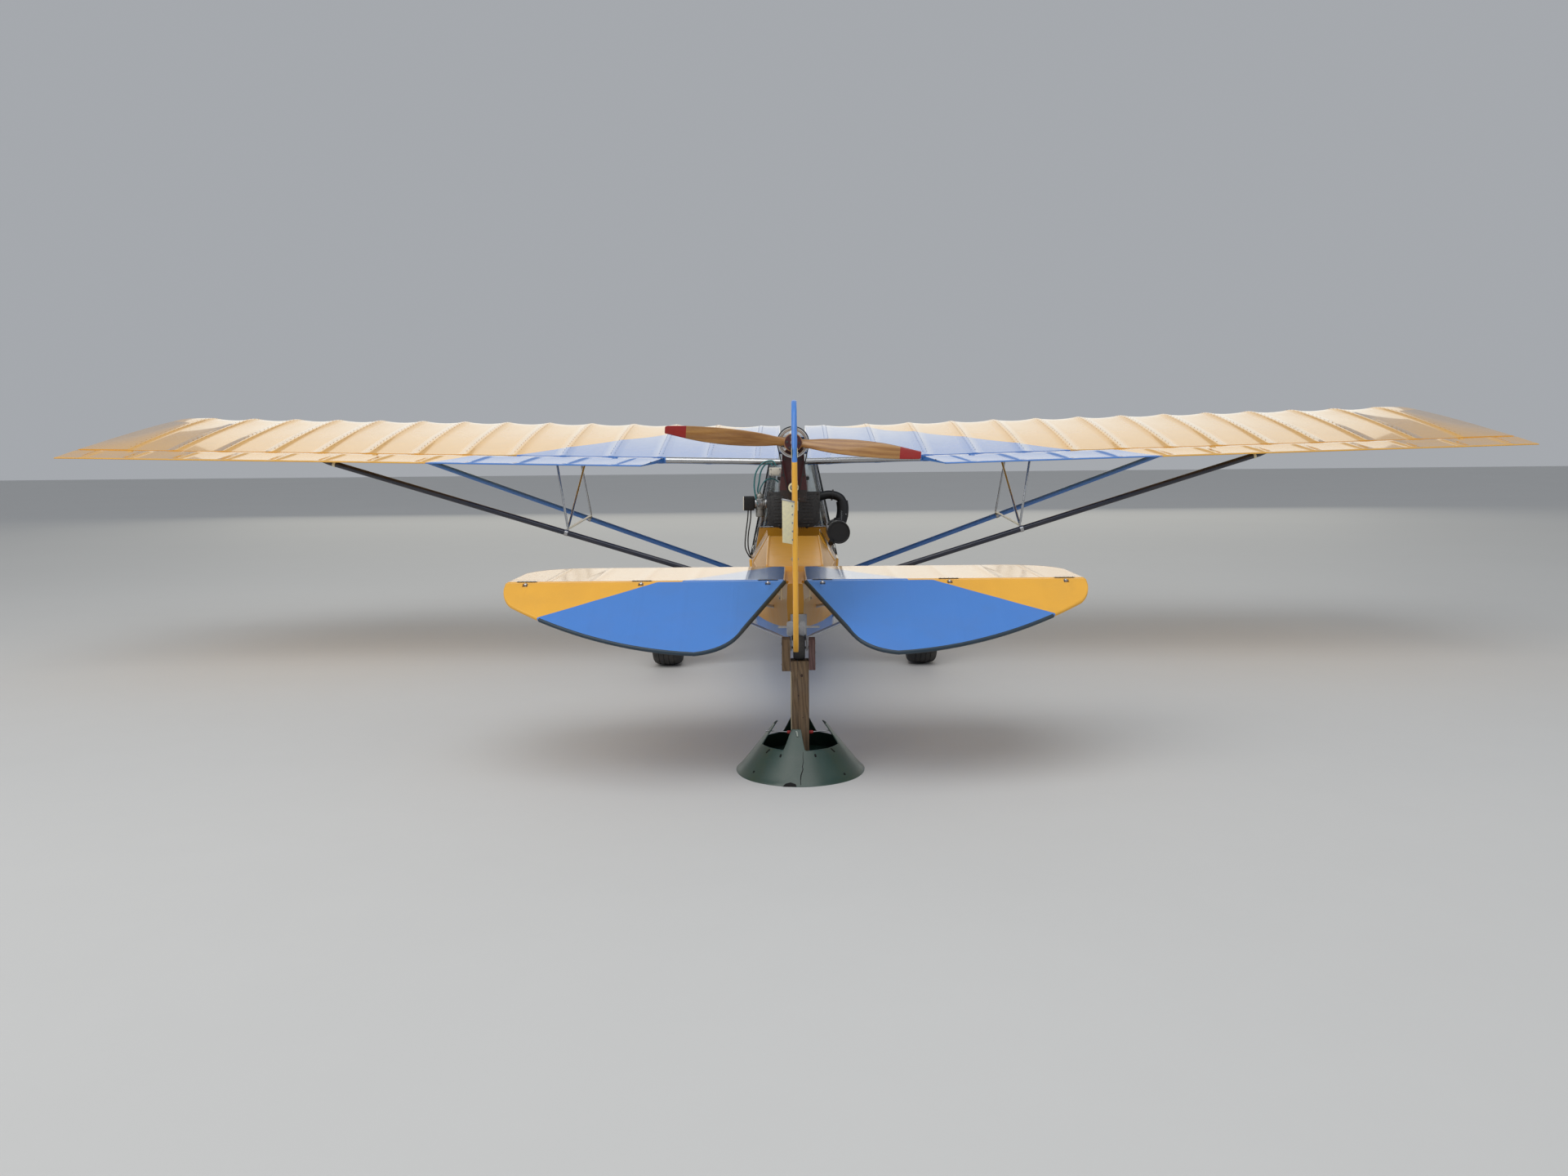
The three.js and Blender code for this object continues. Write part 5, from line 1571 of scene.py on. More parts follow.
@dataclass
class Tail:
    """The stabilisers, elevators, fin and rudder with their hinges, horns, trim tab and braces."""

    height: float = 857.0
    half: float = 1331.0
    root: float = 46.0
    chord: float = 620.0
    droop: float = 28.0
    hinges: tuple[float, ...] = (125.0, 705.0, 1235.0)
    rudder_axis: float = 26.0
    rudder_hinges: tuple[float, ...] = (960.0, 1290.0, 1560.0)

    def build(self) -> None:
        """Makes both sides and the upright surfaces."""
        for side in Side:
            self._stabiliser(side)
            self._elevator(side)
            self._braces(side)
        self._fin()
        self._rudder()

    def _stabiliser(self, side: Side) -> None:
        """Makes one stabiliser with its hinge lugs."""
        bend = (self.half, self.chord - 30)
        outline = [(self.root, 16.0), (self.root, self.chord), (self.half * 0.81, self.chord)]
        outline += curve_points(outline[-1], bend, (self.half, 270.0), 12)
        outline.append((self.half, 16.0))

        def place(span: float, along: float, rise: float) -> Vector:
            """Gives a place on the level surface."""
            return at(side.value * span, along, self.height + rise)

        ClothPanel(
            f"stabiliser_cloth_{side.word}", f"stabiliser_{side.word}", "airframe", STABILISER_CLOTH, outline,
            place,
            26.0, (230.0, 470.0, 700.0, 930.0, 1140.0), sag=1.1, tape_lift=0.3,
        ).build()
        shape = Shape()
        for hinge in self.hinges:
            spot = at(side.value * hinge, 0, self.height)
            shape.add(eye(0.0102, 0.0007), frame_on(spot, ACROSS))
            low = at(side.value * hinge - 4, 8, self.height - 7)
            shape.box(low, at(side.value * hinge + 4, 24, self.height + 7), 0.001)
            shape.box(
                at(side.value * hinge - 46, 19, self.height + 12.6),
                at(side.value * hinge + 46, 29, self.height + 13.8), 0.0005, 1
            )
            for step in (-38, -19, 0, 19, 38):
                head = at(side.value * hinge + step, 24, self.height + 13.8)
                shape.bolt(head, UP, 0.0021)
        shape.piece(f"stabiliser_hinges_{side.word}", [ALUMINIUM, CAST_BLACK], "bare_aluminium")

    def _elevator(self, side: Side) -> None:
        """Makes one drooping elevator with its pins and control horn."""
        inner = self.root + 4
        outline = [(inner, 10.0), (inner, 0.0), (250.0, -400.0)]
        outline += curve_points((250.0, -400.0), (305.0, -505.0), (430.0, -525.0), 8)
        outline += curve_points((430.0, -525.0), (850.0, -490.0), (1272.0, -172.0), 16)
        outline += curve_points((1272.0, -172.0), (1330.0, -110.0), (1330.0, 0.0), 8)
        outline.append((1330.0, 10.0))
        turn = radians(self.droop)

        def place(span: float, along: float, rise: float) -> Vector:
            """Gives a place on the drooping surface."""
            station = along * cos(turn) - rise * sin(turn)
            height = along * sin(turn) + rise * cos(turn)
            return at(side.value * span, station, self.height + height)

        ClothPanel(
            f"elevator_cloth_{side.word}", f"elevator_{side.word}", "elevator", ELEVATOR_CLOTH, outline,
            place, 19.0,
            (270.0, 500.0, 705.0, 910.0, 1110.0), self.hinges, 0.0, 20.0, 0.5, tape_lift=0.12,
            # The navy strip round the inner trailing edge is painted shade
            border=EDGE_SHADE_STRIP,
            border_limit=1140.0,
        ).build()
        shape = Shape()
        for hinge in self.hinges:
            ends = [place(hinge - PIN_HALF, 0, 0), place(hinge + PIN_HALF, 0, 0)]
            shape.add(tube(ends, 0.004, 14))
        horn = [
            (0.0, 0.018), (0.030, 0.008), (0.080, -0.004), (0.080, -0.014), (0.030, -0.012), (0.0, -0.036)
        ]
        base = Matrix(((0, 0, 1, 0), (0, 1, 0, 0), (1, 0, 0, 0), (0, 0, 0, 1)))
        place_at = Matrix.Translation(place(inner + 16, -10, 0)) @ Matrix.Rotation(turn, 4, "X")
        shape.add(plate(horn, 0.0032, 0.0008), place_at @ Matrix.Diagonal((1, 1, -1, 1)) @ base, finish=1)
        tip = place(inner + 17, -18, -73)
        shape.bolt(tip + Vector((side.value * 0.003, 0, 0)), Vector((side.value, 0, 0)), 0.004)
        shape.piece(f"elevator_fittings_{side.word}", [CAST_GREY, CREAM_PAINT], "steel", body="elevator")

    def _braces(self, side: Side) -> None:
        """Makes the two pale tube braces under one stabiliser."""
        shape = Shape()
        under = self.height - 13
        pad = at(side.value * 690, 300, under - 12)
        for x, along, height in ((30, 120, 572), (40, 520, 662)):
            foot = at(side.value * x, along, height)
            reach = pad - foot
            flat = [
                foot, foot + reach * 0.05, foot + reach * 0.09, pad - reach * 0.07, pad - reach * 0.04, pad
            ]
            shape.add(tube(flat, 0.008, 16, [0.0058, 0.0066, 0.008, 0.008, 0.0066, 0.0058]))
            shape.bolt(foot + reach * 0.03 + Vector((0, -0.006, 0)), AFT, 0.005, 1)
        shape.box(
            at(side.value * 690 - 20, 280, under - 16), at(side.value * 690 + 20, 320, under - 0.4), 0.0015, 1
        )
        for along in (288, 312):
            shape.bolt(at(side.value * 690, along, under - 16), -UP, 0.005, 1)
        shape.piece(
            f"brace_tubes_{side.word}", [SILVER_PAINT, STEEL], "navy_paint", [f"tail_brace_{side.word}"]
        )

    def _upright(self, span: float, along: float, rise: float) -> Vector:
        """Gives a place on an upright surface."""
        return at(rise, along, span)

    def _fin(self) -> None:
        """Makes the fin with its hinge lugs."""
        rear = self.rudder_axis + 20
        outline = [(844.0, rear), (844.0, 714.0)]
        outline += curve_points((844.0, 714.0), (1180.0, 420.0), (1560.0, 240.0), 12)
        outline += curve_points((1560.0, 240.0), (1650.0, 190.0), (1660.0, rear), 8)
        ClothPanel(
            "fin_cloth", "fin", "airframe", FIN_CLOTH, outline, self._upright, 24.0,
            (1010.0, 1180.0, 1350.0, 1510.0)
        ).build()
        shape = Shape()
        for hinge in self.rudder_hinges:
            shape.add(eye(0.0102, 0.0007), Matrix.Translation(at(0, self.rudder_axis, hinge)))
            shape.box(at(-7, self.rudder_axis + 7, hinge - 4), at(7, self.rudder_axis + 26, hinge + 4), 0.001)
            for sign in (-1, 1):
                shape.box(at(sign * 12.3 - 1, 44, hinge - 9), at(sign * 12.3 + 1, 92, hinge + 9), 0.0006)
                for along in (56, 80):
                    shape.bolt(at(sign * 13.4, along, hinge), ACROSS * sign, 0.0032)
        shape.piece("fin_hinges", [ALUMINIUM], "bare_aluminium")

    def _rudder(self) -> None:
        """Makes the rudder with its pins, drilled plates and bent trim tab."""
        axis, low, nose_low, high, rear = self.rudder_axis, 571.0, 700.0, 1677.0, -455.0
        outline = [(nose_low, axis)]
        outline += curve_points((nose_low, axis), (nose_low, axis - 136), (low, axis - 210), 8)
        outline += curve_points((low, axis - 210), (low + 20, rear), (860.0, rear), 12)
        outline.append((1400.0, rear + 40))
        outline += curve_points((1400.0, rear + 40), (high, rear + 90), (high, axis - 210), 12)
        outline += curve_points((high, axis - 210), (high, axis - 40), (high - 70, axis), 8)
        ClothPanel(
            "rudder_cloth", "rudder", "rudder", FIN_CLOTH, outline, self._upright, 23.0,
            (760.0, 940.0, 1130.0, 1320.0, 1500.0), self.rudder_hinges, axis, 20.0, 2.4,
        ).build()
        shape = Shape()
        for hinge in self.rudder_hinges:
            shape.add(tube([at(0, axis, hinge - PIN_HALF), at(0, axis, hinge + PIN_HALF)], 0.004, 14))
        lean = Matrix(((1, 0, 0, 0), (0, 1, 0, 0), (-0.2, 0, 1, 0), (0, 0, 0, 1)))
        tab = Matrix.Translation(at(-2, -426, 1158)) @ Matrix.Rotation(radians(37), 4, "Z") @ lean
        shape.add(
            block(Vector((-0.063, -0.0016, -0.089)), Vector((0.0, 0.0016, 0.089)), 0.0008), tab, finish=1
        )
        shape.add(block(Vector((-0.065, -0.003, 0.086)), Vector((0.0, 0.003, 0.093)), 0.001), tab)
        for index in range(5):
            spot = tab @ Vector((-0.012, -0.0016, -0.07 + 0.035 * index))
            shape.bolt(spot, tab.to_3x3() @ AFT, 0.0026)
        for height in (1450.0, 1230.0):
            for sign in (-1, 1):
                edge = rear + 40 * (height - 860) / 540
                shape.box(
                    at(sign * 11.9 - 1, edge + 4, height - 20), at(sign * 11.9 + 1, edge + 44, height + 20),
                    0.0008, 1
                )
        shape.piece("rudder_fittings", [ALUMINIUM, CREAM_PAINT], "bare_aluminium", body="rudder")


def loop_points(corners: Sequence[Pair], round_by: float, sunk: float, steps: int = 6) -> list:
    """Gives a closed loop with round corners and sides that sink inward between them.

    Args:
        corners: the corners in order, counter-clockwise.
        round_by: distance from a corner where its rounding begins.
        sunk: how far the middle of a side sinks.
        steps: number of steps along a side.

    Returns:
        The points.
    """
    points = []
    count = len(corners)
    for index in range(count):
        before, here, after = (Vector((*corners[(index + shift) % count], 0)) for shift in (-1, 0, 1))
        start = here + (before - here).normalized() * round_by
        end = here + (after - here).normalized() * round_by
        points += [start, (start + here * 2 + end) / 4, end]
        far = after + (here - after).normalized() * round_by
        inward = Vector((-(far - end).y, (far - end).x, 0)).normalized()
        for step in range(1, steps):
            share = step / steps
            points.append(end.lerp(far, share) + inward * sunk * 4 * share * (1 - share))
    return [(point.x, point.y) for point in points]


@dataclass
class Rear:
    """The cloth of the rear fuselage, with frames and seam tapes."""

    sections: tuple[tuple[float, ...], ...] = (
        (1900.0, 925.0, 760.0, 352.0, 158.0, 252.0, 232.0),
        (1000.0, 886.0, 770.0, 470.0, 152.0, 178.0, 150.0),
        (650.0, 866.0, 768.0, 513.0, 148.0, 153.0, 104.0),
        (630.0, 843.7, 766.0, 515.0, 146.0, 151.0, 102.0),
        (300.0, 843.7, 760.0, 556.0, 58.0, 76.0, 58.0),
        (92.0, 843.7, 760.0, 575.0, 36.0, 40.0, 32.0),
    )
    frames: tuple[float, ...] = (1900.0, 1580.0, 1280.0, 1000.0, 820.0, 650.0, 630.0, 460.0, 300.0, 92.0)
    sag: float = 0.9
    least_span: float = 60.0

    def section(self, station: float) -> tuple[float, ...]:
        """Gives the section's sizes at a station."""
        for front, back in zip(self.sections, self.sections[1:]):
            if back[0] <= station <= front[0]:
                share = (front[0] - station) / (front[0] - back[0])
                return tuple(a + (b - a) * share for a, b in zip(front, back))
        return self.sections[-1]

    def ring(self, station: float, sunk: float) -> list[Vector]:
        """Gives the ring of the cloth at a station."""
        _, top, shoulder, low, top_half, shoulder_half, low_half = self.section(station)
        corners = [(low_half, low), (shoulder_half, shoulder), (top_half, top)]
        corners += [(-x, z) for x, z in reversed(corners)]
        size = min(12.0, top_half * 0.3)
        return [at(x, station, z) for x, z in loop_points(corners, size, sunk)]

    def build(self) -> None:
        """Makes the cloth with its tapes."""
        rows = []
        for front, back in zip(self.frames, self.frames[1:]):
            span = front - back
            for step in range(7 if span > self.least_span else 1):
                share = step / 7
                rows.append(self.ring(front - share * span, self.sag * 4 * share * (1 - share)))
        rows.append(self.ring(self.frames[-1], 0.0))
        shape = Shape().add(lofted(rows))
        for x_index, z_index, wide in ((6, 3, 13.0), (5, 2, 11.0), (4, 1, 9.0)):
            for sign in (-1, 1):
                path = []
                for station in (*range(1892, 660, -60), 651, 629, *range(570, 96, -60)):
                    section = self.section(station)
                    path.append(at(sign * section[x_index], station, section[z_index]))
                shape.add(self._seam(path, wide, sign))
        shape.piece("aft_cloth", [AFT_CLOTH], "yellow_fabric", ["aft_fuselage"], angle=50.0)

    def _seam(self, path: Sequence[Vector], wide: float, sign: int) -> BMesh:
        """Makes the low ridge of the tube under the cloth along an edge.

        Args:
            path: the edge.
            wide: half its width.
            sign: the side it lies on.

        Returns:
            The ridge.
        """
        inward = Vector((-sign * wide * 0.62 * MM, 0, 0))
        return tube([point + inward for point in path], wide * MM * 0.72, 10)


@dataclass
class Drive:
    """The belt drive on its plate, with both pulleys and the belt."""

    upper: float = 1505.0
    lower: float = 1222.0
    upper_radius: float = 100.0
    lower_radius: float = 40.0
    belt_rear: float = 2042.0
    width: float = 42.0
    plate_rear: float = 2100.0
    engine_rear: float = 2250.0

    def build(self) -> None:
        """Makes the plate, the pulleys and the belt."""
        self._plate()
        self._upper_pulley()
        self._lower_pulley()
        self._belt()

    def _facing_rear(self, across: float, station: float, height: float) -> Matrix:
        """Gives the matrix that turns a part's Z axis toward the tail."""
        return frame_on(at(across, station, height), AFT)

    def _plate(self) -> None:
        """Makes the drive plate with its edge flanges, bearing housing, shafts and bolts."""
        outline = [(0.080, 1.128), (0.088, 1.21), (0.073, 1.38), (0.062, 1.52), (0.030, 1.552)]
        outline += [(-x, z) for x, z in reversed(outline)]
        shape = Shape().add(
            plate(outline, 0.014, 0.003), Matrix.Translation(at(0, self.plate_rear, 0)) @ STANDING
        )
        shape.box(
            at(-30, self.plate_rear + 13, 1130), at(30, self.engine_rear - 0.5, 1210), 0.006, segments=3
        )
        for sign in (-1, 1):
            rows = []
            for x, z in ((80, 1132), (87, 1210), (72, 1380), (61, 1514)):
                ring = [(x - 4, 2113), (x, 2113), (x, 2128), (x - 4, 2128)]
                rows.append([at(sign * across, station, z) for across, station in ring])
            shape.add(rounded(lofted(rows), 0.0012))
            for x, z in ((46, 1494), (54, 1400), (68, 1300), (70, 1160), (34, 1146)):
                shape.bolt(at(sign * x, self.plate_rear, z), AFT, 0.0055, 3)
        housing = [
            (0.0125, 0), (0.037, 0), (0.040, 0.003), (0.040, 0.008), (0.032, 0.011), (0.030, 0.013),
            (0.0125, 0.013)
        ]
        shape.add(turned(housing, 36), self._facing_rear(0, self.plate_rear, self.upper))
        small = [(r * 0.72, h) for r, h in housing]
        shape.add(turned(small, 32), self._facing_rear(0, self.plate_rear, self.lower), finish=2)
        axle = [(0, 0), (0.012, 0), (0.012, 0.155), (0.0105, 0.159), (0, 0.159)]
        shape.add(turned(axle, 24), self._facing_rear(0, self.plate_rear + 1, self.upper), finish=1)
        crank = [(0, 0), (0.009, 0), (0.009, 0.060), (0.008, 0.061), (0, 0.061)]
        shape.add(turned(crank, 24), self._facing_rear(0, self.plate_rear + 1, self.lower), finish=1)
        finishes = [MAROON_PAINT, STEEL, CAST_GREY, CAST_BLACK]
        shape.piece("drive_plate_dressed", finishes, "maroon_paint", ["drive_plate"])

    def _upper_pulley(self) -> None:
        """Makes the wide grooved pulley with its two rims, five spokes and hub."""
        shape = Shape()
        origin = frame_on(at(0, self.belt_rear, self.upper), AHEAD)
        rim = [(0.086, 0.001), (0.0885, 0), (0.096, 0), (0.0968, 0.0012), (0.0968, 0.0040)]
        for index in range(8):
            groove = 0.0058 + index * 0.0042
            rim += [(0.0968, groove), (0.0948, groove + 0.0012), (0.0948, groove + 0.0026)]
        rim += [
            (0.0968, 0.0395), (0.096, 0.042), (0.0885, 0.042), (0.086, 0.041), (0.0845, 0.034),
            (0.0845, 0.008)
        ]
        shape.add(turned(rim, 72), origin)
        inner = [
            (0.076, 0.0115), (0.0812, 0.0098), (0.0846, 0.0098), (0.0846, 0.031), (0.0812, 0.031),
            (0.076, 0.029)
        ]
        shape.add(turned(inner, 72), origin)
        hub = [
            (0.0124, -0.0325), (0.040, -0.0325), (0.0438, -0.029), (0.0438, -0.004), (0.040, 0.0),
            (0.034, 0.004)
        ]
        hub += [(0.032, 0.036), (0.029, 0.042), (0.0124, 0.042)]
        shape.add(turned(hub, 48), origin)
        for index in range(5):
            turn = Matrix.Rotation(TURN * (index + 0.5) / 5, 4, "Z")
            arm = [
                (0.030, -0.017), (0.060, -0.010), (0.080, -0.015), (0.080, 0.015), (0.060, 0.010),
                (0.030, 0.017)
            ]
            shape.add(plate(arm, 0.012, 0.0025), origin @ turn @ Matrix.Translation((0, 0, 0.014)))
            shape.bolt(origin @ turn @ Vector((0.036, 0.010, -0.0325)), AFT, 0.004, 1)
        shape.piece(
            "upper_pulley_wheel", [POLISHED, STEEL], "bare_aluminium", ["upper_pulley"], 38.0, "propeller"
        )

    def _lower_pulley(self) -> None:
        """Makes the small crank pulley with its pale face ring."""
        origin = self._facing_rear(0, self.belt_rear + self.width, self.lower)
        shape = Shape()
        body = [(0.0094, 0), (0.034, 0), (0.036, 0.002), (0.036, 0.042), (0.034, 0.0425), (0.0345, 0.0405)]
        body += [(0.019, 0.0395), (0.0094, 0.0395)]
        shape.add(turned(body, 40), origin, finish=1)
        ring = [(0.0205, 0.0396), (0.0215, 0.0432), (0.0318, 0.0432), (0.033, 0.0396)]
        shape.add(turned(ring, 48), origin)
        washer = [(0.0094, 0.0392), (0.017, 0.0392), (0.017, 0.0418), (0.0094, 0.0418)]
        shape.add(turned(washer, 32), origin, finish=2)
        finishes = [CREAM_PAINT, CAST_BLACK, STEEL]
        shape.piece("lower_pulley_wheel", finishes, "cream_plastic", ["lower_pulley"], body="crank_pulley")

    def _belt(self) -> None:
        """Makes the belt, ribbed lengthwise on its inside."""
        lean = asin((self.upper_radius - self.lower_radius) / (self.upper - self.lower))
        spots = []
        for step in range(33):
            angle = -lean + step / 32 * (pi + 2 * lean)
            spots.append((cos(angle), sin(angle), self.upper_radius, self.upper))
        for step in range(25):
            angle = pi + lean + step / 24 * (pi - 2 * lean)
            spots.append((cos(angle), sin(angle), self.lower_radius, self.lower))
        section = [
            (-3.0, 5.6), (-1.6, 5.0), (2.6, 5.0), (3.0, 5.6), (3.0, 36.4), (2.6, 37.0), (-1.6, 37.0),
            (-3.0, 36.4)
        ]
        for index in range(7, 0, -1):
            middle = 5.6 + (index - 0.5) * 4.4
            section += [(-3.0, middle + 1.4), (-1.2, middle), (-3.0, middle - 1.4)]
        rows = []
        for across, rise, radius, height in spots:
            rows.append([
                at(across * (radius + grow), self.belt_rear + along, height + rise * (radius + grow))
                for grow, along in section
            ])
        Shape().add(looped(rows)).piece(
            "drive_belt_ribbed", [BLACK_RUBBER], "rubber", ["drive_belt"], angle=28.0
        )


@dataclass
class Propeller:
    """The two wooden blades on their shaft, with the maroon clamp plate."""

    station: float = 1982.0
    height: float = 1505.0
    radius: float = 804.0
    half: float = 27.0
    tilt: float = 5.5
    # distance from the hub, chord, thickness, pitch in degrees, sweep toward the leading edge
    rows: tuple[tuple[float, ...], ...] = (
        (14.0, 56.0, 40.0, 36.0, 0.0), (60.0, 54.0, 36.0, 34.0, 0.0), (110.0, 64.0, 28.0, 31.0, 0.0),
        (170.0, 82.0, 25.0, 28.0, 0.0), (230.0, 96.0, 22.0, 26.0, 0.0), (310.0, 105.0, 19.0, 22.5, 0.0),
        (400.0, 108.0, 16.0, 19.0, 0.0), (480.0, 105.0, 14.0, 16.5, 1.0), (560.0, 98.0, 12.0, 14.0, 2.0),
        (630.0, 88.0, 10.5, 13.0, 4.5), (671.0, 80.0, 9.5, 12.3, 6.2), (750.0, 61.0, 8.0, 11.0, 9.0),
        (785.0, 52.0, 7.4, 10.2, 10.0), (800.0, 46.0, 6.4, 10.0, 9.0), (804.0, 34.0, 4.0, 10.0, 7.0),
    )

    def build(self) -> None:
        """Makes the blades and the hub."""
        turn = Matrix.Translation(at(0, self.station, self.height)) @ Matrix.Rotation(
            radians(self.tilt), 4, "Y"
        )
        shape = Shape()
        for side in (-1, 1):
            shape.add(self._blade(side), turn)
        hub = [
            (0.0124, -0.027), (0.052, -0.027), (0.058, -0.021), (0.058, 0.021), (0.052, 0.027),
            (0.0124, 0.027)
        ]
        shape.add(turned(hub, 48), turn @ Matrix.Rotation(radians(90), 4, "X"))
        wood = shape.piece(
            "propeller_blades", [BLADE_WOOD], "propeller_wood", ["propeller"], 50.0, "propeller"
        )
        self._paint_edges(wood)
        self._clamp(turn)

    def _blade(self, side: int) -> BMesh:
        """Makes one blade round the hub's own middle."""
        rings = []
        for out, chord, thick, pitch, sweep in self.rows:
            angle = radians(90 - pitch) * side
            ring = []
            for index in range(28):
                around = TURN * index / 28
                along, rise = cos(around), sin(around)
                camber = 0.5 + 0.5 * rise if rise > 0 else 0.30
                u = (chord / 2 * along - sweep) * MM
                v = thick / 2 * copysign(abs(rise) ** 0.8, rise) * (0.75 + camber * 0.3) * MM
                ring.append(Vector((
                    side * out * MM, v * sin(angle) * side + u * cos(angle),
                    u * sin(angle) - v * cos(angle) * side,
                )))
            rings.append(ring)
        return lofted(rings)

    def _paint_edges(self, wood: bpy.types.Object) -> None:
        """Gives the blades their dark edge strips and their red tips."""
        mesh = wood.data
        for finish in (BLACK_PLASTIC, RED_PAINT):
            mesh.materials.append(finish.material())
        turn = Matrix.Rotation(radians(-self.tilt), 3, "Y")
        for face in mesh.polygons:
            spot = turn @ (face.center - at(0, self.station, self.height))
            normal = turn @ face.normal
            if abs(spot.x) > 0.671:
                face.material_index = 2
            elif abs(spot.x) > 0.21 and normal.z * spot.x > 0 and abs(normal.z) > 0.80:
                face.material_index = 1

    def _clamp(self, turn: Matrix) -> None:
        """Makes the clamp plates with their bolts and the end nut."""
        shape = Shape()
        rear = turn @ Matrix.Rotation(radians(90), 4, "X")
        disc = [
            (0.0122, 0.0272), (0.051, 0.0272), (0.053, 0.0292), (0.053, 0.034), (0.050, 0.0365),
            (0.026, 0.0365)
        ]
        disc += [(0.024, 0.039), (0.0122, 0.039)]
        shape.add(turned(disc, 48), rear)
        for a, b in around(6, 0.038):
            shape.bolt(rear @ Vector((a, b, 0.0365)), rear.to_3x3() @ UP, 0.0055, 2)
        shape.add(
            turned([(0, 0.039), (0.016, 0.039), (0.0165, 0.040), (0.015, 0.0402), (0, 0.0402)], 24), rear,
            finish=1
        )
        shape.piece("propeller_clamp", [MAROON_PAINT, STEEL, CAST_BLACK], "maroon_paint", body="propeller")


@dataclass
class Exhaust:
    """The muffler on the right-hand side with its elbow, flanges and outlet."""

    across: float = 292.0
    height: float = 925.0
    rear: float = 2170.0
    front: float = 2500.0
    radius: float = 73.0

    def build(self) -> None:
        """Makes the muffler and its pipes."""
        shape = Shape()
        length = (self.front - self.rear) * MM
        r = self.radius * MM
        can = [
            (0, 0.008), (r * 0.55, 0.004), (r * 0.86, 0.005), (r * 0.93, 0.0), (r, 0.001), (r, 0.012)
        ]
        can += [(r * 0.975, 0.014), (r * 0.975, length * 0.33), (r, length * 0.335), (r, length * 0.37)]
        can += [
            (r * 0.975, length * 0.375), (r * 0.975, length - 0.014), (r, length - 0.012), (r, length - 0.001)
        ]
        can += [(r * 0.93, length), (r * 0.86, length - 0.005), (0, length - 0.006)]
        shape.turn(can, at(self.across, self.rear, self.height), AHEAD, 56)
        route = [
            at(158, 2470, 1140), at(200, 2470, 1152), at(240, 2470, 1158), at(286, 2466, 1150),
            at(318, 2460, 1130), at(334, 2450, 1092), at(336, 2440, 1050), at(322, 2430, 1010),
            at(300, 2420, 978),
        ]
        shape.add(tube(smooth_path(route, 5), 0.0285, 28))
        for spot, axis in (
            (at(176, 2470, 1145), Vector((1, 0, 0.28))), (at(262, 2469, 1156), Vector((1, 0, -0.12))),
            (at(330, 2433, 1024), Vector((-0.4, -0.2, -1))),
        ):
            flange = [(0.028, -0.004), (0.037, -0.004), (0.0375, 0), (0.037, 0.004), (0.028, 0.004)]
            place = frame_on(spot, axis.normalized())
            shape.add(turned(flange, 36), place)
            for a, b in around(3, 0.037):
                shape.bolt(place @ Vector((a, b, -0.004)), -axis.normalized(), 0.004, 1)
        sleeve = smooth_path(
            [at(325, 2448, 1114), at(330, 2442, 1072), at(327, 2436, 1026), at(316, 2430, 984)], 5
        )
        shape.add(tube(sleeve, 0.0395, 32))
        collar = [(0.029, 0), (0.040, 0), (0.036, 0.020), (0.029, 0.022)]
        shape.turn(collar, at(302, 2421, 978), Vector((0.25, 0.15, 1)).normalized(), 32)
        outlet = smooth_path(
            [at(262, 2205, 890), at(252, 2195, 880), at(243, 2168, 866), at(238, 2150, 856)], 4
        )
        shape.add(tube(outlet, 0.0165, 24))
        for station in (2225, 2440):
            band = hoop(r + 0.0002, r + 0.0016, 0.016)
            shape.turn(band, at(self.across, station, self.height), AHEAD, 48, 1)
            shape.box(at(216, station + 2, 936), at(228, station + 14, 968), 0.0015, 1)
        for station in (2236, 2438):
            spring = [at(312, station, 1002 + 2.4 * k) + Vector((
                cos(k * 1.1) * 0.004, sin(k * 1.1) * 0.004, 0)) for k in range(0, 26)]
            shape.add(tube(spring, 0.0011, 5), finish=1)
        shape.piece("muffler_dressed", [EXHAUST_BLACK, STEEL], "engine_black", ["muffler"])


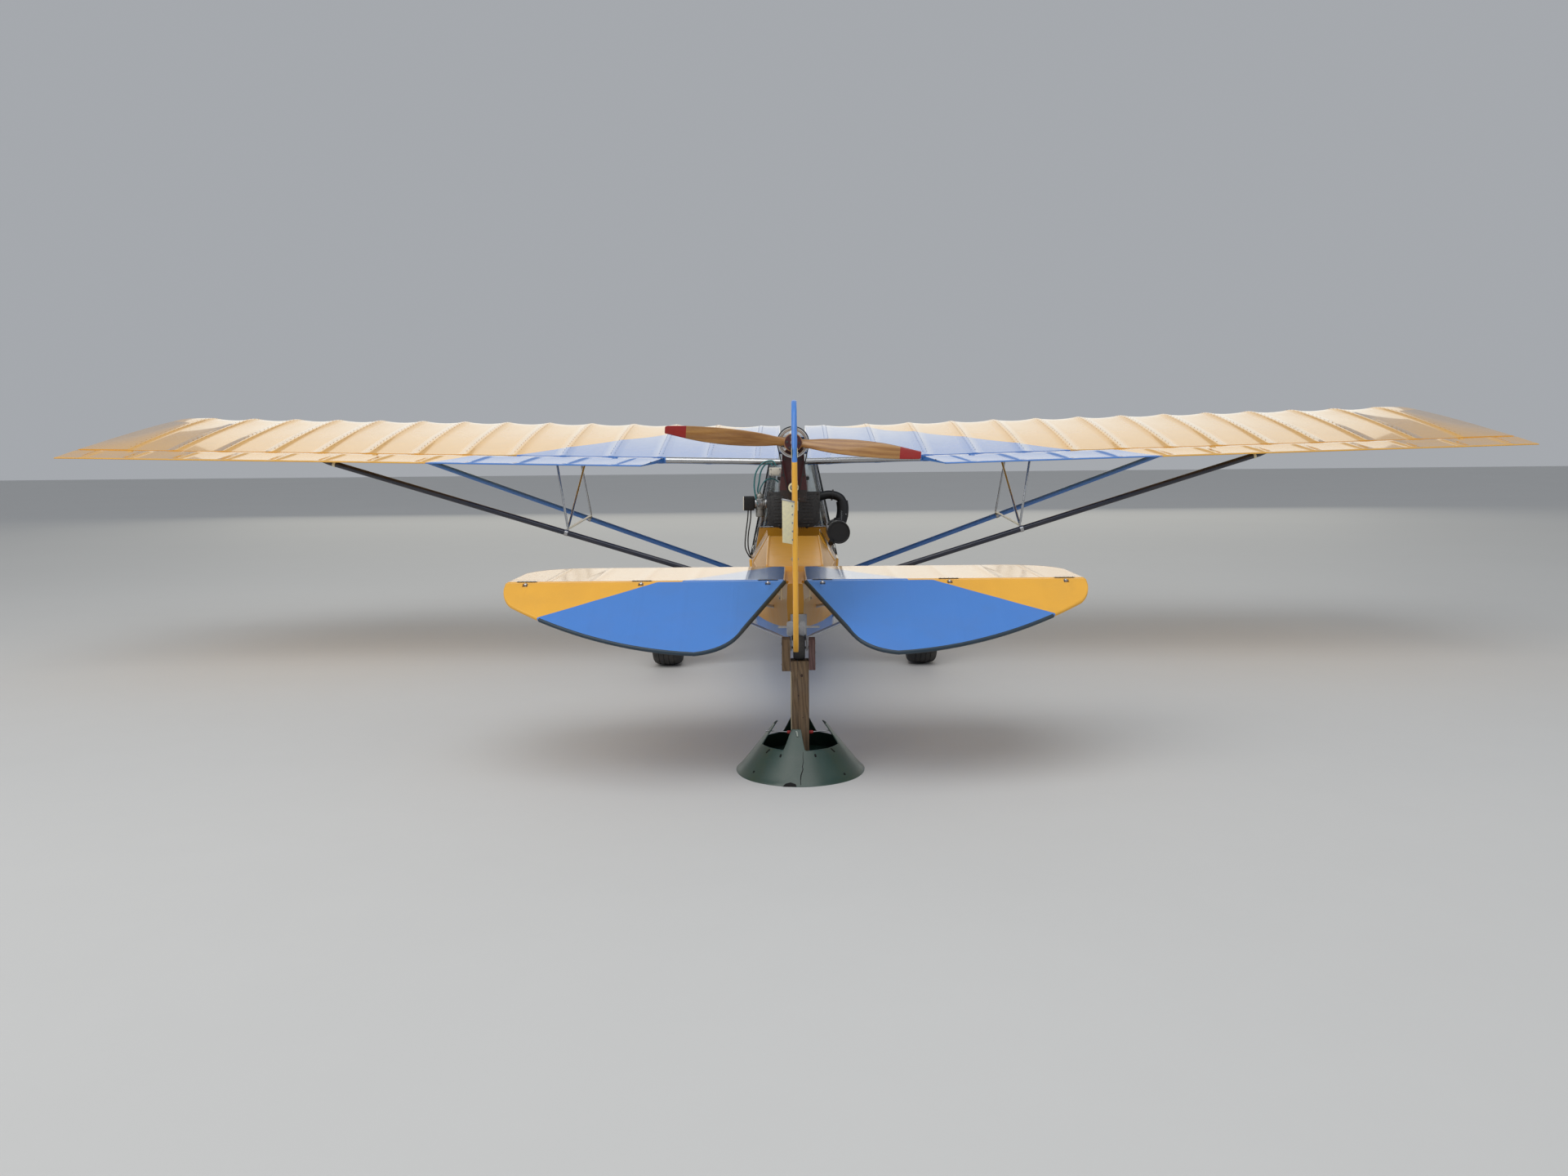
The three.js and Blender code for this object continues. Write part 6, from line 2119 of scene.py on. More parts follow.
@dataclass
class Intake:
    """The carburettor on the left-hand side with its clamps, filter, cables and hoses."""

    station: float = 2365.0
    height: float = 1110.0

    def build(self) -> None:
        """Makes the carburettor, the filter and the hoses."""
        shape = Shape()
        y, z = self.station, self.height
        shape.box(at(-248, y - 30, z - 34), at(-196, y + 30, z + 34), 0.010, segments=3)
        bowl = [
            (0, 0), (0.024, 0), (0.028, 0.005), (0.029, 0.052), (0.033, 0.055), (0.033, 0.064), (0, 0.064)
        ]
        shape.turn(bowl, at(-222, y, z - 90), UP, 32, 1)
        cap = [
            (0, 0), (0.025, 0), (0.025, 0.012), (0.028, 0.014), (0.028, 0.030), (0.024, 0.038), (0.009, 0.042)
        ]
        cap += [(0.009, 0.052), (0, 0.052)]
        shape.turn(cap, at(-222, y, z + 22), UP, 32, 1)
        for sign in (-1, 1):
            screw = [(0, 0), (0.006, 0), (0.006, 0.010), (0.0045, 0.012), (0.0045, 0.022), (0, 0.022)]
            shape.turn(screw, at(-232, y + sign * 28, z - 6), Vector((0, sign, 0)), 16, 2)
        throat = peg(0.029, 0.07)
        shape.turn(throat, at(-193, y, z), -ACROSS, 32, 1)
        for x in (-206, -242):
            band = hoop(0.029, 0.0318, 0.011)
            shape.turn(band, at(x, y, z), -ACROSS, 36, 2)
            shape.box(at(x - 10, y - 8, z + 31), at(x - 1, y + 8, z + 38), 0.0015, 2)
        shape.box(at(-330, y - 43, z - 46), at(-256, y + 43, z + 46), 0.014, 3, segments=4)
        for index in range(9):
            x = -325 + index * 7.6
            shape.box(at(x, y - 44.6, z - 40), at(x + 3.4, y + 44.6, z + 40), 0.0012, 3)
            shape.box(at(x, y - 36, z - 47.2), at(x + 3.4, y + 36, z + 47.2), 0.0012, 3)
        shape.box(at(-332, y - 42, z - 45), at(-325, y + 42, z + 45), 0.003, 4)
        neck = [(0, 0), (0.027, 0), (0.031, 0.004), (0.031, 0.014), (0, 0.014)]
        shape.turn(neck, at(-246, y, z), -ACROSS, 32, 3)
        lever = smooth_path([at(-230, y - 34, z - 20), at(-222, y - 52, z - 4), at(-214, y - 46, z + 24)], 5)
        shape.add(tube(lever, 0.003, 8), finish=2)
        finishes = [CAST_GREY, MOTTLED, STEEL, BLACK_RUBBER, CREAM_PLASTIC]
        shape.piece("carburettor_dressed", finishes, "steel", ["carburettor"])
        self._box()
        self._hoses()

    def _box(self) -> None:
        """Makes the pale pump box on its bracket beside the crankcase."""
        shape = Shape()
        shape.box(at(-158, 2352, 1291), at(-76, 2392, 1344), 0.004, segments=3)
        shape.box(at(-150, 2349, 1298), at(-84, 2353, 1337), 0.0015)
        shape.box(at(-98, 2356, 1262), at(-80, 2388, 1293), 0.002, 1)
        for x, z in ((-146, 1302), (-88, 1302), (-146, 1333), (-88, 1333)):
            shape.bolt(at(x, 2349, z), AFT, 0.0032, 1)
        for x in (-136, -112):
            nipple = [(0, 0), (0.004, 0), (0.005, 0.008), (0.004, 0.016), (0, 0.016)]
            shape.turn(nipple, at(x, 2372, 1342), UP, 14, 1)
        shape.piece("pump_box", [CREAM_PLASTIC, STEEL], "cream_plastic")

    def _hoses(self) -> None:
        """Makes the teal fuel hoses and the black cables under the filter."""
        routes = {
            "fuel_hose_upper": (TEAL_HOSE, 0.0052, [
                (-136, 2372, 1356), (-150, 2371, 1374), (-186, 2370, 1362), (-214, 2368, 1316),
                (-226, 2366, 1250), (-236, 2366, 1196), (-228, 2365, 1172),
            ]),
            "fuel_hose_lower": (TEAL_HOSE, 0.0052, [
                (-112, 2372, 1356), (-138, 2366, 1388), (-198, 2362, 1376), (-244, 2356, 1316),
                (-258, 2350, 1236), (-252, 2346, 1170), (-240, 2340, 1116), (-238, 2336, 1104),
            ]),
            "fuel_hose_return": (TEAL_HOSE, 0.0044, [
                (-92, 2420, 1240), (-130, 2410, 1268), (-180, 2396, 1262), (-212, 2384, 1220),
                (-224, 2374, 1180), (-222, 2370, 1160),
            ]),
            "throttle_cable": (BLACK_RUBBER, 0.0042, [
                (-300, 2352, 1065), (-304, 2346, 1008), (-318, 2340, 900), (-322, 2344, 820),
                (-300, 2356, 764), (-284, 2366, 745),
            ]),
            "choke_cable": (BLACK_RUBBER, 0.0042, [
                (-282, 2360, 1065), (-286, 2362, 1000), (-302, 2370, 900), (-304, 2384, 820),
                (-292, 2396, 764), (-286, 2399, 744),
            ]),
        }
        for name, (finish, radius, spots) in routes.items():
            path = smooth_path([at(*spot) for spot in spots], 5)
            piece = Shape().add(tube(path, radius, 12)).piece(name, [finish], "rubber")


@dataclass
class Stand:
    """The wooden post with its cheeks in the lobed green base."""

    across: float = 17.0
    station: float = -51.0
    board: float = 41.5
    depth: float = 89.0
    top: float = 509.7
    cheek_low: float = 465.0
    cheek_high: float = 610.0
    floor: float = 292.0
    neck: float = 122.0
    height: float = 214.0
    wall: float = 6.0
    rim: float = 132.0
    flare: float = 5.0
    flare_height: float = 10.0

    def build(self) -> None:
        """Makes the post and the base."""
        self._post()
        self._base()
        self._rods()

    def _post(self) -> None:
        """Makes the boards with a pale strip down the post's front left edge, knots and screws."""
        x, y, deep = self.across, self.station, self.depth / 2
        shape = Shape()
        boards = (
            (x - self.board, x - 9.4, 0.0, self.top, 0),
            (x - 8.9, x + self.board, 0.0, self.top, 0),
            (x - self.board - 39, x - self.board - 0.5, self.cheek_low, self.cheek_high, 0),
            (x + self.board + 0.5, x + self.board + 30, self.cheek_low + 4, self.cheek_high - 2, 1),
        )
        for low_x, high_x, low_z, high_z, finish in boards:
            shape.box(at(low_x, y - deep, low_z), at(high_x, y + deep, high_z), 0.0024, finish)
        for spot_x, spot_z, size in ((26.0, 445.0, 7.5), (10.0, 352.0, 4.0), (30.0, 250.0, 3.0)):
            knot = turned(
                [(0, 0), (size * MM, 0), (size * 0.86 * MM, 0.0008), (size * 0.3 * MM, 0.0014), (0, 0.0012)],
                20
            )
            squeeze = Matrix.Diagonal((0.75, 1.0, 1.0, 1.0))
            shape.add(knot, frame_on(at(spot_x, y - deep - 0.2, spot_z), AFT) @ squeeze, finish=2)
        # A pale strip down the post's front left corner
        edge = x - self.board
        shape.box(at(edge - 0.5, y - deep - 0.5, 190), at(edge + 4, y - deep + 6, 462), 0.0006, 4)
        for spot_z in (492, 545, 588):
            for sign, reach in ((-1, self.board + 39), (1, self.board + 30)):
                head = at(x + sign * reach, y - 18, spot_z)
                shape.bolt(head, ACROSS * sign, 0.004, 3)
        finishes = [PLANK_WOOD, PLUM_WOOD, KNOT_WOOD, STEEL, PALE_WOOD]
        shape.piece("stand_boards", finishes, "plank_wood", ["stand_post"])

    def outer(self, height: float) -> float:
        """Gives the shell's outer radius at a height, with a slight flare at the foot."""
        share = height / self.height
        cone = self.floor - (self.floor - self.neck) * share
        return cone + self.flare * exp(-height / self.flare_height) - self.flare * share * (1 - share)

    def edge(self, angle: float) -> float:
        """Gives the height of the shell's upper edge at an angle in degrees from the right-hand side."""
        rise = 0.0
        for middle, half in ((8, 24), (90, 24), (172, 24), (261, 13)):
            away = abs((angle - middle + 180) % 360 - 180)
            share = min(1.0, max(0.0, (half + 3 - away) / 6))
            rise = max(rise, share * share * (3 - 2 * share))
        return self.rim + (self.height - self.rim) * rise

    def _base(self) -> None:
        """Makes the hollow shell with its lobes, its slots and crack as painted shade, and the web that holds
        the post.
        """
        columns = 240
        levels = 16
        centre = at(self.across, self.station, 0)

        def spot(column: int, row: int) -> Vector:
            """Gives a place on the shell, outside first, then over the edge and down inside."""
            angle = 360 * column / columns
            top = self.edge(angle)
            level = row if row <= levels else 2 * levels + 1 - row
            height = top * level / levels
            inset = 0.0 if row <= levels else self.wall
            turn = radians(angle)
            radius = self.outer(height) - inset + 0.9 * sin(7 * turn) * (1 - level / levels)
            return centre + Vector((radius * MM * cos(turn), radius * MM * sin(turn), height * MM))

        shell = skin(spot, columns, 2 * levels + 1, wrap=True)
        rows = [edge for edge in shell.edges if edge.is_boundary]
        bmesh.ops.bridge_loops(shell, edges=rows)
        bmesh.ops.recalc_face_normals(shell, faces=shell.faces[:])
        shape = Shape().add(rounded(shell, 0.0016, 2, 50.0))
        half, deep = (self.board + 0.4) * MM, (self.depth / 2 + 0.4) * MM
        outer = around(48)
        low_z, high_z = 0.040, 0.046
        radius = (self.outer(43.0) - self.wall / 2) * MM
        web = []
        for z in (low_z, high_z):
            web.append([centre + Vector((radius * a, radius * b, z)) for a, b in outer])
        for z in (high_z, low_z):
            ring = []
            for a, b in outer:
                reach = min(half / max(abs(a), 1e-6), deep / max(abs(b), 1e-6))
                ring.append(centre + Vector((a * reach, b * reach, z)))
            web.append(ring)
        shape.add(looped(web))
        self._marks(shape)
        shape.piece("stand_base_shell", [GREEN_PLASTIC, DIAL_BLACK_AND_HOLE_SHADE, PALE_CORD], "green_plastic", ["stand_base"])

    def _marks(self, shape: Shape) -> None:
        """Adds the slots, holes, crack and notch as near-black plates of painted shade, and the pale cleat on
        the shell.
        """
        centre = at(self.across, self.station, 0)
        slope = atan2(self.height, self.floor - self.neck)

        def on_shell(angle: float, height: float, lift: float = 0.5) -> Matrix:
            """Gives the matrix that lays a part on the outside of the shell."""
            turn = radians(angle)
            radius = self.outer(height) + lift
            place = centre + Vector((radius * cos(turn), radius * sin(turn), height)) * MM
            out = Vector((cos(turn) * sin(slope), sin(turn) * sin(slope), cos(slope)))
            up = Vector((-cos(turn) * cos(slope), -sin(turn) * cos(slope), sin(slope)))
            across = up.cross(out)
            return Matrix.Translation(place) @ Matrix((across, up, out)).transposed().to_4x4()

        # Slots and holes: near-black plates of painted shade on the shell
        for angle, height, wide, tall, tip in (
            (222, 118, 0.0035, 0.013, -0.5), (244, 110, 0.0045, 0.008, 0.0), (289, 112, 0.0045, 0.008, 0.0),
            (318, 120, 0.0035, 0.013, 0.5), (218, 32, 0.006, 0.006, 0.0), (316, 26, 0.006, 0.006, 0.0),
        ):
            shape.add(
                plate(round_outline(wide, tall, wide * 0.98, 6), 0.0012),
                on_shell(angle, height, -0.3) @ Matrix.Rotation(tip, 4, "Z"), finish=1
            )
        path = [
            (273.5, 128), (272.8, 108), (273.2, 92), (271.8, 74), (272.2, 62), (270.2, 42), (269.6, 22),
            (269.9, 6)
        ]
        sizes = [0.0009, 0.0012, 0.0014, 0.0018, 0.0022, 0.0026, 0.0020, 0.0016]
        crack = [on_shell(angle, height, -0.4).translation for angle, height in path]
        shape.add(tube(crack, 0.002, 8, sizes), finish=1)
        notch = [(-0.052, 0.0), (-0.040, 0.014), (-0.018, 0.020), (0.004, 0.013), (0.010, 0.0)]
        foot = on_shell(264.5, 1.2, -0.25)
        shape.add(plate(notch, 0.0012, 0.0003), foot, finish=1)
        shape.add(
            tube(
                smooth_path(
                    [
                        on_shell(262, 208, 3).translation, on_shell(264, 200, 5).translation,
                        on_shell(265, 188, 3).translation
                    ],
                    5
                ),
                0.0032, 10
            ),
            finish=2
        )

    def _rods(self) -> None:
        """Makes the two thin rods from the side lobes to the post, with their red ends."""
        shape = Shape()
        for sign, reach in ((-1, 154), (1, 132)):
            inner = at(self.across + sign * (self.board + 0.2), self.station - 20, 176)
            outer = at(self.across + sign * reach, self.station - 20, 184)
            shape.add(tube([inner, inner.lerp(outer, 0.5), outer], 0.0028, 12))
            shape.turn(
                [(0, 0), (0.0075, 0), (0.008, 0.003), (0.008, 0.014), (0.006, 0.018), (0, 0.018)], inner,
                Vector((sign, 0, 0.08)).normalized(), 20, 1
            )
            shape.turn(peg(0.005, 0.004), outer, Vector((sign, 0, 0.08)).normalized(), 16)
        shape.piece("stand_rods", [STEEL, RED_PLASTIC], "steel")


@dataclass
class Struts:
    """The lift struts and jury struts under one wing, with their end fittings."""

    side: Side
    reach: float = 3210.0
    radius: float = 19.0
    front: Triple = (3420.0, 296.0, 500.0)
    rear: Triple = (2505.0, 292.0, 530.0)
    jury_place: float = 1528.0
    jury_radius: float = 8.0

    def ends(self, strut: Triple) -> tuple[Vector, Vector]:
        """Gives the lower and upper end of a strut."""
        station, across, height = strut
        top = at(self.side.value * self.reach, station, under_wing(station, self.reach) - 2)
        return at(self.side.value * across, station, height), top

    def build(self) -> None:
        """Makes both lift struts and the jury struts."""
        word = self.side.word
        for name, strut, finish, slot in (
            ("front_strut", self.front, BLUE_PAINT, "blue_paint"),
            ("rear_strut", self.rear, NAVY_PAINT, "navy_paint")
        ):
            low, high = self.ends(strut)
            run = high - low
            shape = Shape()
            body = [low + run * share for share in (0.0, 0.006, 0.03, 0.5, 0.97, 0.994, 1.0)]
            sizes = [self.radius * MM * factor for factor in (0.55, 0.62, 1.0, 1.0, 1.0, 0.62, 0.55)]
            shape.add(tube(body, self.radius * MM, 28, sizes))
            for share, sign in ((0.012, 1), (0.988, -1)):
                centre = low + run * share
                across = AHEAD
                shape.add(
                    tube([low + run * (share - 0.012), low + run * (share + sign * 0.022)], 0.0125, 16),
                    finish=1
                )
                for along in (-1, 1):
                    shape.bolt(centre + across * along * 0.012, across * along, 0.006, 1)
            ring = [(0.0192, 0), (0.0207, 0.001), (0.0207, 0.017), (0.0192, 0.018)]
            for share in (0.045, 0.955):
                shape.turn(ring, low + run * share, run.normalized(), 32, 2)
            shape.piece(f"{name}_tube_{word}", [finish, STEEL, CREAM_PAINT], slot, [f"{name}_{word}"])
        self._jury(word)

    def _jury(self, word: str) -> None:
        """Makes the jury struts with their clamps on the lift struts."""
        shape = Shape()
        feet = []
        for strut in (self.front, self.rear):
            low, high = self.ends(strut)
            share = (self.side.value * self.jury_place * MM - low.x) / (high.x - low.x)
            spot = low.lerp(high, share)
            feet.append(spot + Vector((0, 0, (self.radius + self.jury_radius + 2) * MM)))
            clamp = [(0.0196, 0), (0.0222, 0.001), (0.0222, 0.023), (0.0196, 0.024)]
            shape.turn(clamp, spot, (high - low).normalized(), 32, 1)
            low_lug = spot + Vector((-0.005, -0.005, 0.020))
            shape.box(low_lug, low_lug + Vector((0.010, 0.010, 0.020)), 0.001, 1)
            shape.bolt(spot + Vector((0, -0.005, 0.031)), AFT, 0.0048, 1)
        front, rear = feet
        side = self.side.value

        def top(station: float, across: float) -> Vector:
            """Gives a place just under the wing."""
            return at(side * across, station, under_wing(station, across) - 1)

        legs = (
            (rear, front), (rear, top(self.rear[0] + 60, self.jury_place + 75)),
            (rear, top(self.front[0] - 220, self.jury_place - 40)),
            (front, top(self.front[0], self.jury_place + 90)),
        )
        for index, (low, high) in enumerate(legs):
            run = high - low
            path = [low, low + run * 0.02, low + run * 0.05, high - run * 0.05, high - run * 0.02, high]
            sizes = [self.jury_radius * MM * factor for factor in (0.6, 0.7, 1.0, 1.0, 0.7, 0.6)]
            shape.add(tube(path, self.jury_radius * MM, 16, sizes), finish=0 if index else 2)
            if index:
                shape.box(
                    high + Vector((-0.012, -0.02, -0.003)), high + Vector((0.012, 0.02, 0.001)), 0.001, 1
                )
        finishes = [ALUMINIUM, STEEL, CREAM_PAINT]
        shape.piece(f"jury_tubes_{word}", finishes, "bare_aluminium", [f"jury_struts_{word}"])


@dataclass
class Flaperon:
    """One full-span flaperon of cloth over ribs, with open slots round its hinges."""

    side: Side
    axis: float = FLAPERON_AXIS
    height: float = FLAPERON_HEIGHT
    nose: float = 14.0
    trailing: float = 2200.0
    trailing_height: float = 1341.0
    edge: float = 3.0
    inner_nose: float = 862.0
    inner_trailing: float = 985.0
    outer: float = 4792.0
    hinges: tuple[float, ...] = FLAPERON_HINGES
    pitch: float = RIB_PITCH
    tape: float = 15.0

    def build(self) -> None:
        """Makes the cloth and the pins."""
        places = {self.inner_nose, self.inner_nose + 2, self.outer, self.outer - 2}
        ribs = [0.5 * self.pitch + FIRST_RIB + self.pitch * index for index in range(2, 14)]
        ribs = [rib for rib in ribs if self.inner_nose + 40 < rib < self.outer - 40]
        for rib in ribs:
            places |= {
                rib - self.tape - TAPE_STEP, rib - self.tape, rib + self.tape, rib + self.tape + TAPE_STEP
            }
        lines = [self.inner_nose, *ribs, self.outer]
        for low, high in zip(lines, lines[1:]):
            places |= {low + (high - low) * step / 5 for step in range(1, 5)}
        for hinge in self.hinges:
            places = {place for place in places if abs(place - hinge) > PIN_HALF}
            places |= {hinge + sign * reach for sign in (-1, 1) for reach in (CUT_HALF, CUT_HALF + CUT_STEP)}
        ordered = sorted(places)
        rows = []
        for place in ordered:
            low = max(line for line in lines if line <= place + 0.01)
            high = min(line for line in lines if line >= place - 0.01)
            share = (place - low) / (high - low) if high > low else 0.0
            lift = 0.7 if any(abs(place - rib) <= self.tape + NEAR for rib in ribs) else 0.0
            cut = any(abs(place - hinge) <= CUT_HALF + NEAR for hinge in self.hinges)
            rows.append(self.ring(place, 2.6 * 4 * share * (1 - share), lift, cut))
        word = self.side.word
        shape = Shape().add(lofted(rows))
        body = f"flaperon_{word}"
        shape.piece(f"flaperon_cloth_{word}", [FLAPERON_CLOTH], "yellow_fabric", [body], 44.0, body)
        fittings = Shape()
        for hinge in self.hinges:
            ends = [self._spot(hinge + reach, self.axis, self.height) for reach in (-PIN_HALF, PIN_HALF)]
            fittings.add(tube(ends, 0.004, 14))
        inner = [(self.inner_nose + 14, self.axis - 26), (self.inner_nose + 70, self.axis - 150)]
        for across, station in inner:
            fittings.bolt(self._spot(across, station, self._top(station) + 0.4), UP, 0.004)
        fittings.piece(f"flaperon_pins_{word}", [STEEL], "steel", body=body)

    def _spot(self, across: float, station: float, height: float) -> Vector:
        """Gives a place on the flaperon."""
        return at(self.side.value * across, station, height + DIHEDRAL * across)

    def _top(self, station: float) -> float:
        """Gives the height of the upper surface behind the nose."""
        share = (self.axis - station) / (self.axis - self.trailing)
        return self.height + self.nose + (self.trailing_height + self.edge - self.height - self.nose) * share

    def ring(self, place: float, sunk: float, lift: float, cut: bool) -> list[Vector]:
        """Gives the ring of points at a place along the span.

        Args:
            place: distance from the middle at the nose.
            sunk: how far the cloth sinks.
            lift: height of the tape.
            cut: whether the nose is cut away there.

        Returns:
            The points.
        """
        rake = (place - self.inner_nose) / (self.outer - self.inner_nose)
        rear_place = self.inner_trailing + (self.outer - 8 - self.inner_trailing) * rake
        points = []
        for step in range(13):
            angle = pi * step / 12 - pi / 2
            station = self.axis + self.nose * cos(angle)
            points.append((0.0, station, self.height + self.nose * sin(angle)))
        low_edge = self.trailing_height - self.edge
        top_edge = self.trailing_height + self.edge
        for step in range(1, 8):
            share = step / 8
            swell = sin(pi * share)
            rise = self.height + self.nose + (top_edge - self.height - self.nose) * share
            points.append(
                (share, self.axis + (self.trailing - self.axis) * share, rise + lift - sunk * swell)
            )
        for height in (top_edge, self.trailing_height, low_edge):
            reach = self.trailing if height != self.trailing_height else self.trailing - 2.5
            points.append((1.0, reach, height))
        for step in range(7, 0, -1):
            share = step / 8
            swell = sin(pi * share)
            rise = self.height - self.nose + (low_edge - self.height + self.nose) * share
            points.append(
                (share, self.axis + (self.trailing - self.axis) * share, rise - lift + sunk * swell * 0.6)
            )
        limit = self.axis - self.nose - 8
        ring = []
        for share, station, height in points:
            across = place + (rear_place - place) * share
            ring.append(self._spot(across, min(station, limit) if cut else station, height))
        return ring


@dataclass
class Wheel:
    """A main wheel or the nose wheel: its grooved tyre and its bolted hub."""

    word: str
    body: str
    place: float
    station: float
    radius: float
    width: float
    rim: float
    axle: float

    def build(self) -> None:
        """Makes the tyre and the hub."""
        centre = at(self.place, self.station, self.radius)
        along = frame_on(centre, ACROSS)
        half, r = self.width / 2 * MM, self.radius * MM
        rim = self.rim * MM
        profile = [(rim + 0.0004, -half * 0.60), (rim + 0.008, -half * 0.74), (r * 0.66, -half * 0.88)]
        profile += [(r * 0.74, -half * 0.955), (r * 0.80, -half * 0.955), (r * 0.805, -half * 0.935)]
        profile += [(r * 0.86, -half * 0.93), (r * 0.92, -half * 0.85), (r * 0.958, -half * 0.72)]
        for groove in (-0.52, -0.20, 0.12, 0.44):
            crown = r * (1 - 0.016 * (groove / 0.5) ** 2)
            profile += [(crown, groove * half), (crown - 0.004, groove * half + 0.002)]
            profile += [(crown - 0.004, groove * half + 0.005), (crown, groove * half + 0.007)]
        mirror = [(a, -b) for a, b in reversed(profile[:9])]
        profile += mirror
        shape = Shape().add(turned(profile, 96), along)
        valve = frame_on(centre + Vector((half * 0.5, 0, rim * 0.8)), Vector((1, 0, 0.3)).normalized())
        stem = [(0, 0), (0.0028, 0), (0.0028, 0.018), (0.0034, 0.019), (0.0034, 0.026), (0, 0.026)]
        tyre = self.word.replace("wheel", "tyre")
        shape.piece(f"{self.word}_tread", [TYRE_RUBBER], "tyre", [tyre], 40.0, self.body)
        hub = Shape()
        bore = (self.axle + 0.3) * MM
        dish = [(bore, -half * 0.7), (bore + 0.014, -half * 0.7), (bore + 0.018, -half * 0.64)]
        dish += [(rim * 0.62, -half * 0.34), (rim * 0.84, -half * 0.34), (rim * 0.90, -half * 0.52)]
        dish += [
            (rim, -half * 0.62), (rim, -half * 0.56), (rim * 0.93, -half * 0.40), (rim * 0.93, half * 0.40)
        ]
        dish += [(rim, half * 0.56), (rim, half * 0.62), (rim * 0.90, half * 0.52), (rim * 0.84, half * 0.34)]
        dish += [
            (rim * 0.62, half * 0.34), (bore + 0.018, half * 0.64), (bore + 0.014, half * 0.7),
            (bore, half * 0.7)
        ]
        hub.add(turned(dish, 64), along)
        for sign in (-1, 1):
            for a, b in around(6, rim * 0.72):
                hub.bolt(centre + Vector((sign * half * 0.34, a, b)), ACROSS * sign, 0.0058, 1)
        hub.add(turned(stem, 12), valve, finish=2)
        finishes, node = [ALUMINIUM, STEEL, BLACK_RUBBER], self.word.replace("wheel", "hub")
        hub.piece(f"{self.word}_dish", finishes, "bare_aluminium", [node], body=self.body)


@dataclass
class Gear:
    """The main legs with their braces and axles, the nose fork, and the tail wheel under its white fork."""

    place: float = 865.0
    station: float = 2527.0
    radius: float = 205.0
    width: float = 205.0

    def build(self) -> None:
        """Makes the legs, the forks and the wheels."""
        for side in Side:
            Wheel(f"main_wheel_{side.word}", f"main_wheel_{side.word}", side.value * self.place, self.station,
                  self.radius, self.width, 105.0, 10.0).build()
            self._leg(side)
        Wheel("nose_wheel", "nose_wheel", 0.0, 4880.0, 150.0, 84.0, 72.0, 8.0).build()
        self._nose_fork()
        self._tail()

    def _leg(self, side: Side) -> None:
        """Makes one main leg with its drag brace, axle and end nut."""
        sign = side.value
        inner = sign * (self.place - self.width * 0.5 - 28)
        knee = at(inner, self.station, self.radius + 6)
        root = at(sign * 263, self.station, 350)
        rear = at(sign * 264, self.station + 480, 345)
        shape = Shape()
        for low, radius in ((root, 0.022), (rear, 0.014)):
            run = knee - low
            path = [low, low + run * 0.04, knee - run * 0.05, knee]
            shape.add(tube(path, radius, 24, [radius * 0.86, radius, radius, radius * 0.9]))
            band = [(radius, 0), (radius + 0.0016, 0.001), (radius + 0.0016, 0.018), (radius, 0.019)]
            shape.turn(band, low + run * 0.08, run.normalized(), 28, 1)
        for centre, half in ((root, 26), (rear, 20)):
            low = centre + Vector((-0.004, -half * MM, -half * MM))
            shape.box(low, low + Vector((0.008, half * 2 * MM, half * 2 * MM)), 0.002, 1)
        edges = sorted((inner, inner + sign * 24))
        shape.box(
            at(edges[0], self.station - 24, self.radius - 24),
            at(edges[1], self.station + 24, self.radius + 30), 0.004, segments=3
        )
        stub = [
            at(inner, self.station, self.radius),
            at(sign * (self.place + self.width * 0.36), self.station, self.radius)
        ]
        shape.add(tube(stub, 0.010, 24), finish=1)
        nut = stub[1] + Vector((-sign * 0.0005, 0, 0))
        shape.bolt(nut, ACROSS * sign, 0.0115, 1)
        shape.piece(
            f"gear_leg_tube_{side.word}", [NAVY_PAINT, STEEL], "navy_paint", [f"gear_leg_{side.word}"]
        )

    def _nose_fork(self) -> None:
        """Makes the nose fork."""
        shape = Shape().add(merged_copy("nose_fork", 0.003, 3))
        for sign in (-1, 1):
            shape.bolt(at(sign * 58, 4880, 150), ACROSS * sign, 0.010, 1)
            for z in (300, 270):
                shape.bolt(at(sign * 58, 4880, z), ACROSS * sign, 0.0045, 1)
        shape.piece("nose_fork_dressed", [NAVY_PAINT, STEEL], "steel", ["nose_fork"], body="nose_fork")

    def _tail(self) -> None:
        """Makes the white fork plates and the small solid tail wheel."""
        shape = Shape().add(merged_copy("tail_fork", 0.0012, 2), finish=1)
        for low, high in ((-41, -9), (17, 47)):
            middle, half = (low + high) / 2 * MM, (high - low) / 2 * MM
            outline = [(middle + x, 0.634 + z) for x, z in round_outline(half, 0.036, half * 0.92, 6)]
            shape.add(plate(outline, 0.010, 0.003), Matrix.Translation(at(0, 68, 0)) @ STANDING)
        shape.box(at(-82, 70, 637), at(112, 76, 647), 0.002)
        for sign in (-1, 1):
            shape.bolt(at(15 + sign * 38, -51, 566), ACROSS * sign, 0.007, 1)
        shape.piece("tail_fork_dressed", [WHITE_PAINT, STEEL], "bare_aluminium", ["tail_fork"])
        profile = [
            (0.0063, -0.027), (0.010, -0.027), (0.012, -0.021), (0.026, -0.021), (0.030, -0.026),
            (0.044, -0.027)
        ]
        profile += [(0.051, -0.024), (0.055, -0.016), (0.056, -0.004)]
        profile += [(r, -y) for r, y in reversed(profile)]
        wheel = Shape().add(turned(profile, 64), frame_on(at(15, -51, 566), ACROSS))
        wheel.piece("tail_wheel_tread", [TYRE_RUBBER], "tyre", ["tail_wheel"], body="tail_wheel")


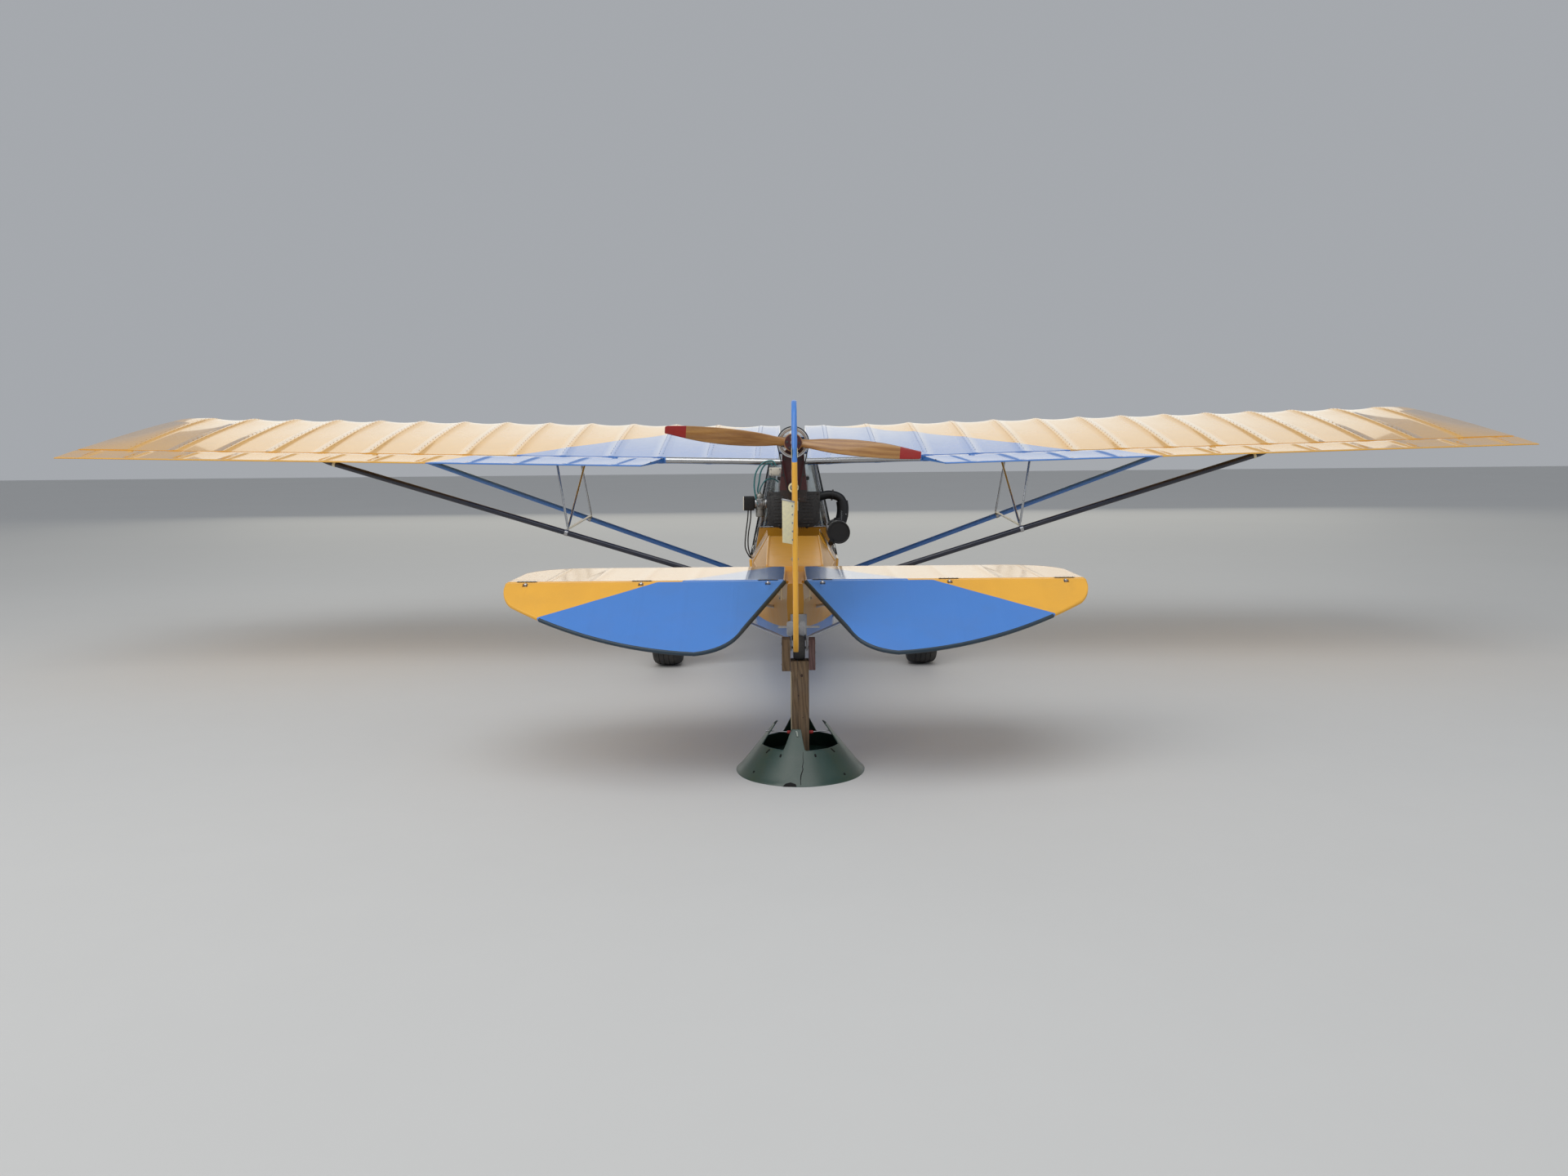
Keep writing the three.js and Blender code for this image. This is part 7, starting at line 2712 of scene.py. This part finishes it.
@dataclass
class Cabin:
    """The inside of the cabin: seats with belts, panel, stick, tank and the edges of the clear panels."""

    sill_half: float = 300.0
    sill: float = 735.0
    lean: float = 0.212
    cloth_top: float = 930.0
    voxel: float = 0.0055
    cloth_frames: int = 20
    swell: float = 0.012

    def half(self, height: float) -> float:
        """Gives half the width between the clear panels at a height."""
        return self.sill_half - (height - self.sill) * self.lean

    def build(self) -> None:
        """Makes what is in the cabin and round its panels."""
        self._seat("front", 3600.0, 311.0)
        self._seat("rear", 2860.0, 305.0)
        self._panel()
        self._stick()
        self._tank()
        self._bulkhead()
        self._edges()

    def _seat(self, name: str, station: float, floor: float) -> None:
        """Makes one seat: its shell, two cushions and its lap belt."""
        shell = Shape().add(merged_copy(f"{name}_seat", 0.008, 3))
        shell.piece(f"{name}_seat_shell", [BLACK_PLASTIC], "seat_cloth", [f"{name}_seat"])
        lean = atan2(180.0, 544.0)
        pan = Matrix.Translation(at(0, station + 275, floor + 135)) @ Matrix.Rotation(atan2(34, 335), 4, "X")
        back = Matrix.Translation(at(0, station + 48, floor + 385)) @ Matrix.Rotation(pi / 2 + lean, 4, "X")
        for part, place, size in (
            ("pan", pan, (0.345, 0.31, 0.052)), ("back", back, (0.335, 0.46, 0.050))
        ):
            self._cushion(f"{name}_seat_{part}", place, size)
        belt = Shape()
        for sign in (-1, 1):
            route = smooth_path([
                at(sign * 184, station + 96, floor + 92), at(sign * 176, station + 130, floor + 150),
                at(sign * 138, station + 190, floor + 186), at(sign * 84, station + 232, floor + 184),
                at(sign * 22, station + 250, floor + 184),
            ], 6)
            belt.add(self._strap(route, 0.022, 0.0022, Vector((0, 0.55, 0.83))))
        buckle = at(0, station + 252, floor + 187)
        belt.box(
            buckle - Vector((0.026, 0.024, 0.006)), buckle + Vector((0.026, 0.024, 0.006)), 0.003, 1,
            segments=3
        )
        belt.piece(f"{name}_lap_belt", [WEBBING, STEEL], "seat_cloth")

    def _strap(self, route: Sequence[Vector], half: float, thick: float, out: Vector) -> BMesh:
        """Sweeps a flat strap along a route.

        Args:
            route: the points of its middle line.
            half: half its width.
            thick: half its thickness.
            out: the direction that its face looks.

        Returns:
            The strap.
        """
        rows = []
        for index, spot in enumerate(route):
            tangent = (route[min(index + 1, len(route) - 1)] - route[max(index - 1, 0)]).normalized()
            across = tangent.cross(out).normalized()
            face = across.cross(tangent)
            rows.append([spot + across * a * half + face * b * thick for a, b in (
                (-1, -0.5), (-0.9, -1), (0.9, -1), (1, -0.5), (1, 0.5), (0.9, 1), (-0.9, 1), (-1, 0.5))])
        return lofted(rows)

    def _cushion(self, name: str, place: Matrix, size: Triple) -> None:
        """Makes one padded cushion with piping, blown up by a short cloth simulation.

        Args:
            name: name of the piece.
            place: where its middle goes.
            size: its width, depth and thickness.
        """
        wide, deep, thick = size
        part = block(Vector(size) / -2, Vector(size) / 2)
        bmesh.ops.bevel(
            part, geom=part.edges[:], offset=thick * 0.34, segments=3, profile=0.5, affect="EDGES",
            clamp_overlap=True, material=-1,
        )
        long_edges = [edge for edge in part.edges if edge.calc_length() > 0.04]
        bmesh.ops.subdivide_edges(part, edges=long_edges, cuts=15, use_grid_fill=True)
        bmesh.ops.triangulate(part, faces=[face for face in part.faces if len(face.verts) > 4])
        part = self._blown(part)
        for vert in part.verts:
            share_x = cos(pi * vert.co.x / wide)
            share_y = cos(pi * vert.co.y / deep)
            crown = max(0.0, share_x) * max(0.0, share_y)
            channel = 0.5 + 0.5 * cos(TURN * 3 * vert.co.y / deep)
            if abs(vert.co.z) > thick * 0.3:
                vert.co.z += copysign(0.006 * crown - 0.004 * channel * max(0.0, share_x) ** 0.3, vert.co.z)
        shape = Shape().add(part, place)
        cushion = shape.piece(name, [SEAT_CLOTH], "seat_cloth", angle=60.0)
        smooth = cushion.modifiers.new("round", "SUBSURF")
        smooth.levels = 1
        smooth.render_levels = 1
        piping = []
        for x, y in round_outline(wide / 2 - 0.004, deep / 2 - 0.004, 0.022, 6):
            piping.append(place @ Vector((x, y, thick * 0.22)))
        Shape().add(tube([*piping, piping[0]], 0.0032, 8)).piece(
            f"{name}_piping", [BLACK_RUBBER], "seat_cloth"
        )

    def _blown(self, part: BMesh) -> BMesh:
        """Args:
            part: the pad, round its own middle; it is used up.

        Returns:
            The swollen pad.
        """
        mesh = bpy.data.meshes.new("pad")
        part.to_mesh(mesh)
        part.free()
        pad = bpy.data.objects.new("pad", mesh)
        scene = bpy.context.scene
        scene.collection.objects.link(pad)
        even = pad.modifiers.new("even", "REMESH")
        even.mode = "VOXEL"
        even.voxel_size = self.voxel
        pad.data = bpy.data.meshes.new_from_object(pad.evaluated_get(bpy.context.evaluated_depsgraph_get()))
        pad.modifiers.clear()
        cloth = pad.modifiers.new("swell", "CLOTH")
        cloth.settings.use_pressure = True
        cloth.settings.uniform_pressure_force = 4.0
        cloth.settings.effector_weights.gravity = 0.0
        for number in range(1, self.cloth_frames + 1):
            scene.frame_set(number)
        swollen = pad.evaluated_get(bpy.context.evaluated_depsgraph_get()).data
        moves = [after.co - before.co for after, before in zip(swollen.vertices, pad.data.vertices)]
        for vert, move in zip(pad.data.vertices, moves):
            vert.co += move * min(1.0, self.swell / max(move.length, TINY))
        scene.frame_set(1)
        result = bmesh.new()
        result.from_mesh(pad.data)
        bpy.data.objects.remove(pad)
        return result

    def _panel(self) -> None:
        """Makes the instrument panel with its dials and switches."""
        shape = Shape().add(merged_copy("instrument_panel", 0.0015, 2))
        rear = 4404
        dials = (
            (-96, 800, 40), (0, 806, 40), (96, 800, 40), (-120, 702, 29), (-44, 704, 29), (44, 704, 29),
            (120, 702, 29)
        )
        for x, z, size in dials:
            bezel = [(size * 0.84 * MM, 0), (size * MM, 0), (size * MM, 0.004), (size * 0.94 * MM, 0.007)]
            bezel += [(size * 0.84 * MM, 0.005)]
            place = frame_on(at(x, rear, z), AFT)
            shape.add(turned(bezel, 40), place)
            shape.add(turned(peg(size * 0.845 * MM, 0.0015), 40), place, finish=1)
            for index in range(12):
                spoke = place @ Matrix.Rotation(TURN * index / 12, 4, "Z")
                shape.add(
                    block(
                        Vector((size * 0.62 * MM, -0.0008, 0.0014)),
                        Vector((size * 0.78 * MM, 0.0008, 0.0021))
                    ),
                    spoke, finish=2
                )
            shape.add(
                block(Vector((-0.006, -0.0010, 0.0018)), Vector((size * 0.6 * MM, 0.0010, 0.0027)), 0.0003),
                place @ Matrix.Rotation(1.1 + x * 0.02, 4, "Z"), finish=2
            )
        for index in range(5):
            knob = [(0, 0), (0.007, 0), (0.007, 0.003), (0.0035, 0.004), (0.003, 0.016), (0, 0.017)]
            shape.turn(knob, at(-60 + 30 * index, rear, 660), AFT, 16, 3)
        finishes = [BLACK_PLASTIC, DIAL_BLACK_AND_HOLE_SHADE, CREAM_PAINT, STEEL]
        shape.piece("instrument_panel_dressed", finishes, "black_plastic", ["instrument_panel"])

    def _stick(self) -> None:
        """Makes the control stick with its ribbed grip and boot."""
        shape = Shape()
        low, high = at(0, 4120, 318), at(0, 4080, 610)
        shape.add(tube([low, high], 0.009, 20), finish=1)
        run = (at(0, 4072, 700) - at(0, 4082, 600)).normalized()
        grip = [(0, 0), (0.013, 0.001)]
        for index in range(9):
            grip += [(0.0152, 0.006 + 0.010 * index), (0.0135, 0.011 + 0.010 * index)]
        grip += [(0.015, 0.097), (0.011, 0.102), (0, 0.102)]
        shape.turn(grip, at(0, 4082, 600), run, 28)
        boot = [
            (0, 0), (0.046, 0), (0.044, 0.006), (0.034, 0.008), (0.035, 0.014), (0.024, 0.018), (0.024, 0.024)
        ]
        boot += [(0.014, 0.030), (0.0095, 0.040), (0, 0.040)]
        shape.turn(boot, at(0, 4119.5, 315), Vector((0, -0.13, 1)).normalized(), 32)
        shape.piece("control_stick_dressed", [BLACK_RUBBER, ALUMINIUM], "rubber", ["control_stick"])

    def _tank(self) -> None:
        """Makes the moulded fuel tank with its ribs, cap, straps and outlet."""
        shape = Shape().add(merged_copy("fuel_tank", 0.022, 4))
        for x in (-110, -37, 37, 110):
            shape.box(at(x - 9, 2437.5, 360), at(x + 9, 2443, 590), 0.0024)
        cap = [(0, 0), (0.036, 0), (0.038, 0.004), (0.038, 0.018), (0.034, 0.022), (0, 0.022)]
        shape.turn(cap, at(60, 2555, 639), UP, 36, 1)
        for x, y in around(18, 38):
            spot = at(60 + x, 2555 + y, 650)
            shape.box(spot - Vector((0.002, 0.002, 0.007)), spot + Vector((0.002, 0.002, 0.007)), 0.0006, 1)
        for x in (-104, 128):
            loop = [(x, 2438.6, 330), (x, 2438.6, 641.4), (x, 2671.4, 641.4), (x, 2671.4, 330)]
            path = [at(*spot) for spot in loop]
            for start, end in zip(path, path[1:]):
                low = Vector(
                    (min(start.x, end.x) - 0.012, min(start.y, end.y) - 0.001, min(start.z, end.z) - 0.001)
                )
                top = Vector(
                    (max(start.x, end.x) + 0.012, max(start.y, end.y) + 0.001, max(start.z, end.z) + 0.001)
                )
                shape.box(low, top, 0.0004, 2)
        shape.piece(
            "fuel_tank_dressed", [CREAM_PLASTIC, RED_PLASTIC, WEBBING], "cream_plastic", ["fuel_tank"]
        )

    def _bulkhead(self) -> None:
        """Makes the rear bulkhead: cloth to just over the sill, clear sheet above, on its frame."""
        whole = merged_copy("rear_bulkhead")
        cut = at(0, 0, self.cloth_top)
        shape = Shape()
        for finish, keep_low in ((0, True), (1, False)):
            half = whole.copy()
            bmesh.ops.bisect_plane(
                half, geom=half.verts[:] + half.edges[:] + half.faces[:], plane_co=cut, plane_no=(0, 0, 1),
                clear_outer=keep_low, clear_inner=not keep_low,
            )
            bmesh.ops.holes_fill(half, edges=[edge for edge in half.edges if edge.is_boundary], sides=0)
            bmesh.ops.recalc_face_normals(half, faces=half.faces[:])
            shape.add(half, finish=finish)
        whole.free()
        low_half, top_z = self.half(self.cloth_top) - 22, 1370
        for sign in (-1, 1):
            rail = [
                at(sign * low_half, 2691, self.cloth_top), at(sign * (self.half(top_z) - 14), 2691, top_z)
            ]
            shape.add(tube(rail, 0.006, 12), finish=2)
        edge = [at(sign * low_half, 2691, self.cloth_top) for sign in (-1, 1)]
        shape.add(tube(edge, 0.006, 12), finish=2)
        shape.piece("rear_bulkhead_dressed", [YELLOW_CLOTH, CLEAR_SHEET, ALUMINIUM], "yellow_fabric",
                    ["rear_bulkhead"])

    def _edges(self) -> None:
        """Makes the black edge strips of the clear panels, with their rivets."""
        for side in Side:
            shape = Shape()
            sign = side.value
            corners = [(2724, 739), (3451, 739), (3451, self._roof(3451)), (2724, self._roof(2724))]
            loop = [*corners, corners[0]]
            for (y0, z0), (y1, z1) in zip(loop, loop[1:]):
                start = at(sign * (self.half(z0) + 1.4), y0, z0)
                end = at(sign * (self.half(z1) + 1.4), y1, z1)
                shape.add(
                    self._strap([start, start.lerp(end, 0.5), end], 0.013, 0.0016, Vector((sign, 0, 0.21)))
                )
                count = int((end - start).length / 0.09)
                for index in range(count):
                    spot = start.lerp(end, (index + 0.5) / count) + Vector((sign * 0.0015, 0, 0))
                    shape.turn(
                        [(0, 0), (0.004, 0), (0.003, 0.0015), (0, 0.002)], spot,
                        Vector((sign, 0, 0.2)).normalized(), 10, 1
                    )
            shape.piece(f"window_edges_{side.word}", [BLACK_RUBBER, ALUMINIUM], "rubber")

    def _roof(self, station: float) -> float:
        """Gives the height of the clear panels' upper edge."""
        return under_wing(station, 168.0) - 12


@dataclass
class Studio:
    """The floor, the lights and the camera at the photograph's angle."""

    lens: float = 25.99
    place: Triple = (-0.016, -7.626, 1.469)
    yaw: float = -0.395
    pitch: float = 7.031
    roll: float = 0.539
    floor: float = 60.0

    def build(self) -> None:
        """Makes the camera, the lights, the floor and the surroundings."""
        self._camera()
        self._floor()
        self._light("key_light", (-8.0, -8.0, 9.0), 9.0, 520.0, (1.0, 0.98, 0.95))
        self._light("fill_light", (9.0, -7.0, 6.0), 8.0, 120.0, (0.95, 0.97, 1.0))
        self._light("top_light", (0.0, -6.0, 11.0), 10.0, 420.0, (1.0, 1.0, 1.0))
        self._light("horizon_light", (0.0, 17.0, 6.5), 26.0, 560.0, (1.0, 0.95, 0.80), 11.0)
        world = bpy.data.worlds.new("soft_room")
        world.use_nodes = True
        world.node_tree.nodes["Background"].inputs[0].default_value = (0.90, 0.94, 1.0, 1.0)
        world.node_tree.nodes["Background"].inputs[1].default_value = 0.42
        bpy.context.scene.world = world
        bpy.context.scene.view_settings.view_transform = "Standard"

    def _camera(self) -> None:
        """Places the camera that was fitted to the photograph."""
        yaw, pitch, roll = (radians(angle) for angle in (self.yaw, self.pitch, self.roll))
        ahead = Vector((sin(yaw) * cos(pitch), cos(yaw) * cos(pitch), -sin(pitch)))
        right = Vector((cos(yaw), -sin(yaw), 0.0))
        up = right.cross(ahead)
        leaned = right * cos(roll) - up * sin(roll)
        top = up * cos(roll) + right * sin(roll)
        turn = Matrix((leaned, top, -ahead)).transposed().to_4x4()
        data = bpy.data.cameras.new("camera")
        data.lens = self.lens
        data.sensor_width = 36.0
        data.clip_end = 200.0
        camera = bpy.data.objects.new("camera", data)
        camera.matrix_world = Matrix.Translation(self.place) @ turn
        bpy.context.scene.collection.objects.link(camera)
        bpy.context.scene.camera = camera

    def _floor(self) -> None:
        """Lays the pale floor."""
        part = bmesh.new()
        bmesh.ops.create_grid(part, x_segments=4, y_segments=4, size=self.floor)
        mesh = bpy.data.meshes.new("floor")
        part.to_mesh(mesh)
        part.free()
        finish = Finish("floor_finish", (0.60, 0.60, 0.59), rough=0.7, spread=0.03, patch=0.4, grime=0.0)
        mesh.materials.append(finish.material())
        floor = bpy.data.objects.new("floor", mesh)
        bpy.context.scene.collection.objects.link(floor)
        floor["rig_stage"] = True

    def _light(
        self, name: str, place: Triple, size: float, power: float, colour: Colour,
        tall: float = 0.0,
    ) -> None:
        """Hangs one soft light that faces the aircraft.

        Args:
            name: name of the light.
            place: where it hangs.
            size: its width in metres.
            power: its power in watts.
            colour: its colour.
            tall: its height in metres where it is not round.
        """
        data = bpy.data.lights.new(name, "AREA")
        data.shape = "RECTANGLE" if tall else "DISK"
        data.size = size
        data.size_y = tall or size
        data.energy = power
        data.color = colour
        light = bpy.data.objects.new(name, data)
        light.visible_camera = False
        light.visible_transmission = False
        aim = Vector((0.0, 0.0, 0.9)) - Vector(place)
        light.matrix_world = Matrix.Translation(place) @ aim.to_track_quat("-Z", "Y").to_matrix().to_4x4()
        bpy.context.scene.collection.objects.link(light)


def main() -> None:
    """Builds the studio and the pieces in order."""
    logging.basicConfig(level=logging.INFO, format="%(message)s")
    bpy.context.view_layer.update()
    Studio().build()
    Intake().build()
    for side in Side:
        Wing(side).build()
        Flaperon(side).build()
        Struts(side).build()
    Engine().build()
    Drive().build()
    Propeller().build()
    Exhaust().build()
    Tail().build()
    Rear().build()
    Gear().build()
    Cabin().build()
    Stand().build()
    dress_kept_forms()


if __name__ == "__main__":
    main()
